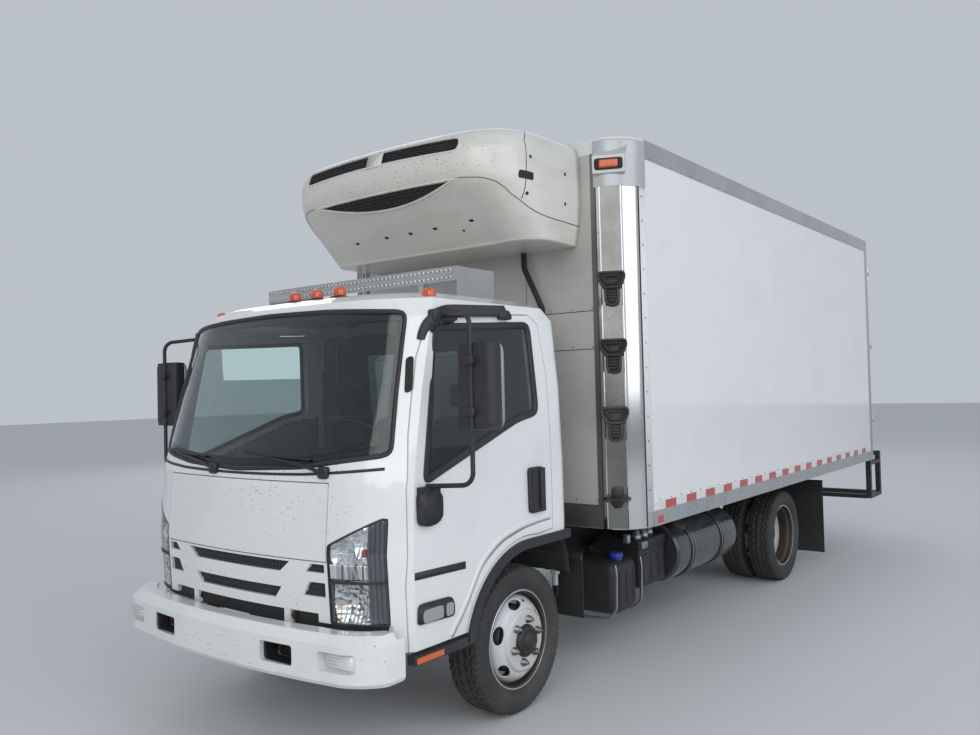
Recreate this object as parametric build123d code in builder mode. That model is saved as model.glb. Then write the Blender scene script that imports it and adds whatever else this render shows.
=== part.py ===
from build123d import *
import os

os.makedirs("parts", exist_ok=True)

# Refrigerated truck with a tilting low cab, in millimetres.
# +Z is up, the front faces -Y, +X is the truck's left side.
# The origin is on the ground under the middle of the truck's length and width.

# Driving dimensions of the chassis
overall_length = 7870
front_overhang = 1270
wheelbase = 3810
front_axle_y = -overall_length / 2 + front_overhang
rear_axle_y = front_axle_y + wheelbase
tyre_radius = 392
axle_z = tyre_radius
front_track = 1664
rear_track = 1650
frame_half_width = 425
frame_top_z = 800
frame_depth = 200

# Driving dimensions of the insulated box
box_half_width = 1220
box_front = 785
box_rear = 6200
box_corner_radius = 225
rail_bottom_z = 875
rail_top_z = 968
box_top_z = 3255
wall = 80
roof_thickness = 90
floor_top_z = 1070

# Driving dimensions of the cab
cab_wall = 50
cab_bottom_z = 560
cowl_z = 1340
roof_edge_z = 2120
arch_radius = 485
arch_centre_z = 400
arch_roof_z = 885
door_gap = 5
running_fit = 0.05
rear_corner_radius = 90

sides = (("left", 1), ("right", -1))

# Working planes. Sketch distances along the truck are measured from the front axle.
side_view = Plane(origin=(0, front_axle_y, 0), x_dir=(0, 1, 0), z_dir=(1, 0, 0))
front_view = Plane(origin=(0, front_axle_y, 0), x_dir=(1, 0, 0), z_dir=(0, -1, 0))


def plan_view(z):
    """Level plane at a height, with its origin over the front axle."""
    return Plane(origin=(0, front_axle_y, z))


def wheel_plane(y):
    """Upright plane through an axle: local x runs across the truck, local y is the radius."""
    return Plane(origin=(0, y, axle_z), x_dir=(1, 0, 0), z_dir=(0, -1, 0))


def axle_line(y):
    """Axis of an axle."""
    return Axis((0, y, axle_z), (1, 0, 0))


# Cab form, as level outlines from the sill to the roof.
# Columns: height, nose y, shoulder x, shoulder y, cheek x, cheek y, side x, side front y, back y
cab_sections = (
    (cab_bottom_z, -1120, 620, -1080, 900, -965, 985, -880, 415),
    (1000, -1147, 620, -1105, 905, -985, 990, -890, 428),
    (cowl_z, -1122, 620, -1078, 895, -962, 985, -870, 430),
    (1740, -1014, 600, -975, 872, -864, 970, -790, 430),
    (roof_edge_z, -905, 580, -868, 845, -757, 948, -680, 405),
    (2190, -855, 560, -820, 810, -715, 915, -630, 350),
    (2232, -740, 520, -710, 715, -600, 810, -500, 240),
    (2258, -540, 400, -520, 520, -400, 590, -250, 40),
)


def cab_form(inset):
    """Closed cab volume whose walls stand in from the skin by the inset."""
    half_inset = inset * 0.7
    with BuildPart() as form:
        for height, nose_y, shoulder_x, shoulder_y, cheek_x, cheek_y, side_x, front_y, back_y in cab_sections:
            level = height + inset if height == cab_bottom_z else height
            level = height - inset if height > roof_edge_z else level
            radius = rear_corner_radius - half_inset
            half_width = side_x - inset
            back = back_y - inset
            corner = radius * 0.7071
            with BuildSketch(plan_view(level)):
                with BuildLine():
                    ThreePointArc(
                        (-shoulder_x, shoulder_y + inset),
                        (0, nose_y + inset),
                        (shoulder_x, shoulder_y + inset),
                    )
                    for s in (1, -1):
                        ThreePointArc(
                            (s * shoulder_x, shoulder_y + inset),
                            (s * (cheek_x - half_inset), cheek_y + half_inset),
                            (s * half_width, front_y),
                        )
                        Line((s * half_width, front_y), (s * half_width, back - radius))
                        ThreePointArc(
                            (s * half_width, back - radius),
                            (s * (half_width - radius + corner), back - radius + corner),
                            (s * (half_width - radius), back),
                        )
                    Line((half_width - radius, back), (radius - half_width, back))
                make_face()
        loft(ruled=True)
    return form.part


cab_skin = cab_form(0)
cab_liner = cab_form(cab_wall)
glass_outer = cab_form(5)
glass_inner = cab_form(11)
lid_back = cab_form(22)
lid_pocket = cab_form(28)
grille_front = cab_form(30)
grille_back = cab_form(36)
lamp_back = cab_form(cab_wall + 2)
dash_form = cab_form(cab_wall + 4)

# Door outline in side view: front seam from the sill up, roof line, rear seam down to the arch
door_outline = (
    (-525, 548),
    (-908, 548),
    (-920, 850),
    (-902, 1300),
    (-866, 1530),
    (-823, 1730),
    (-776, 1900),
    (-735, 2005),
    (-660, 2105),
    (120, 2145),
    (200, 2090),
    (250, 1813),
    (256, 1450),
    (246, 955),
    (90, 945),
)
door_arch_start = (90, 945)
door_arch_mid = (-330, 833)
door_arch_end = (-525, 548)
window_outline = ((-804, 1310), (-668, 2048), (110, 2092), (140, 1602), (-50, 1570))
windshield_outline = ((-897, 1450), (-846, 2118), (846, 2118), (897, 1450))
windshield_sill_z = 1372
windshield_head_z = 2150


def door_face(gap):
    """Door outline drawn in by the gap."""
    with BuildSketch() as face:
        with BuildLine():
            Polyline(*door_outline)
            ThreePointArc(door_arch_start, door_arch_mid, door_arch_end)
        make_face()
        if gap:
            offset(amount=-gap, kind=Kind.INTERSECTION)
    return face.sketch


def window_face(gap):
    """Door window outline drawn in by the gap."""
    with BuildSketch() as face:
        with BuildLine():
            FilletPolyline(*window_outline, radius=45, close=True)
        make_face()
        if gap:
            offset(amount=-gap, kind=Kind.INTERSECTION)
    return face.sketch


def windshield_face():
    """Windshield outline, bowed along its sill and head."""
    low_left, top_left, top_right, low_right = windshield_outline
    with BuildSketch() as face:
        with BuildLine():
            Line(low_left, top_left)
            ThreePointArc(top_left, (0, windshield_head_z), top_right)
            Line(top_right, low_right)
            ThreePointArc(low_right, (0, windshield_sill_z), low_left)
        make_face()
        fillet(face.vertices(), radius=60)
    return face.sketch


def flare_face():
    """Arch flare in side view: a band round the arch that runs level to the back of the cab."""
    low_out = (-524, 505)
    low_in = (-474, 505)
    with BuildSketch() as face:
        with BuildLine():
            Line(low_in, low_out)
            ThreePointArc(low_out, (-378, 778), (0, arch_centre_z + arch_radius + flare_width))
            Line((0, arch_centre_z + arch_radius + flare_width), (405, arch_roof_z + flare_width))
            Line((405, arch_roof_z + flare_width), (405, arch_roof_z))
            Line((405, arch_roof_z), (0, arch_roof_z))
            ThreePointArc((0, arch_roof_z), (-343, 743), low_in)
        make_face()
    return face.sketch


# Cab shell: hollow steel body with openings for glass, doors, lamps, lid and grille
headlamp_outline = ((646, 682), (646, 1042), (890, 1168), (910, 1164), (910, 682))
lid_half_width = 642
lid_bottom_z = 961
lid_top_z = 1325
# Columns: grille opening corners, mirrored where they stand off the middle
grille_openings = (
    ((-410, 951), (410, 951), (342, 899), (-342, 899)),
    ((-346, 824), (346, 824), (302, 770), (-302, 770)),
    ((548, 951), (626, 951), (626, 912), (510, 912)),
    ((530, 866), (626, 866), (626, 800), (488, 800)),
    ((-548, 951), (-626, 951), (-626, 912), (-510, 912)),
    ((-530, 866), (-626, 866), (-626, 800), (-488, 800)),
)
tunnel_half_width = 468
tunnel_top_z = 872
engine_cover_half_width = 345
engine_cover_top_z = 1010
sheet = 14
flare_width = 50
flare_inner_x = 955
flare_outer_x = 1004
rear_window_z = 1740
rear_window_width = 1120
rear_window_height = 480
pivot_y = -1085
pivot_z = 690
pivot_pin_radius = 18
pivot_arm_x = 350
lamp_rear = 957
door_inner_x = 860

with BuildPart() as lid_slab:
    add(cab_skin)
    add(lid_pocket, mode=Mode.SUBTRACT)
    with BuildSketch(front_view):
        with Locations((0, (lid_bottom_z + lid_top_z) / 2)):
            Rectangle(2 * lid_half_width, lid_top_z - lid_bottom_z)
    extrude(amount=1300, mode=Mode.INTERSECT)

with BuildPart() as cab_shell:
    add(cab_skin)
    add(cab_liner, mode=Mode.SUBTRACT)
    with BuildSketch(front_view):
        add(windshield_face())
    extrude(amount=1300, mode=Mode.SUBTRACT)
    with BuildSketch(front_view):
        with Locations((0, rear_window_z)):
            RectangleRounded(rear_window_width, rear_window_height, 60)
    extrude(amount=-600, mode=Mode.SUBTRACT)
    add(lid_slab.part, mode=Mode.SUBTRACT)
    # Wheel arch through the sides, with its inner house and floor
    with BuildSketch(side_view) as arch:
        with Locations((0, arch_centre_z)):
            Circle(arch_radius)
        with Locations((300, arch_roof_z - 300)):
            Rectangle(600, 600)
    extrude(amount=1100, both=True, mode=Mode.SUBTRACT)
    with BuildSketch(side_view):
        with BuildLine():
            Polyline((-1040, cab_bottom_z + sheet), (-arch_radius - 8, cab_bottom_z + sheet))
            ThreePointArc((-arch_radius - 8, 560 + sheet), (-348, 748), (0, arch_roof_z + 7))
            Line((0, arch_roof_z + 7), (400, arch_roof_z + 7))
        trace(line_width=sheet)
    extrude(amount=945, both=True)
    # Tunnel over the frame and the engine
    for half_width, rear_start, top_z in (
        (tunnel_half_width, -1088, tunnel_top_z),
        (engine_cover_half_width, -560, engine_cover_top_z),
    ):
        with BuildSketch(side_view):
            with BuildLine():
                Polyline((rear_start, 500), (rear_start, top_z), (480, top_z), (480, 500), close=True)
            make_face()
        extrude(amount=half_width, both=True, mode=Mode.SUBTRACT)
    for half_width, rear_start, low_z, top_z in (
        (tunnel_half_width, -1088, 560, tunnel_top_z),
        (engine_cover_half_width, -560, tunnel_top_z - sheet, engine_cover_top_z),
    ):
        with BuildSketch(Plane.XZ.offset(-(front_axle_y + 385))):
            with BuildLine():
                Polyline((-half_width, low_z), (-half_width, top_z), (half_width, top_z), (half_width, low_z))
            trace(line_width=sheet)
        extrude(amount=385 - rear_start)
    with BuildSketch(Plane.XZ.offset(-(front_axle_y - 560))):
        with Locations((0, (tunnel_top_z + engine_cover_top_z) / 2)):
            Rectangle(2 * engine_cover_half_width, engine_cover_top_z - tunnel_top_z + sheet)
    extrude(amount=sheet)
    with BuildSketch(side_view):
        with BuildLine():
            Polyline((-560, 872), (-560, 1003), (480, 1003), (480, 600), (-560, 600), close=True)
        make_face()
    extrude(amount=engine_cover_half_width - sheet / 2, both=True, mode=Mode.SUBTRACT)
    # Front panel cut clear of the bumper. Columns: width, depth, height of the cut edge
    for width, depth, edge_z in ((2200, 250, 682), (1150, 130, 722)):
        with Locations((0, front_axle_y - 1080, cab_bottom_z)):
            Box(width, depth, 2 * (edge_z - cab_bottom_z), mode=Mode.SUBTRACT)
    for side, s in sides:
        with BuildSketch(side_view.offset(s * door_inner_x)):
            add(door_face(0))
        extrude(amount=s * 200, mode=Mode.SUBTRACT)
    with BuildSketch(front_view.offset(lamp_rear)):
        for outline in grille_openings:
            with BuildLine():
                Polyline(*outline, close=True)
            make_face()
        for side, s in sides:
            with BuildLine():
                Polyline(*[(s * x, z) for x, z in headlamp_outline], close=True)
            make_face()
    extrude(amount=300, mode=Mode.SUBTRACT)
    for side, s in sides:
        with BuildSketch(side_view.offset(s * flare_inner_x)):
            add(flare_face())
        extrude(amount=s * 100, mode=Mode.SUBTRACT)
    # Pivot arms round the pins on the frame
    for side, s in sides:
        with BuildSketch(side_view.offset(s * pivot_arm_x)):
            with BuildLine():
                Polyline((-1112, 655), (-1112, 890), (-1055, 890), (-1055, 655), close=True)
            make_face()
            with Locations((pivot_y, pivot_z)):
                Circle(pivot_pin_radius + running_fit, mode=Mode.SUBTRACT)
        extrude(amount=s * 40)
cab_shell.part.label = "cab_shell"
export_step(cab_shell.part, "parts/cab_shell.step")

# Windshield and rear window: bonded panes that follow the skin
with BuildPart() as rear_pane:
    add(glass_outer)
    add(glass_inner, mode=Mode.SUBTRACT)
    with BuildSketch(front_view):
        with Locations((0, rear_window_z)):
            RectangleRounded(rear_window_width, rear_window_height, 60)
    extrude(amount=-600, mode=Mode.INTERSECT)

with BuildPart() as cab_glass:
    add(glass_outer)
    add(glass_inner, mode=Mode.SUBTRACT)
    with BuildSketch(front_view):
        add(windshield_face())
    extrude(amount=1300, mode=Mode.INTERSECT)
    add(rear_pane.part)
cab_glass.part.label = "cab_glass"
export_step(cab_glass.part, "parts/cab_glass.step")

# Front lid: the white panel between windshield and grille, hinged along its top edge
with BuildPart() as front_lid:
    add(cab_skin)
    add(lid_back, mode=Mode.SUBTRACT)
    with BuildSketch(front_view):
        with Locations((0, (lid_bottom_z + lid_top_z) / 2)):
            Rectangle(2 * (lid_half_width - door_gap), lid_top_z - lid_bottom_z - 2 * door_gap)
    extrude(amount=1300, mode=Mode.INTERSECT)
front_lid.part.label = "front_lid"
export_step(front_lid.part, "parts/front_lid.step")

# Headlamps: clear wrap-round units in the front corners
with BuildPart() as headlamps:
    with BuildSketch(front_view.offset(lamp_rear)):
        for side, s in sides:
            with BuildLine():
                Polyline(*[(s * x, z) for x, z in headlamp_outline], close=True)
            make_face()
    extrude(amount=300)
    add(cab_skin, mode=Mode.INTERSECT)
    add(lamp_back, mode=Mode.SUBTRACT)
headlamps.part.label = "headlamps"
export_step(headlamps.part, "parts/headlamps.step")

# Black plastic: mesh behind the grille openings, arch flares, sills and wipers
wiper_pivots = ((-187, -1098, 1366), (609, -1068, 1370))
with BuildPart() as grille_mesh:
    add(grille_front)
    add(grille_back, mode=Mode.SUBTRACT)
    with BuildSketch(front_view):
        for outline in grille_openings:
            with BuildLine():
                Polyline(*outline, close=True)
            make_face()
    extrude(amount=1300, mode=Mode.INTERSECT)

with BuildPart() as cab_trim:
    for x, y, z in wiper_pivots:
        with BuildSketch(plan_view(z - 30)):
            with Locations((x, y + 30)):
                Circle(26)
        extrude(amount=45)
        with BuildSketch(Plane(origin=(0, front_axle_y + y - 4, 0), x_dir=(1, 0, 0), z_dir=(0, -1, 0))):
            with BuildLine():
                Polyline((x, z + 20), (x - 30, z + 35), (x - 250, z + 62), (x - 520, z + 78))
            trace(line_width=16)
        extrude(amount=18)
    add(cab_skin, mode=Mode.SUBTRACT)
    for side, s in sides:
        with BuildSketch(side_view.offset(s * flare_inner_x)):
            add(flare_face())
            with Locations(((-908 - 530) / 2, 524)):
                Rectangle(908 - 530, 42)
        extrude(amount=s * (flare_outer_x - flare_inner_x))
    add(grille_mesh.part)
cab_trim.part.label = "cab_trim"
export_step(cab_trim.part, "parts/cab_trim.step")

# Dashboard with the steering column
steering_wheel_x = 400
column_base = Vector(steering_wheel_x, front_axle_y - 800, 1230)
column_head = Vector(steering_wheel_x, front_axle_y - 585, 1445)
column_run = column_head - column_base
wheel_radius = 215
with BuildPart() as dashboard:
    with BuildSketch(side_view):
        with BuildLine():
            Polyline(
                (-1090, 1110),
                (-1090, 1352),
                (-960, 1356),
                (-760, 1326),
                (-700, 1260),
                (-720, 1150),
                (-760, 1040),
                (-860, 1030),
                close=True,
            )
        make_face()
    extrude(amount=900, both=True)
    add(dash_form, mode=Mode.INTERSECT)
    with BuildSketch(Plane(origin=column_base, z_dir=column_run)):
        Circle(38)
    extrude(amount=column_run.length - 14.3)
dashboard.part.label = "dashboard"
export_step(dashboard.part, "parts/dashboard.step")

# Steering wheel: rim, three spokes and a hub on the column
with BuildPart() as steering_wheel:
    with BuildSketch(Plane(origin=column_head, x_dir=(1, 0, 0), z_dir=(0, 1, -1))):
        with Locations((wheel_radius, 0)):
            RegularPolygon(15, 8)
    revolve(axis=Axis(column_head, column_run))
    with BuildSketch(Plane(origin=column_head, x_dir=(1, 0, 0), z_dir=column_run)):
        Circle(58)
        for angle in (0, 90, 180):
            with Locations(Location((0, 0, 0), (0, 0, angle))):
                with Locations((wheel_radius / 2, 0)):
                    Rectangle(wheel_radius - 12, 34)
    extrude(amount=14, both=True)
steering_wheel.part.label = "steering_wheel"
export_step(steering_wheel.part, "parts/steering_wheel.step")

# Seats. Columns: middle x, width
seat_places = ((480, 500), (-520, 460), (-60, 380))
with BuildPart() as seats:
    for middle_x, width in seat_places:
        with BuildSketch(side_view.offset(middle_x - width / 2)):
            with BuildLine():
                Polyline((-430, 1075), (-440, 1215), (20, 1190), (60, 1060), close=True)
            make_face()
            with BuildLine():
                Polyline((45, 1180), (10, 1200), (110, 1790), (220, 1790), (150, 1180), close=True)
            make_face()
        extrude(amount=width)
seats.part.label = "seats"
export_step(seats.part, "parts/seats.step")

# Roof lamps: five amber clearance lamps. Columns: x, y, z of the base
roof_lamp_places = (
    (0, -570, 2240),
    (185, -570, 2240),
    (-185, -570, 2240),
    (850, -590, 2185),
    (-850, -590, 2185),
)
with BuildPart() as roof_lamps:
    for x, y, z in roof_lamp_places:
        with BuildSketch(plan_view(z)):
            with Locations((x, y)):
                SlotOverall(80, 42)
        extrude(amount=46)
    add(cab_skin, mode=Mode.SUBTRACT)
roof_lamps.part.label = "roof_lamps"
export_step(roof_lamps.part, "parts/roof_lamps.step")

# Roof guard: perforated aluminium bar with sheet ends, on the cab roof
guard_half_width = 783
with BuildPart() as roof_guard:
    with BuildSketch(side_view.offset(-guard_half_width)):
        with BuildLine():
            Polyline((-288, 2318), (-288, 2392), (-228, 2392))
        trace(line_width=4)
    extrude(amount=2 * guard_half_width)
    for side, s in sides:
        with BuildSketch(side_view.offset(s * (guard_half_width - 2))):
            with Locations((-128, 2312)):
                Rectangle(320, 160)
        extrude(amount=-s * 4)
        with BuildSketch(side_view.offset(s * (guard_half_width - 4))):
            with Locations((-128, 2234)):
                Rectangle(320, 6)
        extrude(amount=-s * 120)
    for x in (-520, 520):
        with Locations((x, front_axle_y - 258, 2296)):
            Box(40, 56, 92)
    add(cab_skin, mode=Mode.SUBTRACT)
roof_guard.part.label = "roof_guard"
export_step(roof_guard.part, "parts/roof_guard.step")

# Doors with glass and outside trim
mirror_tube_x = 1234
mirror_tube_y = -750
for side, s in sides:
    with BuildPart() as door:
        add(cab_skin)
        add(cab_liner, mode=Mode.SUBTRACT)
        with BuildSketch(side_view.offset(s * door_inner_x)):
            add(door_face(door_gap))
        extrude(amount=s * 200, mode=Mode.INTERSECT)
        with BuildSketch(side_view.offset(s * door_inner_x)):
            add(window_face(0))
        extrude(amount=s * 200, mode=Mode.SUBTRACT)
        # Low rear corner, thinned so that it swings clear of the arch
        with Locations((s * 895, front_axle_y - 530, cab_bottom_z)):
            Box(76, 120, 140, mode=Mode.SUBTRACT)
    door.part.label = f"door_{side}"
    export_step(door.part, f"parts/door_{side}.step")

    with BuildPart() as door_glass:
        add(glass_outer)
        add(glass_inner, mode=Mode.SUBTRACT)
        with BuildSketch(side_view.offset(s * door_inner_x)):
            add(window_face(0))
        extrude(amount=s * 200, mode=Mode.INTERSECT)
    door_glass.part.label = f"door_glass_{side}"
    export_step(door_glass.part, f"parts/door_glass_{side}.step")

    with BuildPart() as door_mirror:
        with BuildLine() as tube:
            FilletPolyline(
                (s * 945, front_axle_y - 610, 2098),
                (s * mirror_tube_x, front_axle_y + mirror_tube_y, 2075),
                (s * mirror_tube_x, front_axle_y + mirror_tube_y, 1310),
                (s * 990, front_axle_y - 790, 1298),
                radius=60,
            )
        with BuildSketch(Plane(origin=tube.line @ 0, z_dir=tube.line % 0)):
            Circle(11)
        sweep()
        with BuildSketch(plan_view(1560)):
            with Locations((s * 1245, -700)):
                RectangleRounded(205, 90, 35)
        extrude(amount=390)
        with Locations((s * 1000, front_axle_y - 790, 1215)):
            Box(34, 130, 165)
        with Locations((s * 962, front_axle_y - 600, 2100)):
            Box(52, 120, 46)
        with Locations((s * 998, front_axle_y + 94, 1186)):
            Box(24, 120, 236)
        add(cab_skin, mode=Mode.SUBTRACT)
    door_mirror.part.label = f"mirror_{side}"
    export_step(door_mirror.part, f"parts/mirror_{side}.step")

# Frame rails with cross members, front brackets and the cab pivot pins
frame_front = -1030
frame_rear = 6150
cross_member_places = (-960, 1080, 1500, 2500, 3300, 4300, 5300, 6050)
with BuildPart() as frame_rails:
    for side, s in sides:
        with BuildSketch(Plane.XZ.offset(-(front_axle_y + frame_rear))):
            with BuildLine():
                Polyline(
                    (s * (frame_half_width - 70), frame_top_z - 4),
                    (s * (frame_half_width - 4), frame_top_z - 4),
                    (s * (frame_half_width - 4), frame_top_z - frame_depth + 4),
                    (s * (frame_half_width - 70), frame_top_z - frame_depth + 4),
                )
            trace(line_width=8)
        extrude(amount=frame_rear - frame_front)
    for y in cross_member_places:
        with Locations((0, front_axle_y + y, frame_top_z - frame_depth / 2)):
            Box(2 * frame_half_width - 14, 60, 120)
    for side, s in sides:
        with BuildSketch(side_view.offset(s * (frame_half_width - 16))):
            with BuildLine():
                Polyline(
                    (pivot_y, pivot_z + 26),
                    (-1000, 716),
                    (-960, 760),
                    (-960, 620),
                    (pivot_y, pivot_z - 26),
                    close=True,
                )
            make_face()
            with Locations((pivot_y, pivot_z)):
                Circle(26)
        extrude(amount=s * 12)
        with BuildSketch(side_view.offset(s * (pivot_arm_x - 6))):
            with Locations((pivot_y, pivot_z)):
                Circle(pivot_pin_radius)
        extrude(amount=s * 72)
frame_rails.part.label = "frame_rails"
export_step(frame_rails.part, "parts/frame_rails.step")

# Front bumper: pressed steel channel, open at the back so that the cab can tilt past it
bumper_bottom_z = 451
bumper_top_z = 672
bumper_crease_z = 632
bumper_sheet = 12
# Columns: height, inset from the widest outline
bumper_levels = ((bumper_bottom_z, 14), (bumper_bottom_z + 22, 0), (bumper_crease_z, 0), (bumper_top_z, 38))


def bumper_form(inset, levels):
    """Closed bumper volume with its walls stood in by the inset."""
    with BuildPart() as form:
        for level, shoulder in levels:
            d = inset + shoulder
            with BuildSketch(plan_view(level)):
                with BuildLine():
                    ThreePointArc((-770, -1208 + d), (0, -1270 + d), (770, -1208 + d))
                    for s in (1, -1):
                        ThreePointArc((s * 770, -1208 + d), (s * (935 - d), -1145 + d), (s * (995 - d), -1060))
                        Line((s * (995 - d), -1060), (s * (995 - d), -962))
                    Line((995 - d, -962), (d - 995, -962))
                make_face()
        loft(ruled=True)
    return form.part


inner_levels = ((bumper_bottom_z - 1, 0), (bumper_crease_z, 0), (bumper_top_z - bumper_sheet, 30))
# Recesses in the bumper face. Columns: middle x, width, middle z, height, y of the back
bumper_recesses = (
    (451, 204, 560, 92, -1150),
    (800, 196, 560, 84, -1172),
    (-451, 204, 560, 92, -1150),
    (-800, 196, 560, 84, -1172),
)
with BuildPart() as recess_blocks:
    for middle_x, width, middle_z, height, back_y in bumper_recesses:
        with BuildSketch(front_view.offset(-back_y - bumper_sheet)):
            with Locations((middle_x, middle_z)):
                Rectangle(width + 2 * bumper_sheet, height + 2 * bumper_sheet)
        extrude(amount=200)
    add(bumper_form(0, bumper_levels), mode=Mode.INTERSECT)

with BuildPart() as front_bumper:
    add(bumper_form(0, bumper_levels))
    add(bumper_form(bumper_sheet, inner_levels), mode=Mode.SUBTRACT)
    with BuildSketch(plan_view(bumper_bottom_z - 5)):
        with BuildLine():
            Polyline((-983, -950), (-983, -1000), (983, -1000), (983, -950), close=True)
        make_face()
    extrude(amount=300, mode=Mode.SUBTRACT)
    # Top shelf, open behind the gap to the cab
    with BuildSketch(plan_view(bumper_crease_z + 10)):
        with BuildLine():
            ThreePointArc((-630, -1114), (0, -1165), (630, -1114))
            for s in (1, -1):
                ThreePointArc((s * 630, -1114), (s * 908, -1000), (s * 970, -900))
            Line((970, -900), (-970, -900))
        make_face()
    extrude(amount=60, mode=Mode.SUBTRACT)
    add(recess_blocks.part)
    for middle_x, width, middle_z, height, back_y in bumper_recesses:
        with BuildSketch(front_view.offset(-back_y)):
            with Locations((middle_x, middle_z)):
                RectangleRounded(width, height, 14)
        extrude(amount=200, mode=Mode.SUBTRACT)
    for side, s in sides:
        with Locations((s * 417, front_axle_y + frame_front - 5, 550)):
            Box(40, 10, 180)
        with Locations((s * 417, front_axle_y - 1135, 485)):
            Box(40, 215, 50)
front_bumper.part.label = "front_bumper"
export_step(front_bumper.part, "parts/front_bumper.step")

# Front axle: dropped beam with kingpin eyes, and its leaf springs
kingpin_x = 720
kingpin_radius = 18
beam_eye_radius = 38
beam_eye_height = 90
spring_x = 390
spring_width = 70
# Columns: axle y, spring middle z, half length, rise of the ends, leaf stack
spring_places = (
    (front_axle_y, 408, 620, 120, 44),
    (rear_axle_y, 507, 700, 50, 54),
)
with BuildPart() as front_axle:
    with BuildSketch(Plane.XZ.offset(-(front_axle_y + 38))):
        with BuildLine():
            Polyline(
                (-kingpin_x, axle_z),
                (-600, axle_z - 10),
                (-500, 350),
                (500, 350),
                (600, axle_z - 10),
                (kingpin_x, axle_z),
            )
        trace(line_width=72)
    extrude(amount=76)
    for side, s in sides:
        with BuildSketch(Plane(origin=(s * kingpin_x, front_axle_y, axle_z - beam_eye_height / 2))):
            Circle(beam_eye_radius + 10)
        extrude(amount=beam_eye_height)
        with BuildSketch(Plane(origin=(s * kingpin_x, front_axle_y, axle_z - 200))):
            Circle(kingpin_radius + running_fit)
        extrude(amount=400, mode=Mode.SUBTRACT)
        with BuildSketch(Plane(origin=(s * kingpin_x, front_axle_y, axle_z + beam_eye_height / 2))):
            Circle(90)
        extrude(amount=60, mode=Mode.SUBTRACT)
        with BuildSketch(Plane(origin=(s * kingpin_x, front_axle_y, axle_z - beam_eye_height / 2))):
            Circle(90)
        extrude(amount=-60, mode=Mode.SUBTRACT)
front_axle.part.label = "front_axle"
export_step(front_axle.part, "parts/front_axle.step")

# Leaf springs with their hangers on the frame
with BuildPart() as springs:
    for y, middle_z, half_length, rise, stack in spring_places:
        for side, s in sides:
            spring_side = Vector(s * (spring_x - spring_width / 2), y, 0)
            with BuildSketch(Plane(origin=spring_side, x_dir=(0, 1, 0), z_dir=(1, 0, 0))):
                with BuildLine():
                    ThreePointArc(
                        (-half_length, middle_z + rise),
                        (0, middle_z),
                        (half_length, middle_z + rise),
                    )
                trace(line_width=stack)
                for end in (-half_length, half_length):
                    with Locations((end, (middle_z + rise + frame_top_z - frame_depth) / 2)):
                        Rectangle(60, frame_top_z - frame_depth - middle_z - rise)
            extrude(amount=s * spring_width)
springs.part.label = "springs"
export_step(springs.part, "parts/springs.step")

# Rear axle: banjo housing with the axle tubes that carry the hubs
axle_tube_radius = 45
hub_end_x = 925
with BuildPart() as rear_axle:
    with BuildSketch(wheel_plane(rear_axle_y)):
        with BuildLine():
            Polyline((0, 0), (0, 178), (60, 172), (190, 78), (560, 70), (620, 70), (620, axle_tube_radius))
            Polyline((620, axle_tube_radius), (hub_end_x - 12, axle_tube_radius), (hub_end_x - 12, 0), (0, 0))
        make_face()
        mirror(about=Plane.YZ)
    revolve(axis=axle_line(rear_axle_y))
    for side, s in sides:
        with BuildSketch(Plane(origin=(s * 618, rear_axle_y, axle_z), z_dir=(s, 0, 0))):
            Circle(185)
        extrude(amount=8)
        with Locations((s * spring_x, rear_axle_y, axle_z + 73)):
            Box(80, 150, 30)
    with BuildSketch(Plane(origin=(0, rear_axle_y - 240, axle_z + 20), z_dir=(0, 1, 0))):
        Circle(80)
    extrude(amount=120)
rear_axle.part.label = "rear_axle"
export_step(rear_axle.part, "parts/rear_axle.step")

# Steering knuckles: yoke and kingpin, spindle, brake plate and steering arm
tie_rod_y = 150
tie_rod_z = 300
tie_rod_x = 720
tie_pin_radius = 10
for side, s in sides:
    with BuildPart() as knuckle:
        for low_z in (axle_z - beam_eye_height / 2 - 28, axle_z + beam_eye_height / 2 + 2):
            with BuildSketch(Plane(origin=(s * kingpin_x, front_axle_y, low_z))):
                Circle(beam_eye_radius)
                with Locations((s * 36, 0)):
                    Rectangle(72, 2 * beam_eye_radius)
            extrude(amount=26)
        with BuildSketch(Plane(origin=(s * kingpin_x, front_axle_y, axle_z - 72))):
            Circle(kingpin_radius)
        extrude(amount=144)
        with Locations((s * (kingpin_x + 64), front_axle_y, axle_z)):
            Box(18, 2 * beam_eye_radius, 2 * (beam_eye_height / 2 + 28))
        with BuildSketch(wheel_plane(front_axle_y)):
            with Locations((s * (kingpin_x + 68), 165 / 2)):
                Rectangle(10, 165)
            with Locations((s * (kingpin_x + 55 + hub_end_x) / 2, 15)):
                Rectangle(hub_end_x - kingpin_x - 55, 30)
        revolve(axis=axle_line(front_axle_y))
        with BuildSketch(Plane(origin=(0, front_axle_y, tie_rod_z + 18))):
            with BuildLine():
                Line((s * (kingpin_x + 40), -20), (s * (kingpin_x + 40), 20))
                Line((s * (kingpin_x + 40), 20), (s * (tie_rod_x + 20), tie_rod_y + 18))
                Line((s * (tie_rod_x + 20), tie_rod_y + 18), (s * (tie_rod_x - 20), tie_rod_y + 18))
                Line((s * (tie_rod_x - 20), tie_rod_y + 18), (s * (tie_rod_x - 20), tie_rod_y - 12))
                Line((s * (tie_rod_x - 20), tie_rod_y - 12), (s * (kingpin_x - 10), -20))
                Line((s * (kingpin_x - 10), -20), (s * (kingpin_x + 40), -20))
            make_face()
        extrude(amount=18)
        with BuildSketch(Plane(origin=(s * tie_rod_x, front_axle_y + tie_rod_y, tie_rod_z - 18))):
            Circle(tie_pin_radius)
        extrude(amount=40)
    knuckle.part.label = f"knuckle_{side}"
    export_step(knuckle.part, f"parts/knuckle_{side}.step")

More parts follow.
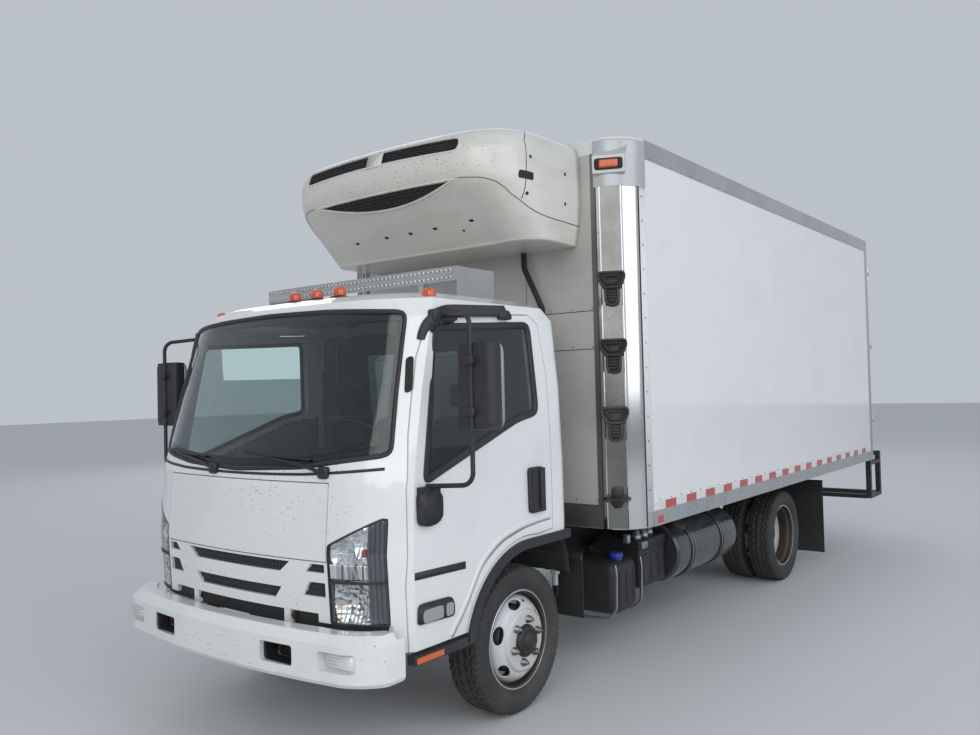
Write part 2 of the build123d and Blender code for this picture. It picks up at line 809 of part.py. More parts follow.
# Tie rod between the steering arms
with BuildPart() as tie_rod:
    with BuildSketch(Plane(origin=(-tie_rod_x, front_axle_y + tie_rod_y, tie_rod_z), z_dir=(1, 0, 0))):
        Circle(13)
    extrude(amount=2 * tie_rod_x)
    for side, s in sides:
        with BuildSketch(Plane(origin=(s * tie_rod_x, front_axle_y + tie_rod_y, tie_rod_z - 16))):
            Circle(24)
        extrude(amount=32)
        with BuildSketch(Plane(origin=(s * tie_rod_x, front_axle_y + tie_rod_y, tie_rod_z - 16))):
            Circle(tie_pin_radius + running_fit)
        extrude(amount=32, mode=Mode.SUBTRACT)
tie_rod.part.label = "tie_rod"
export_step(tie_rod.part, "parts/tie_rod.step")

# Wheels. Half section of the rim barrel and of the disc, as distance out from the rim middle and radius
rim_path = ((-82, 258), (-82, 248), (-52, 248), (-42, 226), (28, 226), (40, 248), (82, 248), (82, 258))
disc_path = ((48, 246), (80, 226), (104, 196), (118, 160), (122, 132), (122, 84))
hand_hole_count = 6
hand_hole_radius = 188
dual_half_spacing = 127
# Half of the tyre section, as distance from its middle and radius
tyre_half = ((79, 251), (79, 264), (112, 322), (100, 372), (86, tyre_radius))


def rim_section(middle_x, face):
    """Rim and disc section about an axle; face is +1 where the disc bulges towards +x."""
    with BuildSketch() as section:
        with BuildLine():
            Polyline(*[(middle_x + face * u, r) for u, r in rim_path])
        trace(line_width=6)
        with BuildLine():
            Polyline(*[(middle_x + face * u, r) for u, r in disc_path])
        trace(line_width=10)
    return section.sketch


def tyre_section(middle_x):
    """Closed section of one tyre on its rim."""
    right_side = [(middle_x + x, r) for x, r in tyre_half]
    left_side = [(middle_x - x, r) for x, r in reversed(tyre_half)]
    with BuildSketch() as section:
        with BuildLine():
            Polyline(*right_side, *left_side, close=True)
        make_face()
    return section.sketch


# Hub sections over the axle's end, as distance from the middle of the truck and radius
front_hub = (
    (800, 30.05),
    (800, 172),
    (812, 178),
    (900, 178),
    (908, 166),
    (908, 125),
    (949, 125),
    (949, 84),
    (968, 82),
    (985, 70),
    (992, 55),
    (992, 0),
    (930, 0),
    (930, 30.05),
)
rear_hub = (
    (700, 45.05),
    (700, 80),
    (796, 84),
    (796, 178),
    (640, 178),
    (640, 190),
    (806, 190),
    (815, 150),
    (815, 84),
    (835, 84),
    (900, 80),
    (935, 72),
    (938, 0),
    (920, 0),
    (920, 45.05),
)
rear_inner_x = rear_track / 2 - dual_half_spacing
rear_outer_x = rear_track / 2 + dual_half_spacing
# Columns: end of the truck, axle y, hub section, tyre middles with the way each disc bulges
wheel_sets = (
    ("front", front_axle_y, front_hub, ((front_track / 2, 1),)),
    ("rear", rear_axle_y, rear_hub, ((rear_inner_x, 1), (rear_outer_x, -1))),
)
for end, axle_y, hub_section, tyre_places in wheel_sets:
    for side, s in sides:
        with BuildPart() as rim:
            with BuildSketch(wheel_plane(axle_y)):
                for middle_x, face in tyre_places:
                    add(rim_section(s * middle_x, s * face))
            revolve(axis=axle_line(axle_y))
            for middle_x, face in tyre_places:
                with BuildSketch(Plane(origin=(s * middle_x, axle_y, axle_z), z_dir=(s * face, 0, 0))):
                    with PolarLocations(hand_hole_radius, hand_hole_count):
                        Ellipse(19, 30)
                extrude(amount=150, mode=Mode.SUBTRACT)
            with BuildSketch(wheel_plane(axle_y)):
                with BuildLine():
                    Polyline(*[(s * x, r) for x, r in hub_section], close=True)
                make_face()
            revolve(axis=axle_line(axle_y))
        rim.part.label = f"wheel_{end}_{side}"
        export_step(rim.part, f"parts/wheel_{end}_{side}.step")

        with BuildPart() as tyre:
            with BuildSketch(wheel_plane(axle_y)):
                for middle_x, face in tyre_places:
                    add(tyre_section(s * middle_x))
            revolve(axis=axle_line(axle_y))
        tyre.part.label = f"tyre_{end}_{side}"
        export_step(tyre.part, f"parts/tyre_{end}_{side}.step")

# Powertrain: engine and gearbox masses, and the propeller shaft
shaft_z = 580
pinion_nose = 240
shaft_joint = Vector(0, front_axle_y + 2640, shaft_z)
shaft_end = Vector(0, rear_axle_y - pinion_nose - 24, axle_z + 20)
with BuildPart() as powertrain:
    with Locations((0, front_axle_y + 10, 700)):
        Box(520, 800, 460)
    with Locations((0, front_axle_y + 700, 660)):
        Box(320, 580, 300)
    with BuildSketch(Plane.XZ.offset(-(front_axle_y + 960))):
        with Locations((0, shaft_z)):
            Circle(45)
    extrude(amount=-1700)
    with BuildSketch(Plane(origin=shaft_joint, z_dir=shaft_end - shaft_joint)):
        Circle(45)
    extrude(amount=(shaft_end - shaft_joint).length + 8)
    with BuildSketch(Plane(origin=shaft_end, z_dir=(0, 1, 0))):
        Circle(62)
    extrude(amount=24)
powertrain.part.label = "powertrain"
export_step(powertrain.part, "parts/powertrain.step")

# Fuel tank with its straps and brackets
tank_radius = 212
tank_x = 790
tank_z = 548
tank_front = 1800
tank_rear = 2850
with BuildPart() as fuel_tank:
    with BuildSketch(Plane.XZ.offset(-(front_axle_y + tank_rear))):
        with Locations((tank_x, tank_z)):
            Circle(tank_radius)
    extrude(amount=tank_rear - tank_front)
    fillet(fuel_tank.edges().filter_by(GeomType.CIRCLE), radius=24)
    for y in (2060, 2580):
        with BuildSketch(Plane.XZ.offset(-(front_axle_y + y))):
            with Locations((tank_x, tank_z)):
                Circle(tank_radius + 5)
        extrude(amount=50)
        with Locations(((frame_half_width + tank_x) / 2, front_axle_y + y - 25, 700)):
            Box(tank_x - frame_half_width, 50, 60)
fuel_tank.part.label = "fuel_tank"
export_step(fuel_tank.part, "parts/fuel_tank.step")

# Side boxes: urea tank with its filler, battery box, and a box on the right side
# Columns: middle x, middle y, middle z, width, length, height
side_box_places = (
    (740, 1150, 455, 400, 300, 340),
    (740, 1590, 540, 320, 360, 310),
    (-740, 1400, 560, 320, 620, 380),
)
with BuildPart() as side_boxes:
    for x, y, z, width, length, height in side_box_places:
        with BuildSketch(Plane.XZ.offset(-(front_axle_y + y + length / 2))):
            with Locations((x, z)):
                RectangleRounded(width, height, 20)
        extrude(amount=length)
        with Locations((x / abs(x) * (frame_half_width + 80), front_axle_y + y, 610)):
            Box(160, 60, 50)
    with BuildSketch(plan_view(620)):
        with Locations((880, 1130)):
            Circle(38)
    extrude(amount=38)
side_boxes.part.label = "side_boxes"
export_step(side_boxes.part, "parts/side_boxes.step")

# Mudflaps on brackets from the frame. Columns: y, inner x, outer x, bottom, top
mudflap_places = ((600, 740, 955, 375, 760), (4600, 600, 1150, 120, 800))
with BuildPart() as mudflaps:
    for y, inner_x, outer_x, low_z, top_z in mudflap_places:
        for side, s in sides:
            with Locations((s * (inner_x + outer_x) / 2, front_axle_y + y, (low_z + top_z) / 2)):
                Box(outer_x - inner_x, 8, top_z - low_z)
            with Locations((s * (frame_half_width + outer_x) / 2, front_axle_y + y - 14, top_z - 30)):
                Box(outer_x - frame_half_width, 20, 30)
mudflaps.part.label = "mudflaps"
export_step(mudflaps.part, "parts/mudflaps.step")

# Rear step: two end frames, the underrun bars and the tread bars
step_half_width = 1150
with BuildPart() as rear_step:
    for y, z in ((6180, 470), (6570, 470), (6575, 915)):
        with Locations((0, front_axle_y + y, z)):
            Box(2 * step_half_width, 50, 45)
    for side, s in sides:
        for y, low_z, top_z in ((6180, 450, rail_bottom_z), (6575, 450, 940)):
            with Locations((s * (step_half_width + 22), front_axle_y + y, (low_z + top_z) / 2)):
                Box(50, 50, top_z - low_z)
        for z in (470, 830):
            with Locations((s * (step_half_width + 22), front_axle_y + 6378, z)):
                Box(50, 400, 40)
rear_step.part.label = "rear_step"
export_step(rear_step.part, "parts/rear_step.step")

# Box floor: floor deck, cross bearers and the long sills on the frame
deck_bottom_z = 960
with BuildPart() as box_floor:
    with BuildSketch(plan_view(deck_bottom_z)) as deck:
        with Locations((0, (box_front + wall + box_rear - 100) / 2)):
            Rectangle(2 * (box_half_width - wall), box_rear - 100 - box_front - wall)
        fillet(deck.vertices().group_by(Axis.Y)[0], radius=box_corner_radius - wall)
    extrude(amount=floor_top_z - deck_bottom_z)
    for step in range(13):
        with Locations((0, front_axle_y + 1100 + 400 * step, (deck_bottom_z + frame_top_z + 80) / 2)):
            Box(2 * (box_half_width - 40), 50, deck_bottom_z - frame_top_z - 80)
    for side, s in sides:
        with Locations((s * (frame_half_width - 35), front_axle_y + (900 + 6100) / 2, frame_top_z + 40)):
            Box(70, 5200, 80)
box_floor.part.label = "box_floor"
export_step(box_floor.part, "parts/box_floor.step")

# Box walls: insulated side panels
side_front = box_front + box_corner_radius
with BuildPart() as box_sides:
    for side, s in sides:
        with Locations((
            s * (box_half_width - wall / 2),
            front_axle_y + (side_front + box_rear - 100) / 2,
            (deck_bottom_z + box_top_z - roof_thickness) / 2,
        )):
            Box(wall, box_rear - 100 - side_front, box_top_z - roof_thickness - deck_bottom_z)
box_sides.part.label = "box_sides"
export_step(box_sides.part, "parts/box_sides.step")

# Box front wall between the corner posts
with BuildPart() as box_front_wall:
    wall_middle_z = (rail_bottom_z + box_top_z - roof_thickness) / 2
    with Locations((0, front_axle_y + box_front + wall / 2, wall_middle_z)):
        Box(2 * (box_half_width - box_corner_radius), wall, box_top_z - roof_thickness - rail_bottom_z)
box_front_wall.part.label = "box_front_wall"
export_step(box_front_wall.part, "parts/box_front_wall.step")

# Corner posts: polished quarter rounds, with painted caps above
with BuildPart() as corner_posts:
    for side, s in sides:
        centre_x = s * (box_half_width - box_corner_radius)
        centre_y = box_front + box_corner_radius
        with BuildSketch(plan_view(rail_bottom_z)):
            with Locations((centre_x, centre_y)):
                Circle(box_corner_radius)
                Circle(box_corner_radius - wall, mode=Mode.SUBTRACT)
            with Locations((centre_x + s * 200, centre_y - 200)):
                Rectangle(400, 400, mode=Mode.INTERSECT)
        extrude(amount=box_top_z - roof_thickness - rail_bottom_z)
corner_posts.part.label = "corner_posts"
export_step(corner_posts.part, "parts/corner_posts.step")

# Box roof, rounded over the front corners
with BuildPart() as box_roof:
    with BuildSketch(plan_view(box_top_z - roof_thickness)):
        with Locations((0, (box_front + box_rear - 100) / 2)):
            Rectangle(2 * box_half_width, box_rear - 100 - box_front)
    extrude(amount=roof_thickness)
    fillet(box_roof.edges().filter_by(Axis.Z).group_by(Axis.Y)[0], radius=box_corner_radius)
box_roof.part.label = "box_roof"
export_step(box_roof.part, "parts/box_roof.step")

# Aluminium rails along the box: bottom rails, top rails and the front top rail
rail_proud = 6
with BuildPart() as box_rails:
    for side, s in sides:
        for low_z, top_z in ((rail_bottom_z, rail_top_z), (3140, box_top_z)):
            with Locations((
                s * (box_half_width + rail_proud / 2), front_axle_y + (side_front + box_rear - 100) / 2,
                (low_z + top_z) / 2,
            )):
                Box(rail_proud, box_rear - 100 - side_front, top_z - low_z)
        with Locations((
            s * (box_half_width - 20), front_axle_y + (side_front + box_rear - 100) / 2,
            (rail_bottom_z + deck_bottom_z) / 2,
        )):
            Box(40, box_rear - 100 - side_front, deck_bottom_z - rail_bottom_z)
box_rails.part.label = "box_rails"
export_step(box_rails.part, "parts/box_rails.step")

# Rear frame: hoop round the cargo doors, with the sill and hinge lugs
post_width = 90
hinge_pin_x = 1214
hinge_pin_y = 6250
hinge_heights = (1300, 2100, 2900)
with BuildPart() as rear_frame:
    with BuildSketch(Plane.XZ.offset(-(front_axle_y + box_rear))):
        with Locations((0, (rail_bottom_z + box_top_z) / 2)):
            Rectangle(2 * box_half_width, box_top_z - rail_bottom_z)
        with Locations((0, (1075 + 3120) / 2)):
            Rectangle(2 * (box_half_width - post_width), 3120 - 1075, mode=Mode.SUBTRACT)
    extrude(amount=100)
    for side, s in sides:
        for z in hinge_heights:
            for low_z in (z - 60, z + 20):
                with BuildSketch(plan_view(low_z)):
                    with Locations((s * hinge_pin_x, hinge_pin_y)):
                        Circle(12)
                    with Locations((s * (hinge_pin_x - 5), (box_rear + hinge_pin_y) / 2)):
                        Rectangle(10, hinge_pin_y - box_rear)
                extrude(amount=40)
            with BuildSketch(plan_view(z - 40)):
                with Locations((s * hinge_pin_x, hinge_pin_y)):
                    Circle(6)
            extrude(amount=80)
rear_frame.part.label = "rear_frame"
export_step(rear_frame.part, "parts/rear_frame.step")

# Cargo doors: insulated panels with hinge straps and lock rods
cargo_door_thickness = 76
cargo_door_face = 6196
for side, s in sides:
    with BuildPart() as cargo_door:
        with Locations((s * (4 + 1123) / 2, front_axle_y + cargo_door_face - cargo_door_thickness / 2, 2097)):
            Box(1123 - 4, cargo_door_thickness, 3113 - 1082)
        for z in hinge_heights:
            with BuildSketch(plan_view(z - 18)):
                with Locations((s * hinge_pin_x, hinge_pin_y)):
                    Circle(12)
                with Locations((s * (1050 + hinge_pin_x) / 2, 6218)):
                    Rectangle(hinge_pin_x - 1050 + 8, 8)
                with Locations((s * (hinge_pin_x + 1), (6214 + hinge_pin_y) / 2)):
                    Rectangle(6, hinge_pin_y - 6214)
                with Locations((s * 1075, 6208)):
                    Rectangle(60, 24)
                with Locations((s * hinge_pin_x, hinge_pin_y)):
                    Circle(6 + running_fit, mode=Mode.SUBTRACT)
            extrude(amount=36)
        for x in (300, 820):
            with BuildSketch(plan_view(1120)):
                with Locations((s * x, cargo_door_face + 18)):
                    Circle(13)
            extrude(amount=1950)
            for z in (1160, 1700, 2500, 3030):
                with Locations((s * x, front_axle_y + cargo_door_face + 9, z)):
                    Box(70, 18, 60)
            with Locations((s * (x - 110), front_axle_y + cargo_door_face + 30, 1640)):
                Box(260, 12, 36)
    cargo_door.part.label = f"cargo_door_{side}"
    export_step(cargo_door.part, f"parts/cargo_door_{side}.step")

# Folding steps on the left corner post: three folded up and the lowest one let down
step_turn = 24.5
step_reach = 48
step_tops = (2432, 2024, 1616)
lowered_step_z = 1065
step_half_outline = ((82, 0), (78, -70), (44, -118), (40, -208))
lowered_half_outline = ((32, 70), (32, 8), (46, 8), (46, -20), (24, -55))


def step_plane(z, stand):
    """Upright plane that faces out of the rounded corner, at a distance from the corner's centre."""
    outward = Vector(0, -1, 0).rotate(Axis.Z, step_turn)
    centre = Vector(box_half_width - box_corner_radius, front_axle_y + box_front + box_corner_radius, z)
    return Plane(origin=centre + outward * stand, x_dir=(-outward.Y, outward.X, 0), z_dir=outward)


def step_outline(half_outline):
    """Closed outline from its right half."""
    with BuildSketch() as outline:
        with BuildLine():
            Polyline(*half_outline, *[(-x, y) for x, y in reversed(half_outline)], close=True)
        make_face()
    return outline.sketch


with BuildPart() as folding_steps:
    for top_z in step_tops:
        with BuildSketch(step_plane(top_z, box_corner_radius - 20)):
            add(step_outline(step_half_outline))
        extrude(amount=20 + step_reach)
    with BuildSketch(step_plane(lowered_step_z, box_corner_radius - 20)):
        add(step_outline(lowered_half_outline))
    extrude(amount=20 + step_reach)
    with BuildSketch(step_plane(lowered_step_z, box_corner_radius - 20)):
        Rectangle(165, 16)
    extrude(amount=20 + 120)
    with BuildSketch(plan_view(rail_bottom_z)):
        with Locations((box_half_width - box_corner_radius, box_front + box_corner_radius)):
            Circle(box_corner_radius)
    extrude(amount=box_top_z - rail_bottom_z, mode=Mode.SUBTRACT)
folding_steps.part.label = "folding_steps"
export_step(folding_steps.part, "parts/folding_steps.step")

# Box lamps: amber markers turned out on the corners, and the rear red lamps
with BuildPart() as box_lamps:
    with BuildSketch(step_plane(3088, box_corner_radius - 12)):
        Rectangle(118, 52)
    extrude(amount=12 + 30)
    with BuildSketch(plan_view(3040)):
        with Locations((box_half_width - box_corner_radius, box_front + box_corner_radius)):
            Circle(box_corner_radius)
    extrude(amount=100, mode=Mode.SUBTRACT)
    with Locations((1040, front_axle_y + box_rear + 8, 975)):
        Box(150, 16, 80)
    mirror(about=Plane.YZ)
box_lamps.part.label = "box_lamps"
export_step(box_lamps.part, "parts/box_lamps.step")

# Refrigeration unit form, as level outlines.
# Columns: height, front y, shoulder x, shoulder y, cheek x, cheek y, side x, side front y, back x
unit_bottom_z = 2607
reefer_sections = (
    (unit_bottom_z, 330, 600, 336, 835, 372, 878, 440, 860),
    (2735, 165, 600, 185, 850, 250, 898, 370, 885),
    (2830, 40, 590, 70, 845, 150, 905, 290, 895),
    (2930, -95, 575, -58, 825, 45, 908, 230, 900),
    (3030, -140, 570, -98, 820, 20, 910, 210, 900),
    (3110, -130, 565, -90, 815, 25, 906, 210, 897),
    (3175, -92, 555, -54, 795, 55, 885, 220, 888),
    (3222, 0, 535, 35, 755, 130, 845, 280, 860),
    (3252, 110, 500, 140, 690, 220, 770, 340, 780),
)


def reefer_form(inset):
    """Closed volume of the unit with its walls stood in by the inset."""
    half_inset = inset * 0.7
    with BuildPart() as form:
        for height, front_y, shoulder_x, shoulder_y, *flank in reefer_sections:
            cheek_x, cheek_y, side_x, side_y, back_x = flank
            with BuildSketch(plan_view(height)):
                with BuildLine():
                    ThreePointArc(
                        (-shoulder_x, shoulder_y + inset),
                        (0, front_y + inset),
                        (shoulder_x, shoulder_y + inset),
                    )
                    for s in (1, -1):
                        ThreePointArc(
                            (s * shoulder_x, shoulder_y + inset),
                            (s * (cheek_x - half_inset), cheek_y + half_inset),
                            (s * (side_x - inset), side_y),
                        )
                        Line((s * (side_x - inset), side_y), (s * (back_x - inset), box_front))
                    Line((back_x - inset, box_front), (inset - back_x, box_front))
                make_face()
        loft(ruled=True)
    return form.part


reefer_skin = reefer_form(0)
reefer_mesh_front = reefer_form(14)
reefer_mesh_back = reefer_form(30)


def reefer_grille_face():
    """Upper oval grille and lower crescent grille, in the front view."""
    with BuildSketch() as face:
        with BuildLine():
            ThreePointArc((-600, 3072), (0, 3080), (600, 3072))
            ThreePointArc((600, 3072), (640, 3115), (600, 3158))
            ThreePointArc((600, 3158), (0, 3168), (-600, 3158))
            ThreePointArc((-600, 3158), (-640, 3115), (-600, 3072))
        make_face()
        with BuildLine():
            Line((-580, 2930), (580, 2930))
            ThreePointArc((580, 2930), (0, 2850), (-580, 2930))
        make_face()
    return face.sketch


def seam_face(above):
    """Side view region above or below the seam of the unit's shell."""
    far_z = 3400 if above else 2500
    with BuildSketch() as face:
        with BuildLine():
            Line((-300, 2932), (-60, 2932))
            ThreePointArc((-60, 2932), (50, 2898), (140, 2838))
            Line((140, 2838), (250, 2776))
            ThreePointArc((250, 2776), (350, 2744), (480, 2735))
            Line((480, 2735), (800, 2730))
            Polyline((800, 2730), (800, far_z), (-300, far_z), (-300, 2932))
        make_face()
    return face.sketch


for name, above in (("reefer_housing", True), ("reefer_belly", False)):
    with BuildPart() as shell:
        add(reefer_skin)
        with BuildSketch(front_view.offset(-300)):
            add(reefer_grille_face())
        extrude(amount=600, mode=Mode.SUBTRACT)
        add(reefer_mesh_back)
        with BuildSketch(side_view):
            add(seam_face(above))
        extrude(amount=1000, both=True, mode=Mode.INTERSECT)
    shell.part.label = name
    export_step(shell.part, f"parts/{name}.step")

with BuildPart() as reefer_grilles:
    add(reefer_mesh_front)
    add(reefer_mesh_back, mode=Mode.SUBTRACT)
    with BuildSketch(front_view.offset(-300)):
        add(reefer_grille_face())
    extrude(amount=600, mode=Mode.INTERSECT)
reefer_grilles.part.label = "reefer_grilles"
export_step(reefer_grilles.part, "parts/reefer_grilles.step")

# Line set from the unit down behind the cab
with BuildPart() as reefer_hose:
    with BuildLine() as hose:
        FilletPolyline(
            (487, front_axle_y + 740, unit_bottom_z),
            (487, front_axle_y + 740, 2510),
            (620, front_axle_y + 740, 2240),
            (620, front_axle_y + 740, 1150),
            (400, front_axle_y + 740, 900),
            (400, front_axle_y + 740, 800),
            radius=90,
        )
    with BuildSketch(Plane(origin=hose.line @ 0, z_dir=hose.line % 0)):
        Circle(18)
    sweep()
reefer_hose.part.label = "reefer_hose"
export_step(reefer_hose.part, "parts/reefer_hose.step")
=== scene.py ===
import math
import bmesh
import bpy
import numpy as np
from mathutils import Matrix, Vector


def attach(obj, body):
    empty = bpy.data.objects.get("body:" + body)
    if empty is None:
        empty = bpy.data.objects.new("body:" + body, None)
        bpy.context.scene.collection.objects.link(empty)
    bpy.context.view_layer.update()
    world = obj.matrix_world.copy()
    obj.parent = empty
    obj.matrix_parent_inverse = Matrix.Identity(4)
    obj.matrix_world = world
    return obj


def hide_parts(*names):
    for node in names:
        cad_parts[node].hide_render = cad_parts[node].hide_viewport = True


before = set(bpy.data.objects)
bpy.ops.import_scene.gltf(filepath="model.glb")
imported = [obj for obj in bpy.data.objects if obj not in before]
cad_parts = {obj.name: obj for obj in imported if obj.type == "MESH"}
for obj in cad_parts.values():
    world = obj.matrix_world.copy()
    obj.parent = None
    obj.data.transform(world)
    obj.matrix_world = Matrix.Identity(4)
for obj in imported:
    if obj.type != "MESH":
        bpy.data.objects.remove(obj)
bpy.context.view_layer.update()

# Camera and daylight studio.
# The camera stands off the truck's front left corner at eye height, behind the lens that gives
# the photograph's frame. The floor is a pale matt sheet, and the light is soft and plain.
front_axle_y = -2.665
camera_place = Vector((3.657, -3.736 + front_axle_y, 1.740))
camera_yaw = 0.659
camera_pitch = 0.025
camera_roll = -0.024
focal_pixels = 854.7
frame_pixels = 980
forward = Vector((
    -math.sin(camera_yaw) * math.cos(camera_pitch),
    math.cos(camera_yaw) * math.cos(camera_pitch),
    math.sin(camera_pitch),
))
level_right = Vector((math.cos(camera_yaw), math.sin(camera_yaw), 0))
level_up = level_right.cross(forward)
right = level_right * math.cos(camera_roll) + level_up * math.sin(camera_roll)
up = level_up * math.cos(camera_roll) - level_right * math.sin(camera_roll)
camera_data = bpy.data.cameras.new("camera")
camera_data.sensor_width = 36
camera_data.lens = focal_pixels * camera_data.sensor_width / frame_pixels
camera_data.clip_end = 200
camera = bpy.data.objects.new("camera", camera_data)
camera.matrix_world = Matrix.Translation(camera_place) @ Matrix((right, up, -forward)).transposed().to_4x4()
bpy.context.scene.collection.objects.link(camera)
bpy.context.scene.camera = camera
bpy.context.scene.view_settings.view_transform = "Standard"


def lamp(name, place, target, size, power, colour):
    """A square soft lamp at a place, facing a target."""
    data = bpy.data.lights.new(name, "AREA")
    data.shape = "SQUARE"
    data.size = size
    data.energy = power
    data.color = colour
    obj = bpy.data.objects.new(name, data)
    obj.location = place
    obj.rotation_euler = (Vector(target) - Vector(place)).to_track_quat("-Z", "Y").to_euler()
    bpy.context.scene.collection.objects.link(obj)


lamp("key_lamp", (7.0, -13.8, 6.8), (0, -2.0, 1.2), 10.0, 600, (1.0, 0.98, 0.95))
lamp("side_lamp", (13.5, -3.0, 6.6), (0.5, 0.5, 1.6), 11.0, 600, (0.90, 0.95, 1.0))
lamp("back_lamp", (-10.0, 10.0, 7.6), (0, 1.0, 1.5), 12.0, 420, (0.95, 0.97, 1.0))

world = bpy.data.worlds.new("studio")
bpy.context.scene.world = world
world.use_nodes = True
background = world.node_tree.nodes["Background"]
background.inputs["Color"].default_value = (0.80, 0.86, 0.93, 1)
background.inputs["Strength"].default_value = 0.62

floor_mesh = bpy.data.meshes.new("floor")
floor_half = 60.0
floor_mesh.from_pydata(
    [
        (-floor_half, -floor_half, 0), (floor_half, -floor_half, 0), (floor_half, floor_half, 0),
        (-floor_half, floor_half, 0)
    ], [], [(0, 1, 2, 3)],
)
floor = bpy.data.objects.new("floor", floor_mesh)
bpy.context.scene.collection.objects.link(floor)
floor_material = bpy.data.materials.new("floor_sheet")
floor_material.use_nodes = True
floor_shader = floor_material.node_tree.nodes["Principled BSDF"]
floor_shader.inputs["Base Color"].default_value = (0.62, 0.63, 0.64, 1)
floor_shader.inputs["Roughness"].default_value = 0.85
floor_mesh.materials.append(floor_material)

# Finishes of the carried-over solids.
# Every solid keeps its own mesh. A light weld and a shading angle make its round stretches read as
# one pressed surface, and each finish is a layered procedural material in the truck's own metres.


def shade_group():
    """Node group: welds loose triangles, then shades smooth except across edges sharper than the angle."""
    group = bpy.data.node_groups.new("shade_by_angle", "GeometryNodeTree")
    group.interface.new_socket("Geometry", in_out="INPUT", socket_type="NodeSocketGeometry")
    angle_socket = group.interface.new_socket("Angle", in_out="INPUT", socket_type="NodeSocketFloat")
    angle_socket.default_value = math.radians(28)
    group.interface.new_socket("Geometry", in_out="OUTPUT", socket_type="NodeSocketGeometry")
    nodes = group.nodes
    links = group.links
    source = nodes.new("NodeGroupInput")
    weld = nodes.new("GeometryNodeMergeByDistance")
    weld.inputs["Distance"].default_value = 0.00002
    smooth_faces = nodes.new("GeometryNodeSetShadeSmooth")
    sharp_edges = nodes.new("GeometryNodeSetShadeSmooth")
    sharp_edges.domain = "EDGE"
    sharp_edges.inputs["Shade Smooth"].default_value = False
    edge_angle = nodes.new("GeometryNodeInputMeshEdgeAngle")
    compare = nodes.new("FunctionNodeCompare")
    compare.operation = "GREATER_THAN"
    target = nodes.new("NodeGroupOutput")
    links.new(source.outputs["Geometry"], weld.inputs["Geometry"])
    links.new(weld.outputs["Geometry"], smooth_faces.inputs["Geometry"])
    links.new(smooth_faces.outputs["Geometry"], sharp_edges.inputs["Geometry"])
    links.new(edge_angle.outputs["Unsigned Angle"], compare.inputs["A"])
    links.new(source.outputs["Angle"], compare.inputs["B"])
    links.new(compare.outputs["Result"], sharp_edges.inputs["Selection"])
    links.new(sharp_edges.outputs["Geometry"], target.inputs["Geometry"])
    return group


shade_by_angle = shade_group()


def dress(node, material):
    """Gives a solid its finish and its shading."""
    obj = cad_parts[node]
    obj.data.materials.clear()
    obj.data.materials.append(material)
    modifier = obj.modifiers.new("shade_by_angle", "NODES")
    modifier.node_group = shade_by_angle


def shader_kit(name):
    """A new material with its node tree, its shader and the truck's own coordinates."""
    material = bpy.data.materials.new(name)
    material.use_nodes = True
    tree = material.node_tree
    shader = tree.nodes["Principled BSDF"]
    place = tree.nodes.new("ShaderNodeTexCoord").outputs["Object"]
    return material, tree, shader, place


def noise(tree, place, scale, detail=4.0, stretch=(1, 1, 1)):
    """Noise value over the truck's coordinates, stretched along its axes."""
    mapping = tree.nodes.new("ShaderNodeMapping")
    mapping.inputs["Scale"].default_value = stretch
    tree.links.new(place, mapping.inputs["Vector"])
    texture = tree.nodes.new("ShaderNodeTexNoise")
    texture.inputs["Scale"].default_value = scale
    texture.inputs["Detail"].default_value = detail
    tree.links.new(mapping.outputs["Vector"], texture.inputs["Vector"])
    return texture.outputs["Fac"]


def ramp(tree, value, low, high, low_value=0.0, high_value=1.0):
    """A value's stretch from low to high, taken to another stretch and held at its ends."""
    node = tree.nodes.new("ShaderNodeMapRange")
    node.interpolation_type = "SMOOTHSTEP"
    node.inputs["From Min"].default_value = low
    node.inputs["From Max"].default_value = high
    node.inputs["To Min"].default_value = low_value
    node.inputs["To Max"].default_value = high_value
    tree.links.new(value, node.inputs["Value"])
    return node.outputs["Result"]


def cells(tree, place, scale):
    """Irregular cells over the truck's coordinates: the node, whose outputs are each cell's distance and
    colour."""
    texture = tree.nodes.new("ShaderNodeTexVoronoi")
    texture.inputs["Scale"].default_value = scale
    tree.links.new(place, texture.inputs["Vector"])
    return texture.outputs


def mix_colour(tree, factor, first, second):
    """Two colours, or links to them, mixed by a factor."""
    node = tree.nodes.new("ShaderNodeMix")
    node.data_type = "RGBA"
    tree.links.new(factor, node.inputs[0])
    for socket, colour in ((node.inputs[6], first), (node.inputs[7], second)):
        if isinstance(colour, tuple):
            socket.default_value = (*colour, 1)
        else:
            tree.links.new(colour, socket)
    return node.outputs[2]


def product(tree, first, second, operation="MULTIPLY"):
    """Two values, or a value and a number, put together."""
    node = tree.nodes.new("ShaderNodeMath")
    node.operation = operation
    tree.links.new(first, node.inputs[0])
    if isinstance(second, (int, float)):
        node.inputs[1].default_value = second
    else:
        tree.links.new(second, node.inputs[1])
    return node.outputs[0]


def bump(tree, shader, height, strength, distance):
    """Surface relief from a value."""
    node = tree.nodes.new("ShaderNodeBump")
    node.inputs["Strength"].default_value = strength
    node.inputs["Distance"].default_value = distance
    tree.links.new(height, node.inputs["Height"])
    tree.links.new(node.outputs["Normal"], shader.inputs["Normal"])


def axis_value(tree, place, axis):
    """One coordinate of the truck's place."""
    node = tree.nodes.new("ShaderNodeSeparateXYZ")
    tree.links.new(place, node.inputs["Vector"])
    return node.outputs[axis]


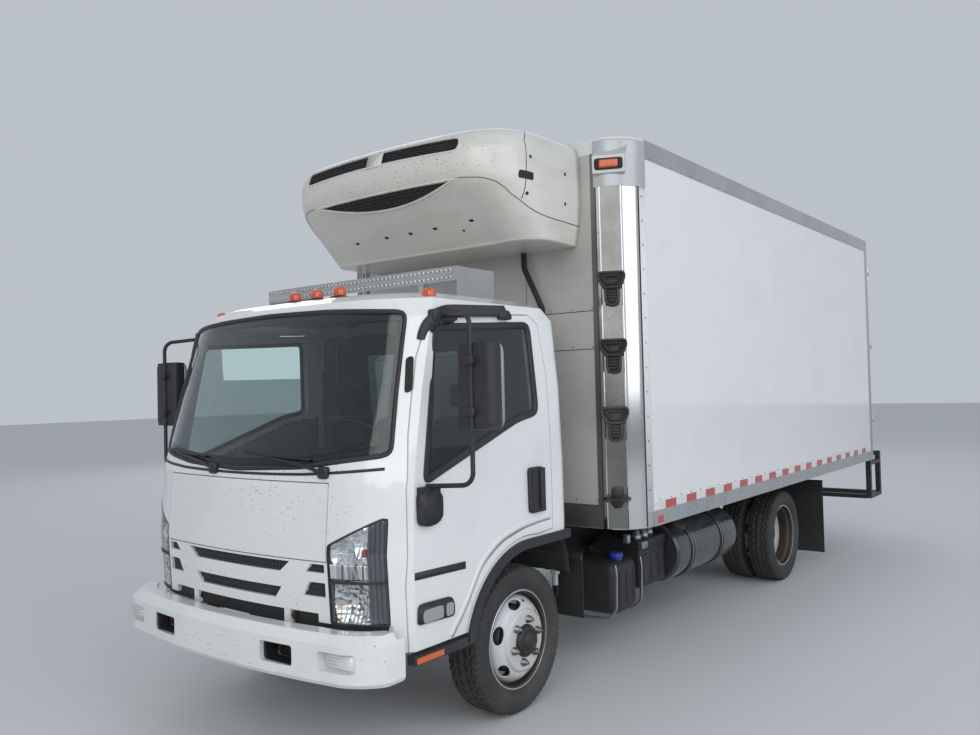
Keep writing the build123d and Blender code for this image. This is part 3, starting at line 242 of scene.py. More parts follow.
def layered(name, colour, stain, roughness, metallic=0.0, coat=0.0, grain=60.0, relief=0.0006, dust=0.0,
            stretch=(1, 1, 1), specks=None):
    """A finish with slow stains, a fine grain in gloss and relief, and road dust that thickens downwards."""
    material, tree, shader, place = shader_kit(name)
    slow = ramp(tree, noise(tree, place, 2.2, 5.0, stretch), 0.42, 0.68)
    tone = mix_colour(tree, slow, colour, stain)
    if dust:
        height = axis_value(tree, place, "Z")
        low = ramp(tree, height, 0.15, 1.3, dust, 0.0)
        patches = ramp(tree, noise(tree, place, 7.0, 6.0), 0.35, 0.75, 0.3, 1.0)
        tone = mix_colour(tree, product(tree, low, patches), tone, (0.30, 0.27, 0.23))
    if specks:
        dots = ramp(tree, cells(tree, place, 40)["Distance"], 0.09, 0.15, 1.0, 0.0)
        ahead = ramp(tree, axis_value(tree, place, "Y"), *specks, 1.0, 0.0)
        where = ramp(tree, noise(tree, place, 2.6, 3.0), 0.45, 0.62)
        tone = mix_colour(tree, product(tree, product(tree, dots, ahead), where), tone, (0.035, 0.030, 0.025))
    tree.links.new(tone, shader.inputs["Base Color"])
    fine = noise(tree, place, grain, 3.0, stretch)
    tree.links.new(
        ramp(tree, fine, 0.3, 0.7, roughness * 0.8, min(1.0, roughness * 1.25)), shader.inputs["Roughness"]
    )
    shader.inputs["Metallic"].default_value = metallic
    shader.inputs["Coat Weight"].default_value = coat
    shader.inputs["Coat Roughness"].default_value = 0.04
    bump(tree, shader, fine, 0.25, relief)
    return material


cab_white = layered(
    "cab_white", (0.80, 0.805, 0.80), (0.76, 0.765, 0.76), 0.28, coat=1.0, grain=900, relief=0.00004,
    dust=0.12, specks=(-3.74, -3.69)
)
panel_white = layered(
    "panel_white", (0.80, 0.81, 0.81), (0.77, 0.78, 0.785), 0.07, coat=1.0, grain=500, relief=0.00002
)
roof_white = layered("roof_white", (0.70, 0.71, 0.71), (0.62, 0.62, 0.61), 0.48, grain=240, relief=0.0001)
wall_white = layered(
    "wall_white", (0.50, 0.49, 0.465), (0.43, 0.42, 0.395), 0.38, coat=0.3, grain=200, relief=0.0001
)
polished_steel = layered(
    "polished_steel", (0.62, 0.62, 0.62), (0.56, 0.56, 0.55), 0.12, metallic=1.0, grain=160, relief=0.00006
)
satin_aluminium = layered(
    "satin_aluminium", (0.58, 0.58, 0.58), (0.50, 0.50, 0.50), 0.32, metallic=1.0, grain=300, relief=0.00008
)
chassis_black = layered(
    "chassis_black", (0.018, 0.018, 0.020), (0.035, 0.033, 0.031), 0.45, grain=220, relief=0.0002, dust=0.08
)
axle_black = layered(
    "axle_black", (0.030, 0.028, 0.027), (0.06, 0.045, 0.035), 0.6, grain=160, relief=0.0005, dust=0.10
)
wheel_white = layered(
    "wheel_white", (0.66, 0.67, 0.68), (0.52, 0.51, 0.49), 0.33, coat=0.4, grain=300, relief=0.0001,
    dust=0.20
)
black_plastic = layered(
    "black_plastic", (0.022, 0.022, 0.024), (0.032, 0.032, 0.034), 0.5, grain=1400, relief=0.0002
)
interior_grey = layered(
    "interior_grey", (0.10, 0.10, 0.105), (0.13, 0.13, 0.13), 0.7, grain=1200, relief=0.0003
)
seat_cloth = layered("seat_cloth", (0.09, 0.095, 0.105), (0.12, 0.12, 0.13), 0.9, grain=900, relief=0.0006)
unit_white = layered(
    "unit_white", (0.72, 0.70, 0.65), (0.66, 0.63, 0.57), 0.34, coat=0.5, grain=500, relief=0.0001
)
rubber_black = layered(
    "rubber_black", (0.018, 0.018, 0.018), (0.03, 0.03, 0.03), 0.75, grain=400, relief=0.0003, dust=0.06
)
tyre_black = layered(
    "tyre_black", (0.022, 0.022, 0.023), (0.040, 0.038, 0.036), 0.62, grain=350, relief=0.0003, dust=0.08
)
amber_lens = layered(
    "amber_lens", (0.66, 0.11, 0.012), (0.56, 0.085, 0.010), 0.18, coat=1.0, grain=300, relief=0.0002
)


def clear_material(name, tint, roughness):
    """Clear or tinted glass."""
    material, tree, shader, place = shader_kit(name)
    shader.inputs["Base Color"].default_value = (*tint, 1)
    shader.inputs["Transmission Weight"].default_value = 1.0
    shader.inputs["IOR"].default_value = 1.45
    tree.links.new(
        ramp(tree, noise(tree, place, 5.0), 0.4, 0.8, roughness, roughness + 0.004),
        shader.inputs["Roughness"]
    )
    return material


cab_glass = clear_material("cab_glass", (0.56, 0.64, 0.64), 0.0)
lamp_glass = clear_material("lamp_glass", (0.92, 0.94, 0.95), 0.01)

node_finishes = {
    cab_white: ("cab_shell", "front_lid", "door_left", "door_right", "front_bumper"),
    panel_white: ("box_sides", "cargo_door_left", "cargo_door_right"), roof_white: ("box_roof",),
    wall_white: ("box_front_wall",), polished_steel: ("corner_posts",),
    satin_aluminium: ("rear_frame", "box_rails", "roof_guard", "box_floor"),
    chassis_black: ("frame_rails", "springs", "fuel_tank", "side_boxes", "rear_step"),
    axle_black: ("front_axle", "rear_axle", "powertrain", "knuckle_left", "knuckle_right", "tie_rod"),
    wheel_white: ("wheel_front_left", "wheel_front_right", "wheel_rear_left", "wheel_rear_right"),
    black_plastic: (
        "cab_trim", "mirror_left", "mirror_right", "steering_wheel", "folding_steps", "reefer_grilles"
    ), interior_grey: ("dashboard",), seat_cloth: ("seats",),
    unit_white: ("reefer_housing", "reefer_belly"), rubber_black: ("mudflaps", "reefer_hose"),
    tyre_black: ("tyre_front_left", "tyre_front_right", "tyre_rear_left", "tyre_rear_right"),
    amber_lens: ("roof_lamps", "box_lamps"),
    cab_glass: ("cab_glass", "door_glass_left", "door_glass_right"), lamp_glass: ("headlamps",),
}
for material, nodes in node_finishes.items():
    for node in nodes:
        dress(node, material)

# Tyres.
# Steel-belted truck tyres of moulded black rubber, seated by their beads on the rims. The crown has
# zigzag grooves between ribs, the shoulders have short slots, and the sidewalls have moulded rings.
tyre_places = {
    "front_left": ((0.832, 1),), "front_right": ((-0.832, -1),),
    "rear_left": ((0.698, 1), (0.952, 1)), "rear_right": ((-0.698, -1), (-0.952, -1)),
}
axle_height = 0.392
axle_places = {"front": 0.0, "rear": 3.810}


def grid_faces(rows, columns, close_rows=False, close_columns=False):
    """Quads of a grid of points, joined end to end where a direction is closed."""
    row = np.arange(rows if close_rows else rows - 1)
    column = np.arange(columns if close_columns else columns - 1)
    r, c = np.meshgrid(row, column, indexing="ij")
    next_r = (r + 1) % rows
    next_c = (c + 1) % columns
    return np.stack(
        [r * columns + c, next_r * columns + c, next_r * columns + next_c, r * columns + next_c], -1
    ).reshape(-1, 4)


def make_piece(name, points, faces, material, body, slot=None, replaces=(), smooth=True):
    """A mesh object from points, whose distance along the truck counts from the front axle, and faces. It
    rides a body and takes the place of the solids that it replaces. The slot is not used."""
    points = np.asarray(points, dtype=float).reshape(-1, 3) + np.array([0, front_axle_y, 0])
    mesh = bpy.data.meshes.new(name)
    mesh.from_pydata(points.tolist(), [], [list(map(int, face)) for face in faces])
    mesh.polygons.foreach_set("use_smooth", np.full(len(mesh.polygons), smooth))
    mesh.materials.append(material)
    mesh.update()
    obj = bpy.data.objects.new(name, mesh)
    bpy.context.scene.collection.objects.link(obj)
    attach(obj, body)
    if replaces:
        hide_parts(*replaces)
    return obj


def joined(parts):
    """Points and faces of several meshes put into one."""
    all_points = []
    all_faces = []
    start = 0
    for points, faces in parts:
        points = np.asarray(points, dtype=float).reshape(-1, 3)
        all_points.append(points)
        all_faces.extend([[int(index) + start for index in face] for face in faces])
        start += len(points)
    return np.concatenate(all_points), all_faces


def tyre_grid(middle_x, axle_y, around=320):
    """A torus whose section is the tyre's and whose crown sinks into grooves that wander with the angle."""
    half_steps = np.array([
        0.0, 8, 17, 19, 28, 30, 44, 53, 55, 65, 67, 76, 84, 92, 97.5, 101, 106, 110, 112, 111, 108, 104, 96,
        89, 84, 79.5
    ]) / 1000
    radii = np.array([
        392, 391.8, 391.2, 391, 390.6, 390.5, 389.6, 389, 388.9, 388, 387.8, 386.8, 384.5, 380, 371, 360,
        345, 334, 320, 312, 300, 288, 276, 268, 262, 258
    ]) / 1000
    across = np.concatenate([-half_steps[::-1], half_steps[1:], [0.079, 0.0, -0.079]])
    radius = np.concatenate([radii[::-1], radii[1:], [0.252, 0.2515, 0.252]])
    theta = np.linspace(0, 2 * np.pi, around, endpoint=False)
    angle, x = np.meshgrid(theta, across, indexing="ij")
    r = np.repeat(radius[None, :], around, axis=0)
    zigzag = 0.0022 * (2 * np.abs((angle * 40 / (2 * np.pi)) % 1 - 0.5) * 2 - 1)
    crown = r > 0.384
    for groove in (0.0235, 0.0600):
        centre = np.abs(x) - groove - zigzag
        r = r - np.where(crown & (np.abs(centre) < 0.0058), 0.011, 0)
    slots = ((angle * 64 / (2 * np.pi)) % 1 < 0.22) & (np.abs(x) > 0.070) & (r > 0.366)
    r = r - np.where(slots, 0.006, 0)
    rings = 0.0012 * (np.cos((r - 0.262) * 2 * np.pi / 0.016) > 0.5) * (
        (r > 0.285) & (r < 0.345) & (np.abs(x) > 0.09)
    )
    x = x + np.sign(x) * rings
    return np.stack([middle_x + x, axle_y + r * np.sin(angle), axle_height + r * np.cos(angle)], -1)


for corner, places in tyre_places.items():
    end = corner.split("_")[0]
    parts = []
    for middle_x, face in places:
        grid = tyre_grid(middle_x, axle_places[end])
        faces = grid_faces(*grid.shape[:2], True, True)
        parts.append((grid, faces[:, ::-1]))
    points, faces = joined(parts)
    make_piece(
        f"tread_{corner}", points, faces, tyre_black, f"wheel_{corner}", "tyre", (f"tyre_{corner}",),
        smooth=False
    )

# Wheel nuts.
# Six plated steel nuts clamp each disc to its hub on a 222.25 mm circle. Each is a hexagon on a round
# seat, with the end of its stud standing through it.
nut_circle = 0.222250 / 2
nut_across = 0.0165
# The nuts' steel is darker than plated steel as painted shade, with brownish stains.
nut_steel = layered(
    "nut_steel", (0.26, 0.26, 0.26), (0.12, 0.11, 0.10), 0.34, metallic=0.95, grain=260, relief=0.0002
)


def lathe(profile, around, sides_of=None):
    """Points of a profile of (distance, radius) turned about the x axis, and its quads."""
    theta = np.linspace(0, 2 * np.pi, around, endpoint=False)
    distance = np.array([p[0] for p in profile])[None, :]
    radius = np.array([p[1] for p in profile])[None, :]
    if sides_of is not None:
        radius = np.where(
            sides_of[None, :], radius / np.cos((theta[:, None] + np.pi / 6) % (np.pi / 3) - np.pi / 6),
            radius
        )
    points = np.stack([
        np.broadcast_to(distance, radius.shape if radius.shape[0] > 1 else (around, distance.shape[1])),
        radius * np.sin(theta)[:, None],
        radius * np.cos(theta)[:, None],
    ], -1)
    return points, grid_faces(around, len(profile), True, False)


nut_profile = (
    (0, 0.021), (0.004, 0.021), (0.005, nut_across), (0.021, nut_across), (0.024, 0.0145), (0.024, 0.0105),
    (0.036, 0.0100), (0.038, 0.008), (0.038, 0.0)
)
nut_hexagon = np.array([False, False, True, True, False, False, False, False, False])
for corner, face_x in (
    ("front_left", 0.959), ("front_right", -0.959), ("rear_left", 0.835), ("rear_right", -0.835)
):
    side = 1 if face_x > 0 else -1
    axle_y = axle_places[corner.split("_")[0]]
    base, base_faces = lathe(nut_profile, 24, nut_hexagon)
    parts = []
    for step in range(6):
        angle = math.radians(60 * step + 14)
        points = base.copy()
        points[..., 0] = face_x + side * (points[..., 0] - 0.001)
        points[..., 1] += axle_y + nut_circle * math.sin(angle)
        points[..., 2] += axle_height + nut_circle * math.cos(angle)
        parts.append((points, base_faces if side > 0 else base_faces[:, ::-1]))
    points, faces = joined(parts)
    make_piece(f"nuts_{corner}", points, faces, nut_steel, f"wheel_{corner}", "wheel_white")

# Windshield seal and black border.
# A moulded rubber seal runs round the bonded windshield, and a black enamel band is fired on the
# inside of the glass beside it.

# The pressed cab is level outlines of arcs joined upwards by straight lines, as its solid is, so
# that seals, wipers and lamps can be laid on it. Columns: height, nose y, shoulder x and y, cheek x
# and y, side x, and the y where the flat side starts.
cab_levels = np.array((
    (0.560, -1.120, 0.620, -1.080, 0.900, -0.965, 0.985, -0.880),
    (1.000, -1.147, 0.620, -1.105, 0.905, -0.985, 0.990, -0.890),
    (1.340, -1.122, 0.620, -1.078, 0.895, -0.962, 0.985, -0.870),
    (1.740, -1.014, 0.600, -0.975, 0.872, -0.864, 0.970, -0.790),
    (2.120, -0.905, 0.580, -0.868, 0.845, -0.757, 0.948, -0.680),
    (2.190, -0.855, 0.560, -0.820, 0.810, -0.715, 0.915, -0.630),
    (2.232, -0.740, 0.520, -0.710, 0.715, -0.600, 0.810, -0.500),
    (2.258, -0.540, 0.400, -0.520, 0.520, -0.400, 0.590, -0.250),
))


def circle_through(first, middle, last):
    """Centre and radius of the circle through three points, from the meeting of two bisectors."""
    ax, ay = first
    bx, by = middle
    cx, cy = last
    d = 2 * (ax * (by - cy) + bx * (cy - ay) + cx * (ay - by))
    ux = ((ax**2 + ay**2) * (by - cy) + (bx**2 + by**2) * (cy - ay) + (cx**2 + cy**2) * (ay - by)) / d
    uy = ((ax**2 + ay**2) * (cx - bx) + (bx**2 + by**2) * (ax - cx) + (cx**2 + cy**2) * (bx - ax)) / d
    return ux, uy, np.hypot(ax - ux, ay - uy)


def over_rows(rows, heights, z):
    """Values given for every level, mixed between the two levels beside each height."""
    place = np.interp(z, heights, np.arange(len(heights)))
    low = np.clip(np.floor(place).astype(int), 0, len(heights) - 2)
    share = place - low
    lower = np.take_along_axis(rows, low[None, ...], 0)[0]
    upper = np.take_along_axis(rows, low[None, ...] + 1, 0)[0]
    return lower * (1 - share) + upper * share


def skin_front(x, z):
    """The y of the cab's front at points across and up: the forward side of each level's arcs, mixed by
    height."""
    x = np.abs(np.asarray(x, dtype=float))
    z = np.asarray(z, dtype=float)
    rows = []
    for height, nose_y, shoulder_x, shoulder_y, cheek_x, cheek_y, side_x, side_y in cab_levels:
        ux, uy, radius = circle_through((-shoulder_x, shoulder_y), (0, nose_y), (shoulder_x, shoulder_y))
        middle = uy - np.sqrt(np.maximum(radius**2 - (x - ux)**2, 0))
        ux, uy, radius = circle_through((shoulder_x, shoulder_y), (cheek_x, cheek_y), (side_x, side_y))
        cheek = uy - np.sqrt(np.maximum(radius**2 - (np.minimum(x, side_x) - ux)**2, 0))
        rows.append(np.where(x < shoulder_x, middle, cheek))
    return over_rows(np.stack(rows), cab_levels[:, 0], z)


def rounded_path(corners, reach, count=240, closed=True):
    """A path through corners, evenly stepped, whose corners are eased by a running mean of the given
    reach."""
    corners = np.asarray(corners, dtype=float)
    if closed:
        corners = np.vstack([corners, corners[:1]])
    run = np.concatenate([[0], np.cumsum(np.linalg.norm(np.diff(corners, axis=0), axis=1))])
    steps = np.linspace(0, run[-1], count, endpoint=not closed)
    path = np.stack([np.interp(steps, run, corners[:, axis]) for axis in range(corners.shape[1])], -1)
    window = max(3, int(reach / (run[-1] / count)) | 1)
    half = window // 2
    for _ in range(2):
        padded = np.vstack([path[-half:], path, path[:half]]) if closed else np.vstack(
            [np.repeat(path[:1], half, 0), path, np.repeat(path[-1:], half, 0)])
        kernel = np.ones(window) / window
        path = np.stack([np.convolve(padded[:, axis], kernel, "valid") for axis in range(path.shape[1])], -1)
    return path


def carried(path, outward, profile, closed=False):
    """A profile of (sideways, outwards) offsets carried along a path: sideways is the path's direction
    crossed with outwards."""
    path = np.asarray(path, dtype=float)
    outward = np.broadcast_to(np.asarray(outward, dtype=float), path.shape)
    if closed:
        direction = np.roll(path, -1, 0) - np.roll(path, 1, 0)
    else:
        direction = np.gradient(path, axis=0)
    direction /= np.linalg.norm(direction, axis=1, keepdims=True)
    sideways = np.cross(direction, outward)
    sideways /= np.linalg.norm(sideways, axis=1, keepdims=True)
    lift = np.cross(sideways, direction)
    profile = np.asarray(profile, dtype=float)
    return path[:, None] + profile[None, :, :1] * sideways[:, None] + profile[None, :, 1:] * lift[:, None]


def end_faces(rows, columns):
    """One face over the first ring and one over the last ring of a grid of closed rings."""
    return [list(range(columns)), list(range((rows - 1) * columns, rows * columns))[::-1]]


def turned_out(part):
    """A closed part whose faces point outwards: all are turned round where the volume they enclose is
    negative."""
    points, faces = part
    points = np.asarray(points, dtype=float).reshape(-1, 3)
    first = np.array([face[0] for face in faces for _ in range(len(face) - 2)])
    second = np.array([face[k + 1] for face in faces for k in range(len(face) - 2)])
    third = np.array([face[k + 2] for face in faces for k in range(len(face) - 2)])
    volume = np.einsum("ij,ij->i", points[first], np.cross(points[second], points[third])).sum()
    return points, [list(face)[::-1] for face in faces] if volume < 0 else [list(face) for face in faces]


def capped(grid):
    """Points and faces of a grid of closed rings, from end to end, with both ends closed."""
    rows, columns = grid.shape[:2]
    return turned_out((grid, grid_faces(rows, columns, False, True).tolist() + end_faces(rows, columns)))


def carried_part(path, outward, profile, closed=False):
    """Points and faces of a profile carried along a path, whose ends are closed or meet each other."""
    grid = carried(path, outward, profile, closed)
    return turned_out((grid, grid_faces(*grid.shape[:2], True, True).tolist())) if closed else capped(grid)


screen_corners = (
    (-0.897, 1.450), (-0.846, 2.118), (-0.420, 2.142), (0, 2.150), (0.420, 2.142), (0.846, 2.118),
    (0.897, 1.450), (0.450, 1.391), (0, 1.372), (-0.450, 1.391)
)


def on_front(path, stand):
    """Points across and up laid on the cab's front, standing off it by a distance."""
    return np.stack([path[:, 0], skin_front(path[:, 0], path[:, 1]) - stand, path[:, 1]], -1)


screen_path = rounded_path(screen_corners, 0.075)
front_outward = (0, -1, 0.12)
seal_profile = (
    (-0.012, -0.006), (-0.012, 0.003), (-0.004, 0.006), (0.006, 0.005), (0.012, 0.001), (0.012, -0.006)
)
make_piece("windshield_seal", *carried_part(on_front(screen_path, 0.0), front_outward, seal_profile, True),
           black_plastic, "cab", "black_plastic")
border_profile = ((0.004, -0.0128), (0.004, -0.0122), (0.050, -0.0122), (0.050, -0.0128))
make_piece(
    "windshield_border", *carried_part(on_front(screen_path, 0.0), front_outward, border_profile, True),
    black_plastic, "cab", "black_plastic"
)


# Headlamps.
# Each lamp is a clear polycarbonate cover with fine flutes over a plated reflector tray. A dark
# moulded rib parts the upper and lower chambers, and the outer edge is a fluted grey turn lens.
lamp_inner_x = 0.646
lamp_outer_x = 0.910
lamp_low_z = 0.682
lamp_divider_z = 0.875
forwards = (0, -1, 0)


def lamp_top(x):
    """Height of the lamp's sloping top edge."""
    return np.interp(x, (0.646, 0.890, 0.910), (1.042, 1.168, 1.164))


def lamp_grid(
    columns, rows, inset, inner_x=lamp_inner_x, outer_x=lamp_outer_x, low_z=lamp_low_z, top_share=1.0
):
    """Points over the lamp's outline on the cab's front, pushed in by an inset that may vary."""
    x = np.linspace(inner_x, outer_x, columns)
    share = np.linspace(0, 1, rows)
    x, share = np.meshgrid(x, share, indexing="ij")
    top = low_z + (lamp_top(x) - low_z) * top_share
    z = low_z + share * (top - low_z)
    y = skin_front(x, z) + inset(x, z)
    return np.stack([x, y, z], -1)


def flute_depth(x, z):
    """Vertical flutes along the outer edge and in the band above the divider."""
    band = ((z > lamp_divider_z) & (z < lamp_divider_z + 0.075)) | (x > 0.862)
    return 0.002 + np.where(band, 0.0016 * np.abs(np.sin(x * np.pi / 0.0175)), 0)


# Bowls of the reflector tray. Columns: middle x, middle z, half width, half height, depth
bowls = (
    (0.746, 0.779, 0.084, 0.092, 0.034), (0.722, 1.010, 0.066, 0.066, 0.024),
    (0.800, 1.045, 0.060, 0.060, 0.020)
)


def tray_depth(x, z):
    """Reflector tray: a level floor behind the lens that sinks into rounded square bowls, with chunky
    facets."""
    depth = np.full_like(x, 0.014)
    for middle_x, middle_z, half_x, half_z, bowl in bowls:
        distance = np.cbrt(np.abs((x - middle_x) / half_x) ** 3 + np.abs((z - middle_z) / half_z) ** 3)
        depth = np.maximum(depth, 0.014 + bowl * np.maximum(1 - distance**2, 0))
    chunk = np.abs((x / 0.020) % 1 - 0.5) + np.abs((z / 0.024) % 1 - 0.5)
    return depth + np.where(z < lamp_divider_z, 0.006, 0.0015) * chunk


def facet_chrome(name, scale, stretch, low_share):
    """Vacuum-coated reflector with painted reflections: each facet cell is painted a bright, dim or warm
    patch of reflected light, brighter and evener above 0.95 m.
    """
    material, tree, shader, place = shader_kit(name)
    mapping = tree.nodes.new("ShaderNodeMapping")
    mapping.inputs["Scale"].default_value = stretch
    tree.links.new(place, mapping.inputs["Vector"])
    patch = cells(tree, mapping.outputs["Vector"], scale)["Color"]
    dim = ramp(tree, axis_value(tree, patch, 0), low_share, low_share + 0.45)
    calm = ramp(tree, axis_value(tree, place, "Z"), 0.950, 0.975, 0.0, 0.62)
    warm = product(
        tree, ramp(tree, axis_value(tree, patch, 1), 0.70, 0.95), ramp(tree, calm, 0.0, 0.5, 1.0, 0.1)
    )
    tone = mix_colour(tree, product(tree, dim, calm, "MAXIMUM"), (0.20, 0.21, 0.23), (0.88, 0.89, 0.90))
    tree.links.new(mix_colour(tree, warm, tone, (0.80, 0.62, 0.46)), shader.inputs["Base Color"])
    shader.inputs["Metallic"].default_value = 1.0
    tree.links.new(ramp(tree, noise(tree, place, 90), 0.3, 0.7, 0.05, 0.12), shader.inputs["Roughness"])
    return material


# The tray's bright, dim and warm facet cells are painted reflections.
tray_chrome = facet_chrome("tray_chrome", 62, (1, 0.3, 1), 0.15)


def thicken(sheet, thickness, offset=-1):
    """Gives a sheet its wall, inwards from its face, or half to each side where the offset is 0."""
    wall = sheet.modifiers.new("wall", "SOLIDIFY")
    wall.thickness = thickness
    wall.offset = offset


def mirrored(part):
    """The same part on the truck's other side, with its faces turned back outwards."""
    points, faces = part
    return np.asarray(points).reshape(-1, 3) * np.array([-1, 1, 1]), [list(face)[::-1] for face in faces]


def both_sides(parts):
    """Parts on the left with their like on the right."""
    return joined(list(parts) + [mirrored(part) for part in parts])


lens_grid = lamp_grid(190, 60, flute_depth)
tray_grid = lamp_grid(130, 130, tray_depth)
rim_path = np.array(((lamp_inner_x, lamp_low_z), (lamp_inner_x, 1.042), (0.890, 1.168), (lamp_outer_x, 1.164),
                     (lamp_outer_x, lamp_low_z)))
rim_line = rounded_path(rim_path, 0.012, 200)
rim_profile = ((-0.001, 0.001), (0.006, 0.001), (0.006, -0.022), (-0.001, -0.022))
rim = carried_part(on_front(rim_line, 0.0), forwards, rim_profile, True)
rib_x = np.linspace(lamp_inner_x + 0.002, lamp_outer_x - 0.002, 40)
rib_line = on_front(np.stack([rib_x, np.full(40, lamp_divider_z)], -1), 0.0005)
rib = carried_part(rib_line, forwards, ((-0.005, 0.002), (0.005, 0.002), (0.005, -0.020), (-0.005, -0.020)))
lens_faces = grid_faces(*lens_grid.shape[:2])
tray_faces = grid_faces(*tray_grid.shape[:2])
lens = make_piece(
    "headlamp_lenses", *both_sides([(lens_grid, lens_faces)]), lamp_glass, "cab", "lamp_glass",
    ("headlamps",)
)
thicken(lens, 0.003)
make_piece(
    "headlamp_trays", *both_sides([(tray_grid, tray_faces)]), tray_chrome, "cab", "polished_steel",
    smooth=False
)
make_piece("headlamp_frames", *both_sides([rim, rib]), black_plastic, "cab", "black_plastic", smooth=False)

# Grille mesh.
# Behind the slots of the white grille stands one black moulding with upright ribs.


def stepped(across, up):
    """Two grids of evenly stepped values from (first, last, count): one changes along the rows, one along
    the columns."""
    return np.meshgrid(np.linspace(*across), np.linspace(*up), indexing="ij")


mesh_x, mesh_z = stepped((-0.628, 0.628, 420), (0.745, 0.958, 24))
mesh_y = skin_front(mesh_x, mesh_z) + 0.019 - 0.005 * (np.abs(((mesh_x / 0.024) % 1) - 0.5) < 0.18)
mesh_y = mesh_y - 0.003 * (np.abs(((mesh_z / 0.016) % 1) - 0.5) < 0.2)
make_piece(
    "grille_ribs", np.stack([mesh_x, mesh_y, mesh_z], -1), grid_faces(420, 24), black_plastic, "cab",
    "black_plastic", smooth=False
)

# Refrigeration unit.
# Two moulded glass-fibre shells in a warm white gel coat are bolted to the box's front wall: a housing
# over the fans and coil, and a belly pan below a dark seam. Black wavy mesh closes the two openings.
# Columns: height, front y, shoulder x and y, cheek x and y, side x and y, back x
unit_levels = np.array((
    (2.607, 0.330, 0.600, 0.336, 0.835, 0.372, 0.878, 0.440, 0.860),
    (2.735, 0.165, 0.600, 0.185, 0.850, 0.250, 0.898, 0.370, 0.885),
    (2.830, 0.040, 0.590, 0.070, 0.845, 0.150, 0.905, 0.290, 0.895),
    (2.930, -0.095, 0.575, -0.058, 0.825, 0.045, 0.908, 0.230, 0.900),
    (3.030, -0.140, 0.570, -0.098, 0.820, 0.020, 0.910, 0.210, 0.900),
    (3.110, -0.130, 0.565, -0.090, 0.815, 0.025, 0.906, 0.210, 0.897),
    (3.175, -0.092, 0.555, -0.054, 0.795, 0.055, 0.885, 0.220, 0.888),
    (3.222, 0.000, 0.535, 0.035, 0.755, 0.130, 0.845, 0.280, 0.860),
    (3.252, 0.110, 0.500, 0.140, 0.690, 0.220, 0.770, 0.340, 0.780),
))
wall_face_y = 0.785
grille_bow = 0.009
grille_half_height = 0.0435
grille_half_width = 0.640
crescent_half_width = 0.580
crescent_top_z = 2.930
crescent_drop = 0.080


def eased_rows(table, heights):
    """Rows between a table's rows, on a cubic whose slope at each row is the mean of the slopes beside it."""
    knots = table[:, 0]
    slopes = np.gradient(table, knots, axis=0)
    low = np.clip(np.searchsorted(knots, heights, side="right") - 1, 0, len(knots) - 2)
    span = (knots[low + 1] - knots[low])[:, None]
    t = (heights - knots[low])[:, None] / span
    start = (2 * t**3 - 3 * t**2 + 1) * table[low] + (t**3 - 2 * t**2 + t) * span * slopes[low]
    return start + (3 * t**2 - 2 * t**3) * table[low + 1] + (t**3 - t**2) * span * slopes[low + 1]


def unit_half_outline(row):
    """Half of one level's outline from the nose to the wall: an arc, a tighter arc and a straight flank,
    eased."""
    height, nose_y, shoulder_x, shoulder_y, cheek_x, cheek_y, side_x, side_y, back_x = row
    ux, uy, radius = circle_through((-shoulder_x, shoulder_y), (0, nose_y), (shoulder_x, shoulder_y))
    nose_x = np.linspace(0, shoulder_x, 112, endpoint=False)
    nose = np.stack([nose_x, uy - np.sqrt(radius**2 - nose_x**2)], -1)
    ux, uy, radius = circle_through((shoulder_x, shoulder_y), (cheek_x, cheek_y), (side_x, side_y))
    first = math.atan2(shoulder_y - uy, shoulder_x - ux)
    turn = (math.atan2(side_y - uy, side_x - ux) - first + math.pi) % (2 * math.pi) - math.pi
    angle = first + turn * np.linspace(0, 1, 44, endpoint=False)
    cheek = np.stack([ux + radius * np.cos(angle), uy + radius * np.sin(angle)], -1)
    share = np.linspace(0, 1, 30)
    flank = np.stack([side_x + share * (back_x - side_x), side_y + share * (wall_face_y - side_y)], -1)
    half = np.concatenate([nose, cheek, flank])
    whole = np.concatenate([half[:0:-1] * (-1, 1), half])
    window = 13
    for _ in range(2):
        padded = np.concatenate(
            [np.repeat(whole[:1], window // 2, 0), whole, np.repeat(whole[-1:], window // 2, 0)]
        )
        whole = np.stack(
            [np.convolve(padded[:, axis], np.ones(window) / window, "valid") for axis in (0, 1)], -1
        )
    half = whole[len(half) - 1:]
    half[-1] = (back_x, wall_face_y)
    return half


unit_heights = np.linspace(unit_levels[0, 0] + 0.010, unit_levels[-1, 0], 150)
unit_halves = np.stack([unit_half_outline(row) for row in eased_rows(unit_levels, unit_heights)])


def unit_front(x, z):
    """The y of the unit's skin at points across and up, read from the outlines of its levels."""
    x = np.abs(np.asarray(x, dtype=float))
    rows = np.stack([
        np.interp(x, np.maximum.accumulate(half[:, 0]) + np.arange(len(half)) * 1e-9, half[:, 1])
        for half in unit_halves
    ])
    return over_rows(rows, unit_heights, np.asarray(z, dtype=float))


def unit_flank(y, z):
    """Half width of the unit's skin at points along and up."""
    rows = np.stack([np.interp(y, half[:, 1], half[:, 0]) for half in unit_halves])
    return over_rows(rows, unit_heights, np.asarray(z, dtype=float))


def in_unit_opening(x, z):
    """Whether points across and up lie in the long oval opening or in the crescent below it."""
    middle_z = 3.115 + grille_bow * (1 - (x / grille_half_width) ** 2)
    past_end = np.maximum(np.abs(x) - grille_half_width + grille_half_height, 0)
    oval = np.hypot(past_end, z - middle_z) < grille_half_height
    floor_z = crescent_top_z - crescent_drop * (1 - (x / crescent_half_width) ** 2)
    return oval | ((z < crescent_top_z) & (z > floor_z) & (np.abs(x) < crescent_half_width))


# Columns: share drawn in towards the wall's middle line, height
unit_foot_rows = ((0.90, 2.607), (0.50, 2.607), (0.10, 2.607), (0.014, 2.607), (0.004, 2.6095))
unit_roof_rows = ((0.010, 3.2565), (0.04, 3.260), (0.12, 3.264), (0.30, 3.266), (0.60, 3.267), (0.90, 3.267))
unit_rows = np.concatenate([unit_halves[:, :0:-1] * (-1, 1), unit_halves], axis=1)


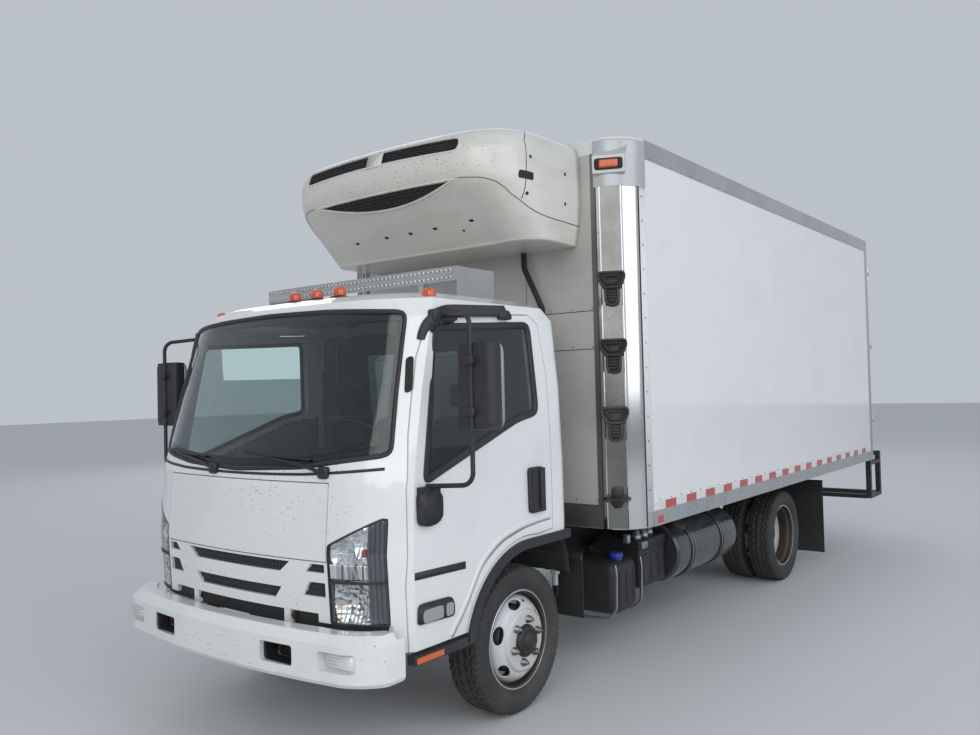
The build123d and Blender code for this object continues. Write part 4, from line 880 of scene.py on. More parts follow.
def drawn_in(outline, share, height):
    """An outline drawn in towards the middle of the wall at a height."""
    x = outline[:, 0] * (1 - share)
    y = wall_face_y + (outline[:, 1] - wall_face_y) * (1 - share)
    return np.stack([x, y, np.full(len(x), height)], -1)


unit_grid = np.stack(
    [drawn_in(unit_rows[0], *row) for row in unit_foot_rows]
    + [drawn_in(outline, 0, height) for outline, height in zip(unit_rows, unit_heights)]
    + [drawn_in(unit_rows[-1], *row) for row in unit_roof_rows]
)
unit_faces = grid_faces(*unit_grid.shape[:2], False, True)
unit_points = unit_grid.reshape(-1, 3)
face_middles = unit_points[unit_faces].mean(1)
open_front = in_unit_opening(face_middles[:, 0], face_middles[:, 2]) & (face_middles[:, 1] < 0.45)
unit_ends = end_faces(*unit_grid.shape[:2])


def unit_shell():
    """Gel coat of the unit: warm white, greyer above the seam, with fine orange peel and dirt in the lee of
    the nose."""
    material, tree, shader, place = shader_kit("unit_gel_coat")
    height = axis_value(tree, place, "Z")
    upper = ramp(tree, height, 2.93, 3.24)
    tone = mix_colour(tree, upper, (0.70, 0.675, 0.62), (0.60, 0.59, 0.56))
    streaks = ramp(tree, noise(tree, place, 3.0, 6.0, (1, 1, 4)), 0.45, 0.75, 0.0, 0.35)
    tone = mix_colour(tree, streaks, tone, (0.50, 0.47, 0.42))
    dots = ramp(tree, cells(tree, place, 42)["Distance"], 0.10, 0.16, 1.0, 0.0)
    ahead = ramp(tree, axis_value(tree, place, "Y"), -2.70, -2.60, 1.0, 0.0)
    tone = mix_colour(tree, product(tree, dots, ahead), tone, (0.05, 0.045, 0.04))
    tree.links.new(tone, shader.inputs["Base Color"])
    peel = noise(tree, place, 260, 2.0)
    tree.links.new(
        ramp(tree, noise(tree, place, 6.0, 4.0), 0.35, 0.7, 0.30, 0.46), shader.inputs["Roughness"]
    )
    shader.inputs["Coat Weight"].default_value = 0.4
    shader.inputs["Coat Roughness"].default_value = 0.12
    bump(tree, shader, peel, 0.2, 0.0002)
    return material


unit_gel_coat = unit_shell()
shell_part = turned_out((unit_points, [list(face) for face in unit_faces[~open_front]] + unit_ends))
make_piece(
    "unit_shells", *shell_part, unit_gel_coat, "chassis", "unit_shell", ("reefer_housing", "reefer_belly")
)


def on_unit(path, stand):
    """Points across and up laid on the unit's front, standing off it by a distance."""
    return np.stack([path[:, 0], unit_front(path[:, 0], path[:, 1]) - stand, path[:, 1]], -1)


oval_path = rounded_path((
    (-grille_half_width, 3.0715), (grille_half_width, 3.0715), (grille_half_width, 3.1585),
    (-grille_half_width, 3.1585)
), 0.070, 420)
oval_path[:, 1] += grille_bow * (1 - (oval_path[:, 0] / grille_half_width) ** 2)
crescent_x = np.linspace(-crescent_half_width, crescent_half_width, 60)
crescent_floor = crescent_top_z - crescent_drop * (1 - (crescent_x / crescent_half_width) ** 2)
crescent_path = rounded_path(np.concatenate([
    np.stack([crescent_x, np.full(60, crescent_top_z)], -1),
    np.stack([crescent_x, crescent_floor], -1)[::-1],
]), 0.020, 420)
lip_profile = (
    (-0.007, -0.016), (-0.007, 0.0005), (-0.003, 0.0030), (0.003, 0.0030), (0.007, 0.0005), (0.007, -0.016)
)
lips = joined([
    carried_part(on_unit(path, 0.0), (0, -1, 0.1), lip_profile, True)
    for path in (oval_path, crescent_path)
])
make_piece("unit_lips", *lips, unit_gel_coat, "chassis", "unit_shell")

# Wavy mesh: slats that rise and fall along the opening, with upright webs between them
mesh_parts = []
for half_width, low_z, high_z, rows in (
    (grille_half_width, 3.062, 3.180, 44), (crescent_half_width, 2.845, 2.935, 34)
):
    x, z = stepped((-half_width, half_width, 520), (low_z, high_z, rows))
    wave = z + 0.004 * np.sin(x * 2 * np.pi / 0.052)
    slat = np.cos(wave * 2 * np.pi / 0.0155) > 0.1
    web = np.abs((x / 0.052) % 1 - 0.5) < 0.07
    y = unit_front(x, z) + 0.020 - 0.008 * slat - 0.004 * web
    mesh_parts.append((np.stack([x, y, z], -1), grid_faces(520, rows)))
make_piece(
    "unit_mesh", *joined(mesh_parts), black_plastic, "chassis", "unit_grille", ("reefer_grilles",),
    smooth=False
)


def ridge(foot, crown, low, high):
    """A bar's profile, alike on both sides: half as wide as its foot at a low level and its crown at a high
    one."""
    return ((-foot, low), (-crown, high), (crown, high), (foot, low))


# Dark seams, the latch recess and the round fixing plugs. Columns: y, z of the seam between the shells
seam_places = np.array((
    (-0.056, 2.931), (0.0, 2.918), (0.05, 2.898), (0.10, 2.868), (0.14, 2.838), (0.25, 2.776),
    (0.30, 2.757), (0.35, 2.744), (0.42, 2.737), (0.48, 2.735), (0.784, 2.730)
))
seam_y = seam_places[0, 0] + (seam_places[-1, 0] - seam_places[0, 0]) * np.linspace(0, 1, 160) ** 2.2
seam_z = np.interp(seam_y, seam_places[:, 0], seam_places[:, 1])
shell_seam = np.stack([unit_flank(seam_y, seam_z), seam_y, seam_z], -1)
side_seam_z = np.linspace(2.812, 3.235, 60)
side_seam_y = np.interp(side_seam_z, (2.812, 3.15, 3.235), (0.200, 0.205, 0.285))
side_seam = np.stack([unit_flank(side_seam_y, side_seam_z), side_seam_y, side_seam_z], -1)
line_profile = ridge(0.0026, 0.0026, -0.004, 0.0007)
seam_outward = np.array((1.0, -0.35, 0.0))
seam_lines = both_sides([carried_part(path, seam_outward, line_profile) for path in (shell_seam, side_seam)])
make_piece("unit_seams", *seam_lines, rubber_black, "chassis", "black_plastic", smooth=False)

# Small blanks and fixings on the unit.
# A blank plate bridges the oval opening, a black latch handle sits in the left flank, rubber
# plugs are pressed into the shells, and the pressed drain slots are flat black shapes of painted shade.


def prism(outline, place, low, high):
    """A flat outline (u, v) with a thickness from low to high, laid in space by a rule of u, v and w."""
    outline = np.asarray(outline, dtype=float)
    count = len(outline)
    u = np.tile(outline[:, 0], 2)
    v = np.tile(outline[:, 1], 2)
    w = np.repeat((low, high), count)
    faces = [[i, (i + 1) % count, (i + 1) % count + count, i + count] for i in range(count)]
    faces += [list(range(count))[::-1], list(range(count, 2 * count))]
    return turned_out((place(u, v, w), faces))


def rounded_outline(width, height, radius, count=48):
    """A rectangle with rounded corners about its middle, as a superellipse-like path."""
    corners = np.array(((-width, -height), (width, -height), (width, height), (-width, height))) / 2
    return rounded_path(corners, radius, count)


def from_unit_front(u, v, w):
    """A place on the unit's front from across, up and outwards."""
    return np.stack([u, unit_front(u, v) - w, v], -1)


badge_outline = rounded_outline(0.124, 0.091, 0.020) + (0.026, 3.1165)
make_piece(
    "unit_badge", *prism(badge_outline, from_unit_front, -0.004, 0.003), unit_gel_coat, "chassis",
    "unit_shell"
)


def from_unit_flank(u, v, w):
    """A place on the unit's left flank from along, up and outwards."""
    return np.stack([unit_flank(u, v) + w, u, v], -1)


latch = [prism(rounded_outline(0.115, 0.044, 0.016) + (0.205, 2.945), from_unit_flank, -0.004, 0.0035)]
latch += [prism(rounded_outline(0.022, 0.022, 0.018, 20) + place, from_unit_flank, -0.004, 0.002)
          for place in ((0.240, 3.055), (0.222, 2.845), (0.60, 3.02), (0.60, 2.84))]
# Drain slots: flat black shapes as painted shade for the insides of the slots.
slot_places = ((-0.47, 2.720), (-0.19, 2.722), (0.02, 2.722), (0.226, 2.725), (0.512, 2.735))
slots = [
    prism(rounded_outline(0.034, 0.012, 0.009, 20) + place, from_unit_front, -0.004, 0.0012)
    for place in slot_places
]
slots.append(
    prism(rounded_outline(0.016, 0.012, 0.010, 16) + (0.415, 2.694), from_unit_front, -0.004, 0.0012)
)
make_piece(
    "unit_fixings", *joined(slots + latch + [mirrored(part) for part in latch]), rubber_black, "chassis",
    "black_plastic", smooth=False
)

# Insulated box panels.
# The sides are glossy white laminate sheets, riveted along aluminium rails at top and bottom and to
# the stainless corners. Every rivet is a low aluminium dome.
box_half_x = 1.220
corner_centre = np.array((0.995, 1.010))
corner_radius = 0.225
rail_face_x = 1.226
box_top_z = 3.255
last_rivet_y = 6.05
rear_face_y = 6.200
leftwards = (1, 0, 0)
backwards = (0, 1, 0)
upwards = (0, 0, 1)


def domes(places, outward, radius=0.0065, rise=0.0028, around=8):
    """Rivet heads: two rings and a flat crown at every place, squared up to that place's outward
    direction."""
    places = np.asarray(places, dtype=float).reshape(-1, 3)
    outward = np.broadcast_to(np.asarray(outward, dtype=float), places.shape)
    outward = outward / np.linalg.norm(outward, axis=1, keepdims=True)
    across = np.cross(np.where(np.abs(outward[:, 2:]) > 0.9, (1.0, 0, 0), (0, 0, 1.0)), outward)
    across /= np.linalg.norm(across, axis=1, keepdims=True)
    along = np.cross(outward, across)
    theta = np.linspace(0, 2 * np.pi, around, endpoint=False)
    rings = np.array(((1.0, -0.5), (1.0, 0.35), (0.62, 0.9)))
    reach = radius * rings[:, :1, None] * np.stack([np.cos(theta), np.sin(theta)], -1)[None]
    lift = np.broadcast_to(rise * rings[:, 1:], (3, around))
    points = (places[:, None, None] + reach[None, ..., :1] * across[
        :, None, None
    ] + reach[None, ..., 1:] * along[:, None, None] + lift[None, ..., None] * outward[:, None, None])
    sides = grid_faces(3, around, False, True)
    caps = [np.arange(around), np.arange(2 * around, 3 * around)[::-1]]
    faces = []
    for start in range(0, len(places) * 3 * around, 3 * around):
        faces += (sides + start).tolist()
        faces += [(cap + start).tolist() for cap in caps]
    return turned_out((points.reshape(-1, 3), faces))


def row_of(first, last, pitch):
    """Evenly pitched places from the first to no further than the last."""
    first = np.array(first, dtype=float)
    run = np.array(last, dtype=float) - first
    count = int(np.linalg.norm(run) / pitch) + 1
    return first + run / np.linalg.norm(run) * (np.arange(count) * pitch)[:, None]


rivet_pitch = 0.150
rail_pitch = 0.305
side_rows = np.concatenate([
    row_of((rail_face_x, 1.083, 3.147), (rail_face_x, last_rivet_y, 3.147), rivet_pitch),
    row_of((rail_face_x, 1.178, 0.930), (rail_face_x, last_rivet_y, 0.930), rail_pitch),
    row_of((rail_face_x, 1.178, 0.897), (rail_face_x, last_rivet_y, 0.897), rail_pitch),
    row_of((box_half_x, 1.103, 1.030), (box_half_x, last_rivet_y, 1.030), rivet_pitch),
])
edge_angle = math.acos((corner_centre[1] - 0.972) / (corner_radius + 0.0016))
edge_x = corner_centre[0] + (corner_radius + 0.0016) * math.sin(edge_angle)
edge_row = row_of((edge_x, 0.972, 1.10), (edge_x, 0.972, 3.10), rivet_pitch)
wall_rows = np.concatenate(
    [row_of((x, wall_face_y, 0.90), (x, wall_face_y, 3.15), rivet_pitch) for x in (0.984, 0.49)]
)
joint_rows = np.concatenate(
    [row_of((0.06, wall_face_y, z), (0.96, wall_face_y, z), rivet_pitch) for z in (1.045, 1.985, 2.22)]
)
rear_rows = np.concatenate([row_of((1.176, rear_face_y, 1.00), (1.176, rear_face_y, 3.15), rivet_pitch),
                            row_of((0.075, rear_face_y, 3.19), (1.10, rear_face_y, 3.19), rivet_pitch)])
roof_row = row_of((1.195, 1.10, box_top_z), (1.195, last_rivet_y, box_top_z), rivet_pitch)
rivets = both_sides([
    domes(side_rows, leftwards), domes(edge_row, (1, -0.1, 0)), domes(wall_rows, forwards),
    domes(joint_rows, forwards), domes(rear_rows, backwards), domes(roof_row, upwards),
])
rivet_metal = layered(
    "rivet_metal", (0.33, 0.33, 0.34), (0.20, 0.19, 0.18), 0.35, metallic=0.9, grain=300, relief=0.00005
)
make_piece("box_rivets", *rivets, rivet_metal, "chassis", "aluminium")

# Panel edges and wall joints.
# The side sheets lap round onto the corners over a black sealant line. The front wall has lapped
# sheets with sealed joints, and a grey kick band along its foot.


def round_corner(angle, height, stand):
    """A place on the left corner from an angle turned from straight ahead, a height and a stand off the
    skin."""
    reach = corner_radius + stand
    return np.stack(
        [corner_centre[0] + reach * np.sin(angle), corner_centre[1] - reach * np.cos(angle), height], -1
    )


def round_strip(first_angle, last_angle, low_z, high_z, low_stand, high_stand, steps=14):
    """A thin closed strip bent round the corner between two angles."""
    edge = np.linspace(first_angle, last_angle, steps)
    outline = np.concatenate(
        [np.stack([edge, np.full(steps, low_z)], -1), np.stack([edge, np.full(steps, high_z)], -1)[::-1]]
    )
    return prism(outline, round_corner, low_stand, high_stand)


rail_top_z = 0.968
lap_angle = math.acos((corner_centre[1] - 0.947) / corner_radius)
make_piece("panel_laps", *both_sides([round_strip(lap_angle, math.pi / 2, rail_top_z, 3.140, 0.0, 0.0016)]),
           panel_white, "chassis", "box_panel")
sealant = [round_strip(lap_angle - 0.030, lap_angle + 0.002, 0.880, 2.955, -0.001, 0.0022, 4)]


def on_wall(u, v, w):
    """A place on the box's front wall from across, up and forwards."""
    return np.stack([u, wall_face_y - w, v], -1)


def on_wall_bar(left, right, low, high, stand, depth=-0.002):
    """A flat bar on the front wall."""
    return prism(((left, low), (right, low), (right, high), (left, high)), on_wall, depth, stand)


sealant += [on_wall_bar(0.0, 0.965, z - 0.0022, z + 0.0022, 0.0012) for z in (1.969, 2.204)]
sealant += [
    on_wall_bar(0.9995, 1.0045, 0.880, 2.955, 0.0006), on_wall_bar(0.4675, 0.4705, 1.030, 3.150, 0.0008)
]
make_piece("box_sealant", *both_sides(sealant), rubber_black, "chassis", "black_plastic", smooth=False)
kick_band = [on_wall_bar(0.0, 0.966, 0.878, 1.018, 0.0022), on_wall_bar(0.0, 0.966, 0.944, 0.952, 0.005)]
wall_strips = [on_wall_bar(0.968, 0.9985, 0.878, 3.165, 0.003)]
kick_metal = layered(
    "kick_metal", (0.20, 0.20, 0.19), (0.15, 0.145, 0.135), 0.42, metallic=0.7, grain=200, relief=0.0001
)
make_piece(
    "wall_kick_band", *both_sides(kick_band + wall_strips), kick_metal, "chassis", "aluminium", smooth=False
)

# Stainless corner pads and caps.
# A flat stainless pad with bright edge beads runs up each rounded corner to carry the steps, and
# a pressed grey cap closes the corner at the top. The pad's dark tone is a painted reflection of the dark cab
# and ground.
pad_turn = math.radians(24.5)
pad_out = np.array((math.sin(pad_turn), -math.cos(pad_turn), 0))
pad_across = np.array((math.cos(pad_turn), math.sin(pad_turn), 0))
pad_half_width = 0.060
pad_stand = corner_radius * math.cos(pad_half_width / corner_radius) + 0.010


def on_pad(u, v, w):
    """A place on the corner's pad from across it, up and outwards."""
    middle = np.array((*corner_centre, 0)) + pad_out * pad_stand
    return middle + u[..., None] * pad_across + v[..., None] * np.array((0, 0, 1.0)) + w[..., None] * pad_out


cap_foot_z = 2.955
pad_outline = (
    (-pad_half_width, 0.880), (pad_half_width, 0.880), (pad_half_width, cap_foot_z),
    (-pad_half_width, cap_foot_z)
)
# Dark stainless of the pad: a painted reflection of the dark cab and ground.
pad_metal = layered(
    "pad_metal", (0.20, 0.20, 0.195), (0.15, 0.145, 0.135), 0.22, metallic=0.9, grain=90, relief=0.00005
)
make_piece(
    "corner_pads", *both_sides([prism(pad_outline, on_pad, -0.030, 0.0)]), pad_metal, "chassis",
    "polished_steel", smooth=False
)
bead_half = 0.005
bead_outline = (
    (-bead_half, -0.020), (-bead_half, 0.001), (0, 0.003), (bead_half, 0.001), (bead_half, -0.020)
)
beads = []
for u in (-pad_half_width - 0.004, pad_half_width + 0.004):
    line = on_pad(np.full(2, u), np.array((0.880, cap_foot_z)), np.zeros(2))
    beads.append(carried_part(line, pad_out, bead_outline))
make_piece("corner_beads", *both_sides(beads), polished_steel, "chassis", "polished_steel", smooth=False)

cap_angles = np.linspace(-0.02, math.pi / 2 + 0.02, 26)
cap_profile = (
    (0.0, cap_foot_z), (0.0045, cap_foot_z), (0.0045, 3.02), (0.0055, 3.215), (0.004, 3.236),
    (-0.004, 3.250), (-0.020, 3.2585), (-0.060, 3.2595), (-0.060, 3.2555), (0.0, 3.2)
)
cap_stand, cap_height = np.array(cap_profile).T
cap_grid = np.stack(
    [round_corner(np.full(len(cap_profile), angle), cap_height, cap_stand) for angle in cap_angles]
)
cap = capped(cap_grid)
cap_paint = layered(
    "cap_paint", (0.47, 0.48, 0.49), (0.42, 0.43, 0.43), 0.35, metallic=0.25, coat=0.3, grain=260,
    relief=0.0001
)
# Pressed facet that turns the lamp forwards, as level outlines of (across, outwards) that shrink into the cap
facet_levels = ((3.020, ((-0.085, -0.014), (0.085, -0.014), (0.085, -0.012), (-0.085, -0.012))),
                (3.034, ((-0.098, -0.020), (0.098, -0.020), (0.098, 0.012), (-0.098, 0.012))),
                (3.142, ((-0.100, -0.020), (0.100, -0.020), (0.100, 0.014), (-0.100, 0.014))),
                (3.205, ((-0.050, -0.020), (0.112, -0.034), (0.112, -0.024), (-0.050, -0.012))))
facet_points = np.stack(
    [on_pad(np.array(outline)[:, 0], np.full(4, z), np.array(outline)[:, 1]) for z, outline in facet_levels]
)
facet = capped(facet_points)
cap_piece = make_piece(
    "corner_caps", *both_sides([cap, facet]), cap_paint, "chassis", "aluminium", smooth=False
)


def ease_edges(piece, sharper_than=30):
    """Rounds the edges that are sharper than an angle in degrees."""
    ease = piece.modifiers.new("eased_edges", "BEVEL")
    ease.width = 0.0015
    ease.segments = 2
    ease.limit_method = "ANGLE"
    ease.angle_limit = math.radians(sharper_than)


ease_edges(cap_piece)

# Marker lamps on the box.
# Amber polycarbonate lenses with fine vertical flutes snap into black rubber bezels on the corners,
# and red ones close the sill at the back.


def fluted_lens(width, height, depth, flutes, place):
    """A lens face over (across, up): a flat crown that falls to its edges, with flutes across it, closed at
    the back."""
    u, v = stepped((-1, 1, 90), (-1, 1, 14))
    crown = depth * np.clip((1 - u**8) * (1 - v**8), 0, 1) ** 0.35
    crown = crown - 0.0012 * np.abs(np.sin(u * flutes * np.pi)) * (np.abs(u) < 0.93) * (np.abs(v) < 0.85)
    front = place(u * width / 2, v * height / 2, crown)
    back = place(u * width / 2, v * height / 2, np.full_like(u, -0.004))
    edge = np.concatenate([
        np.arange(14), np.arange(1, 90) * 14 + 13, 89 * 14 + np.arange(13)[::-1],
        np.arange(1, 89)[::-1] * 14
    ])
    count = u.size
    walls = [[int(a), int(b), int(b) + count, int(a) + count] for a, b in zip(edge, np.roll(edge, -1))]
    faces = grid_faces(90, 14).tolist() + (grid_faces(90, 14)[:, ::-1] + count).tolist() + walls
    points = np.concatenate([front.reshape(-1, 3), back.reshape(-1, 3)])
    return turned_out((points, faces))


def lifted(place, across, up, out):
    """A placing rule moved across, up and outwards."""
    return lambda u, v, w: place(u + across, v + up, w + out)


marker_lens = fluted_lens(0.118, 0.052, 0.018, 12, lifted(on_pad, 0.0, 3.088, 0.016))
marker_bezel = prism(rounded_outline(0.172, 0.070, 0.014), lifted(on_pad, 0.0, 3.088, 0.0), 0.010, 0.019)
marker_ends = [prism(
    rounded_outline(0.020, 0.050, 0.010, 24) + (side * 0.070, 0), lifted(on_pad, 0.0, 3.088, 0.0), 0.012,
    0.030
) for side in (-1, 1)]


def on_sill(u, v, w):
    """A place on the back sill from across, up and backwards."""
    return np.stack([1.040 - u, 6.216 + w - 0.004, v + 0.975], -1)


rear_lens = fluted_lens(0.150, 0.080, 0.006, 14, on_sill)
make_piece("amber_markers", *both_sides([marker_lens]), amber_lens, "chassis", "amber_lamp", ("box_lamps",))
red_lens = layered(
    "red_lens", (0.50, 0.012, 0.010), (0.42, 0.010, 0.010), 0.16, coat=1.0, grain=300, relief=0.0002
)
make_piece("red_markers", *both_sides([rear_lens]), red_lens, "chassis", "amber_lamp")
make_piece(
    "marker_bezels", *both_sides([marker_bezel, *marker_ends]), rubber_black, "chassis", "black_plastic",
    smooth=False
)

# Reflective tape.
# Red and white prismatic tape is stuck along the foot of each side panel, in lengths of one rivet
# pitch, with one short red piece on the rail's front end and bars on the back sill.
tape_low_z = 0.969
tape_high_z = 1.019
tape_half = rail_pitch / 2
tape_starts = 1.020 + rail_pitch * np.arange(17)


def tape_finish(name, colour):
    """Prismatic film: a coloured coat over a fine honeycomb of glints, worn and dusty in patches."""
    material, tree, shader, place = shader_kit(name)
    comb = cells(tree, place, 320)["Distance"]
    glint = ramp(tree, comb, 0.15, 0.6, 0.0, 0.35)
    tone = mix_colour(tree, glint, colour, tuple(min(1.0, value * 1.5 + 0.03) for value in colour))
    dirt = ramp(tree, noise(tree, place, 9.0, 5.0), 0.5, 0.8, 0.0, 0.5)
    tone = mix_colour(tree, dirt, tone, tuple(value * 0.6 + 0.05 for value in colour))
    tree.links.new(tone, shader.inputs["Base Color"])
    shader.inputs["Roughness"].default_value = 0.3
    shader.inputs["Coat Weight"].default_value = 0.6
    bump(tree, shader, comb, 0.3, 0.0003)
    return material


def on_side(u, v, w):
    """A place on the left panel from along, up and outwards."""
    return np.stack([box_half_x + w, u, v], -1)


def flat_bar(place, left, right, low, high, thickness):
    """A thin bar of tape or sheet laid by a placing rule."""
    return prism(((left, low), (right, low), (right, high), (left, high)), place, -0.0004, thickness)


def on_back_sill(u, v, w):
    """A place on the rear frame's face from across, up and backwards."""
    return np.stack([u, rear_face_y + w, v], -1)


white_parts = [
    flat_bar(on_side, y, y + tape_half - 0.001, tape_low_z, tape_high_z, 0.0008) for y in tape_starts
]
red_parts = [
    flat_bar(on_side, y + tape_half, y + 2 * tape_half - 0.001, tape_low_z, tape_high_z, 0.0008)
    for y in tape_starts[:-1]
]
red_parts.append(flat_bar(lifted(on_side, 0, 0, 0.006), 1.055, 1.131, 0.889, 0.933, 0.0008))
sill_edges = np.arange(6) * tape_half + 0.02
white_parts += [
    flat_bar(on_back_sill, x, x + tape_half - 0.001, 1.018, 1.062, 0.0008) for x in sill_edges[::2]
]
red_parts += [
    flat_bar(on_back_sill, x, x + tape_half - 0.001, 1.018, 1.062, 0.0008) for x in sill_edges[1::2]
]
for name, colour, parts in (
    ("tape_white", (0.62, 0.62, 0.62), white_parts), ("tape_red", (0.42, 0.030, 0.025), red_parts)
):
    piece = make_piece(name, *both_sides(parts), tape_finish(name, colour), "chassis", smooth=False)

# Folding steps.
# Each step is a black cast tread hinged on a bracket: folded up it shows its looped head, ribbed neck
# and rounded toe. Three are folded up on the left corner and the lowest is let down.
step_tops = (2.432, 2.024, 1.616)
lowered_z = 1.065
tread_black = layered(
    "tread_black", (0.020, 0.020, 0.022), (0.050, 0.048, 0.045), 0.42, grain=420, relief=0.0003
)


def on_step(height, out=0.0):
    """The pad's placing rule with its height counted from a step's own and its depth from the bracket's
    face."""
    return lifted(on_pad, 0.0, height, out)


def round_profile(radius, sides=12):
    """Points of a circle."""
    angle = np.linspace(0, 2 * np.pi, sides, endpoint=False)
    return np.stack([radius * np.cos(angle), radius * np.sin(angle)], -1)


def tube_on(place, corners, depth, radius, reach=0.012, count=60, closed=True, sides=10):
    """A round bar bent through corners given as (across, up), at a depth."""
    path = rounded_path(corners, reach, count, closed)
    line = place(path[:, 0], path[:, 1], np.full(len(path), depth))
    return carried_part(line, pad_out, round_profile(radius, sides), closed)


step_parts = []
for top in step_tops:
    place = on_step(top)
    neck = ((0.074, -0.004), (0.079, -0.040), (0.070, -0.075), (0.044, -0.116), (0.040, -0.206),
            (-0.040, -0.206), (-0.044, -0.116), (-0.070, -0.075), (-0.079, -0.040), (-0.074, -0.004))
    step_parts.append(prism(neck, place, -0.004, 0.006))
    head = (
        (-0.076, -0.008), (0.076, -0.008), (0.080, -0.040), (0.048, -0.098), (-0.048, -0.098),
        (-0.080, -0.040)
    )
    step_parts.append(tube_on(place, head, 0.040, 0.0085))
    inner = ((-0.050, -0.026), (0.050, -0.026), (0.030, -0.074), (-0.030, -0.074))
    step_parts.append(tube_on(place, inner, 0.037, 0.0055))
    for u in (-0.066, 0.066):
        step_parts.append(
            tube_on(place, ((u, -0.010), (u * 0.6, -0.094)), 0.030, 0.0060, count=8, closed=False)
        )
    for v in (-0.104, -0.122, -0.140, -0.158, -0.176):
        half = 0.042 - 0.006 * (v < -0.16)
        step_parts.append(tube_on(place, ((-half, v), (half, v)), 0.034, 0.0058, count=8, closed=False))
    toe = (
        (-0.038, -0.100), (0.038, -0.100), (0.036, -0.182), (0.018, -0.203), (-0.018, -0.203),
        (-0.036, -0.182)
    )
    step_parts.append(tube_on(place, toe, 0.036, 0.0075))
    step_parts.append(prism(rounded_outline(0.052, 0.086, 0.02, 28) + (0, -0.148), place, 0.0, 0.026))
    for u, v in ((-0.055, -0.020), (0.055, -0.020), (0.0, -0.196)):
        step_parts.append(prism(rounded_outline(0.016, 0.016, 0.014, 16) + (u, v), place, 0.0, 0.010))
place = on_step(lowered_z)
tread_outline = ((-0.082, -0.008), (0.082, -0.008), (0.082, 0.008), (-0.082, 0.008))
step_parts.append(prism(tread_outline, place, 0.012, 0.022))
for depth in (0.034, 0.060, 0.086, 0.112):
    step_parts.append(tube_on(place, ((-0.078, 0.0), (0.078, 0.0)), depth, 0.0065, count=8, closed=False))
for u in (-0.080, -0.028, 0.028, 0.080):
    rib = np.array(((-0.006, 0.012), (0.006, 0.012), (0.006, 0.118), (-0.006, 0.118)))
    rib_place = lambda a, b, w, u=u: place(u + w, a, b)
    step_parts.append(prism(rib, rib_place, -0.002, 0.002))
step_parts.append(prism(rounded_outline(0.070, 0.078, 0.020, 28) + (0, 0.030), place, -0.004, 0.030))
lower_toe = (
    (-0.046, -0.004), (0.046, -0.004), (0.040, -0.028), (0.018, -0.056), (-0.018, -0.056), (-0.040, -0.028)
)
step_parts.append(prism(lower_toe, place, -0.004, 0.036))
steps = make_piece(
    "folding_treads", *joined(step_parts), tread_black, "chassis", "black_plastic", ("folding_steps",)
)
ease_edges(steps, 50)

# Cab side trim.
# Moulded black seals frame the door windows, and a smoked rain visor is clipped over each. The doors
# carry pull handles, a blank name strip and lamp pads, all in grained black plastic.
window_corners = ((-0.804, 1.310), (-0.668, 2.048), (0.110, 2.092), (0.140, 1.602), (-0.050, 1.570))


def skin_flank(y, z):
    """Half width of the cab's skin at points along and up: each level's cheek arc, or its flat side behind
    it."""
    y = np.asarray(y, dtype=float)
    rows = []
    for height, nose_y, shoulder_x, shoulder_y, cheek_x, cheek_y, side_x, side_y in cab_levels:
        ux, uy, radius = circle_through((shoulder_x, shoulder_y), (cheek_x, cheek_y), (side_x, side_y))
        arc = ux + np.sqrt(np.maximum(radius**2 - (y - uy) ** 2, 0))
        rows.append(np.where(y < side_y, arc, side_x))
    return over_rows(np.stack(rows), cab_levels[:, 0], np.asarray(z, dtype=float))


def from_flank(u, v, w):
    """A place on the cab's left side from along, up and outwards."""
    return np.stack([skin_flank(u, v) + w, u, v], -1)


def on_flank(path, stand):
    """Points along and up laid on the cab's left side, standing off it by a distance."""
    return from_flank(path[:, 0], path[:, 1], np.full(len(path), stand))


def to_door(name, parts, material, slot, **shading):
    """The same piece on both doors, each riding on its own."""
    for side, built in (("left", joined(parts)), ("right", joined([mirrored(part) for part in parts]))):
        make_piece(f"{name}_{side}", *built, material, f"door_{side}", slot, **shading)


def soft_block(low, high, radius, steps=3):
    """Points and faces of a box from its low corner to its high corner, with rounded edges: a sphere's
    points are pushed out to the corners of a box."""
    low = np.array(low, dtype=float)
    high = np.array(high, dtype=float)
    centre = (low + high) / 2
    half = np.maximum((high - low) / 2 - radius, 0)
    quarter = np.linspace(0, np.pi / 2, steps + 1)
    longitude = np.concatenate([quarter + turn * np.pi / 2 for turn in range(4)])
    corner_x = np.repeat([1, -1, -1, 1], steps + 1)
    corner_y = np.repeat([1, 1, -1, -1], steps + 1)
    latitude = np.concatenate([-quarter[::-1], quarter])
    corner_z = np.repeat([-1, 1], steps + 1)
    a, b = np.meshgrid(longitude, latitude, indexing="ij")
    points = np.stack([
        centre[0] + half[0] * corner_x[:, None] + radius * np.cos(a) * np.cos(b),
        centre[1] + half[1] * corner_y[:, None] + radius * np.sin(a) * np.cos(b),
        centre[2] + half[2] * corner_z[None, :] + radius * np.sin(b),
    ], -1)
    rows, columns = points.shape[:2]
    faces = [list(face) for face in grid_faces(rows, columns, True, False)]
    faces.append([row * columns for row in range(rows)][::-1])
    faces.append([row * columns + columns - 1 for row in range(rows)])
    return turned_out((points, faces))


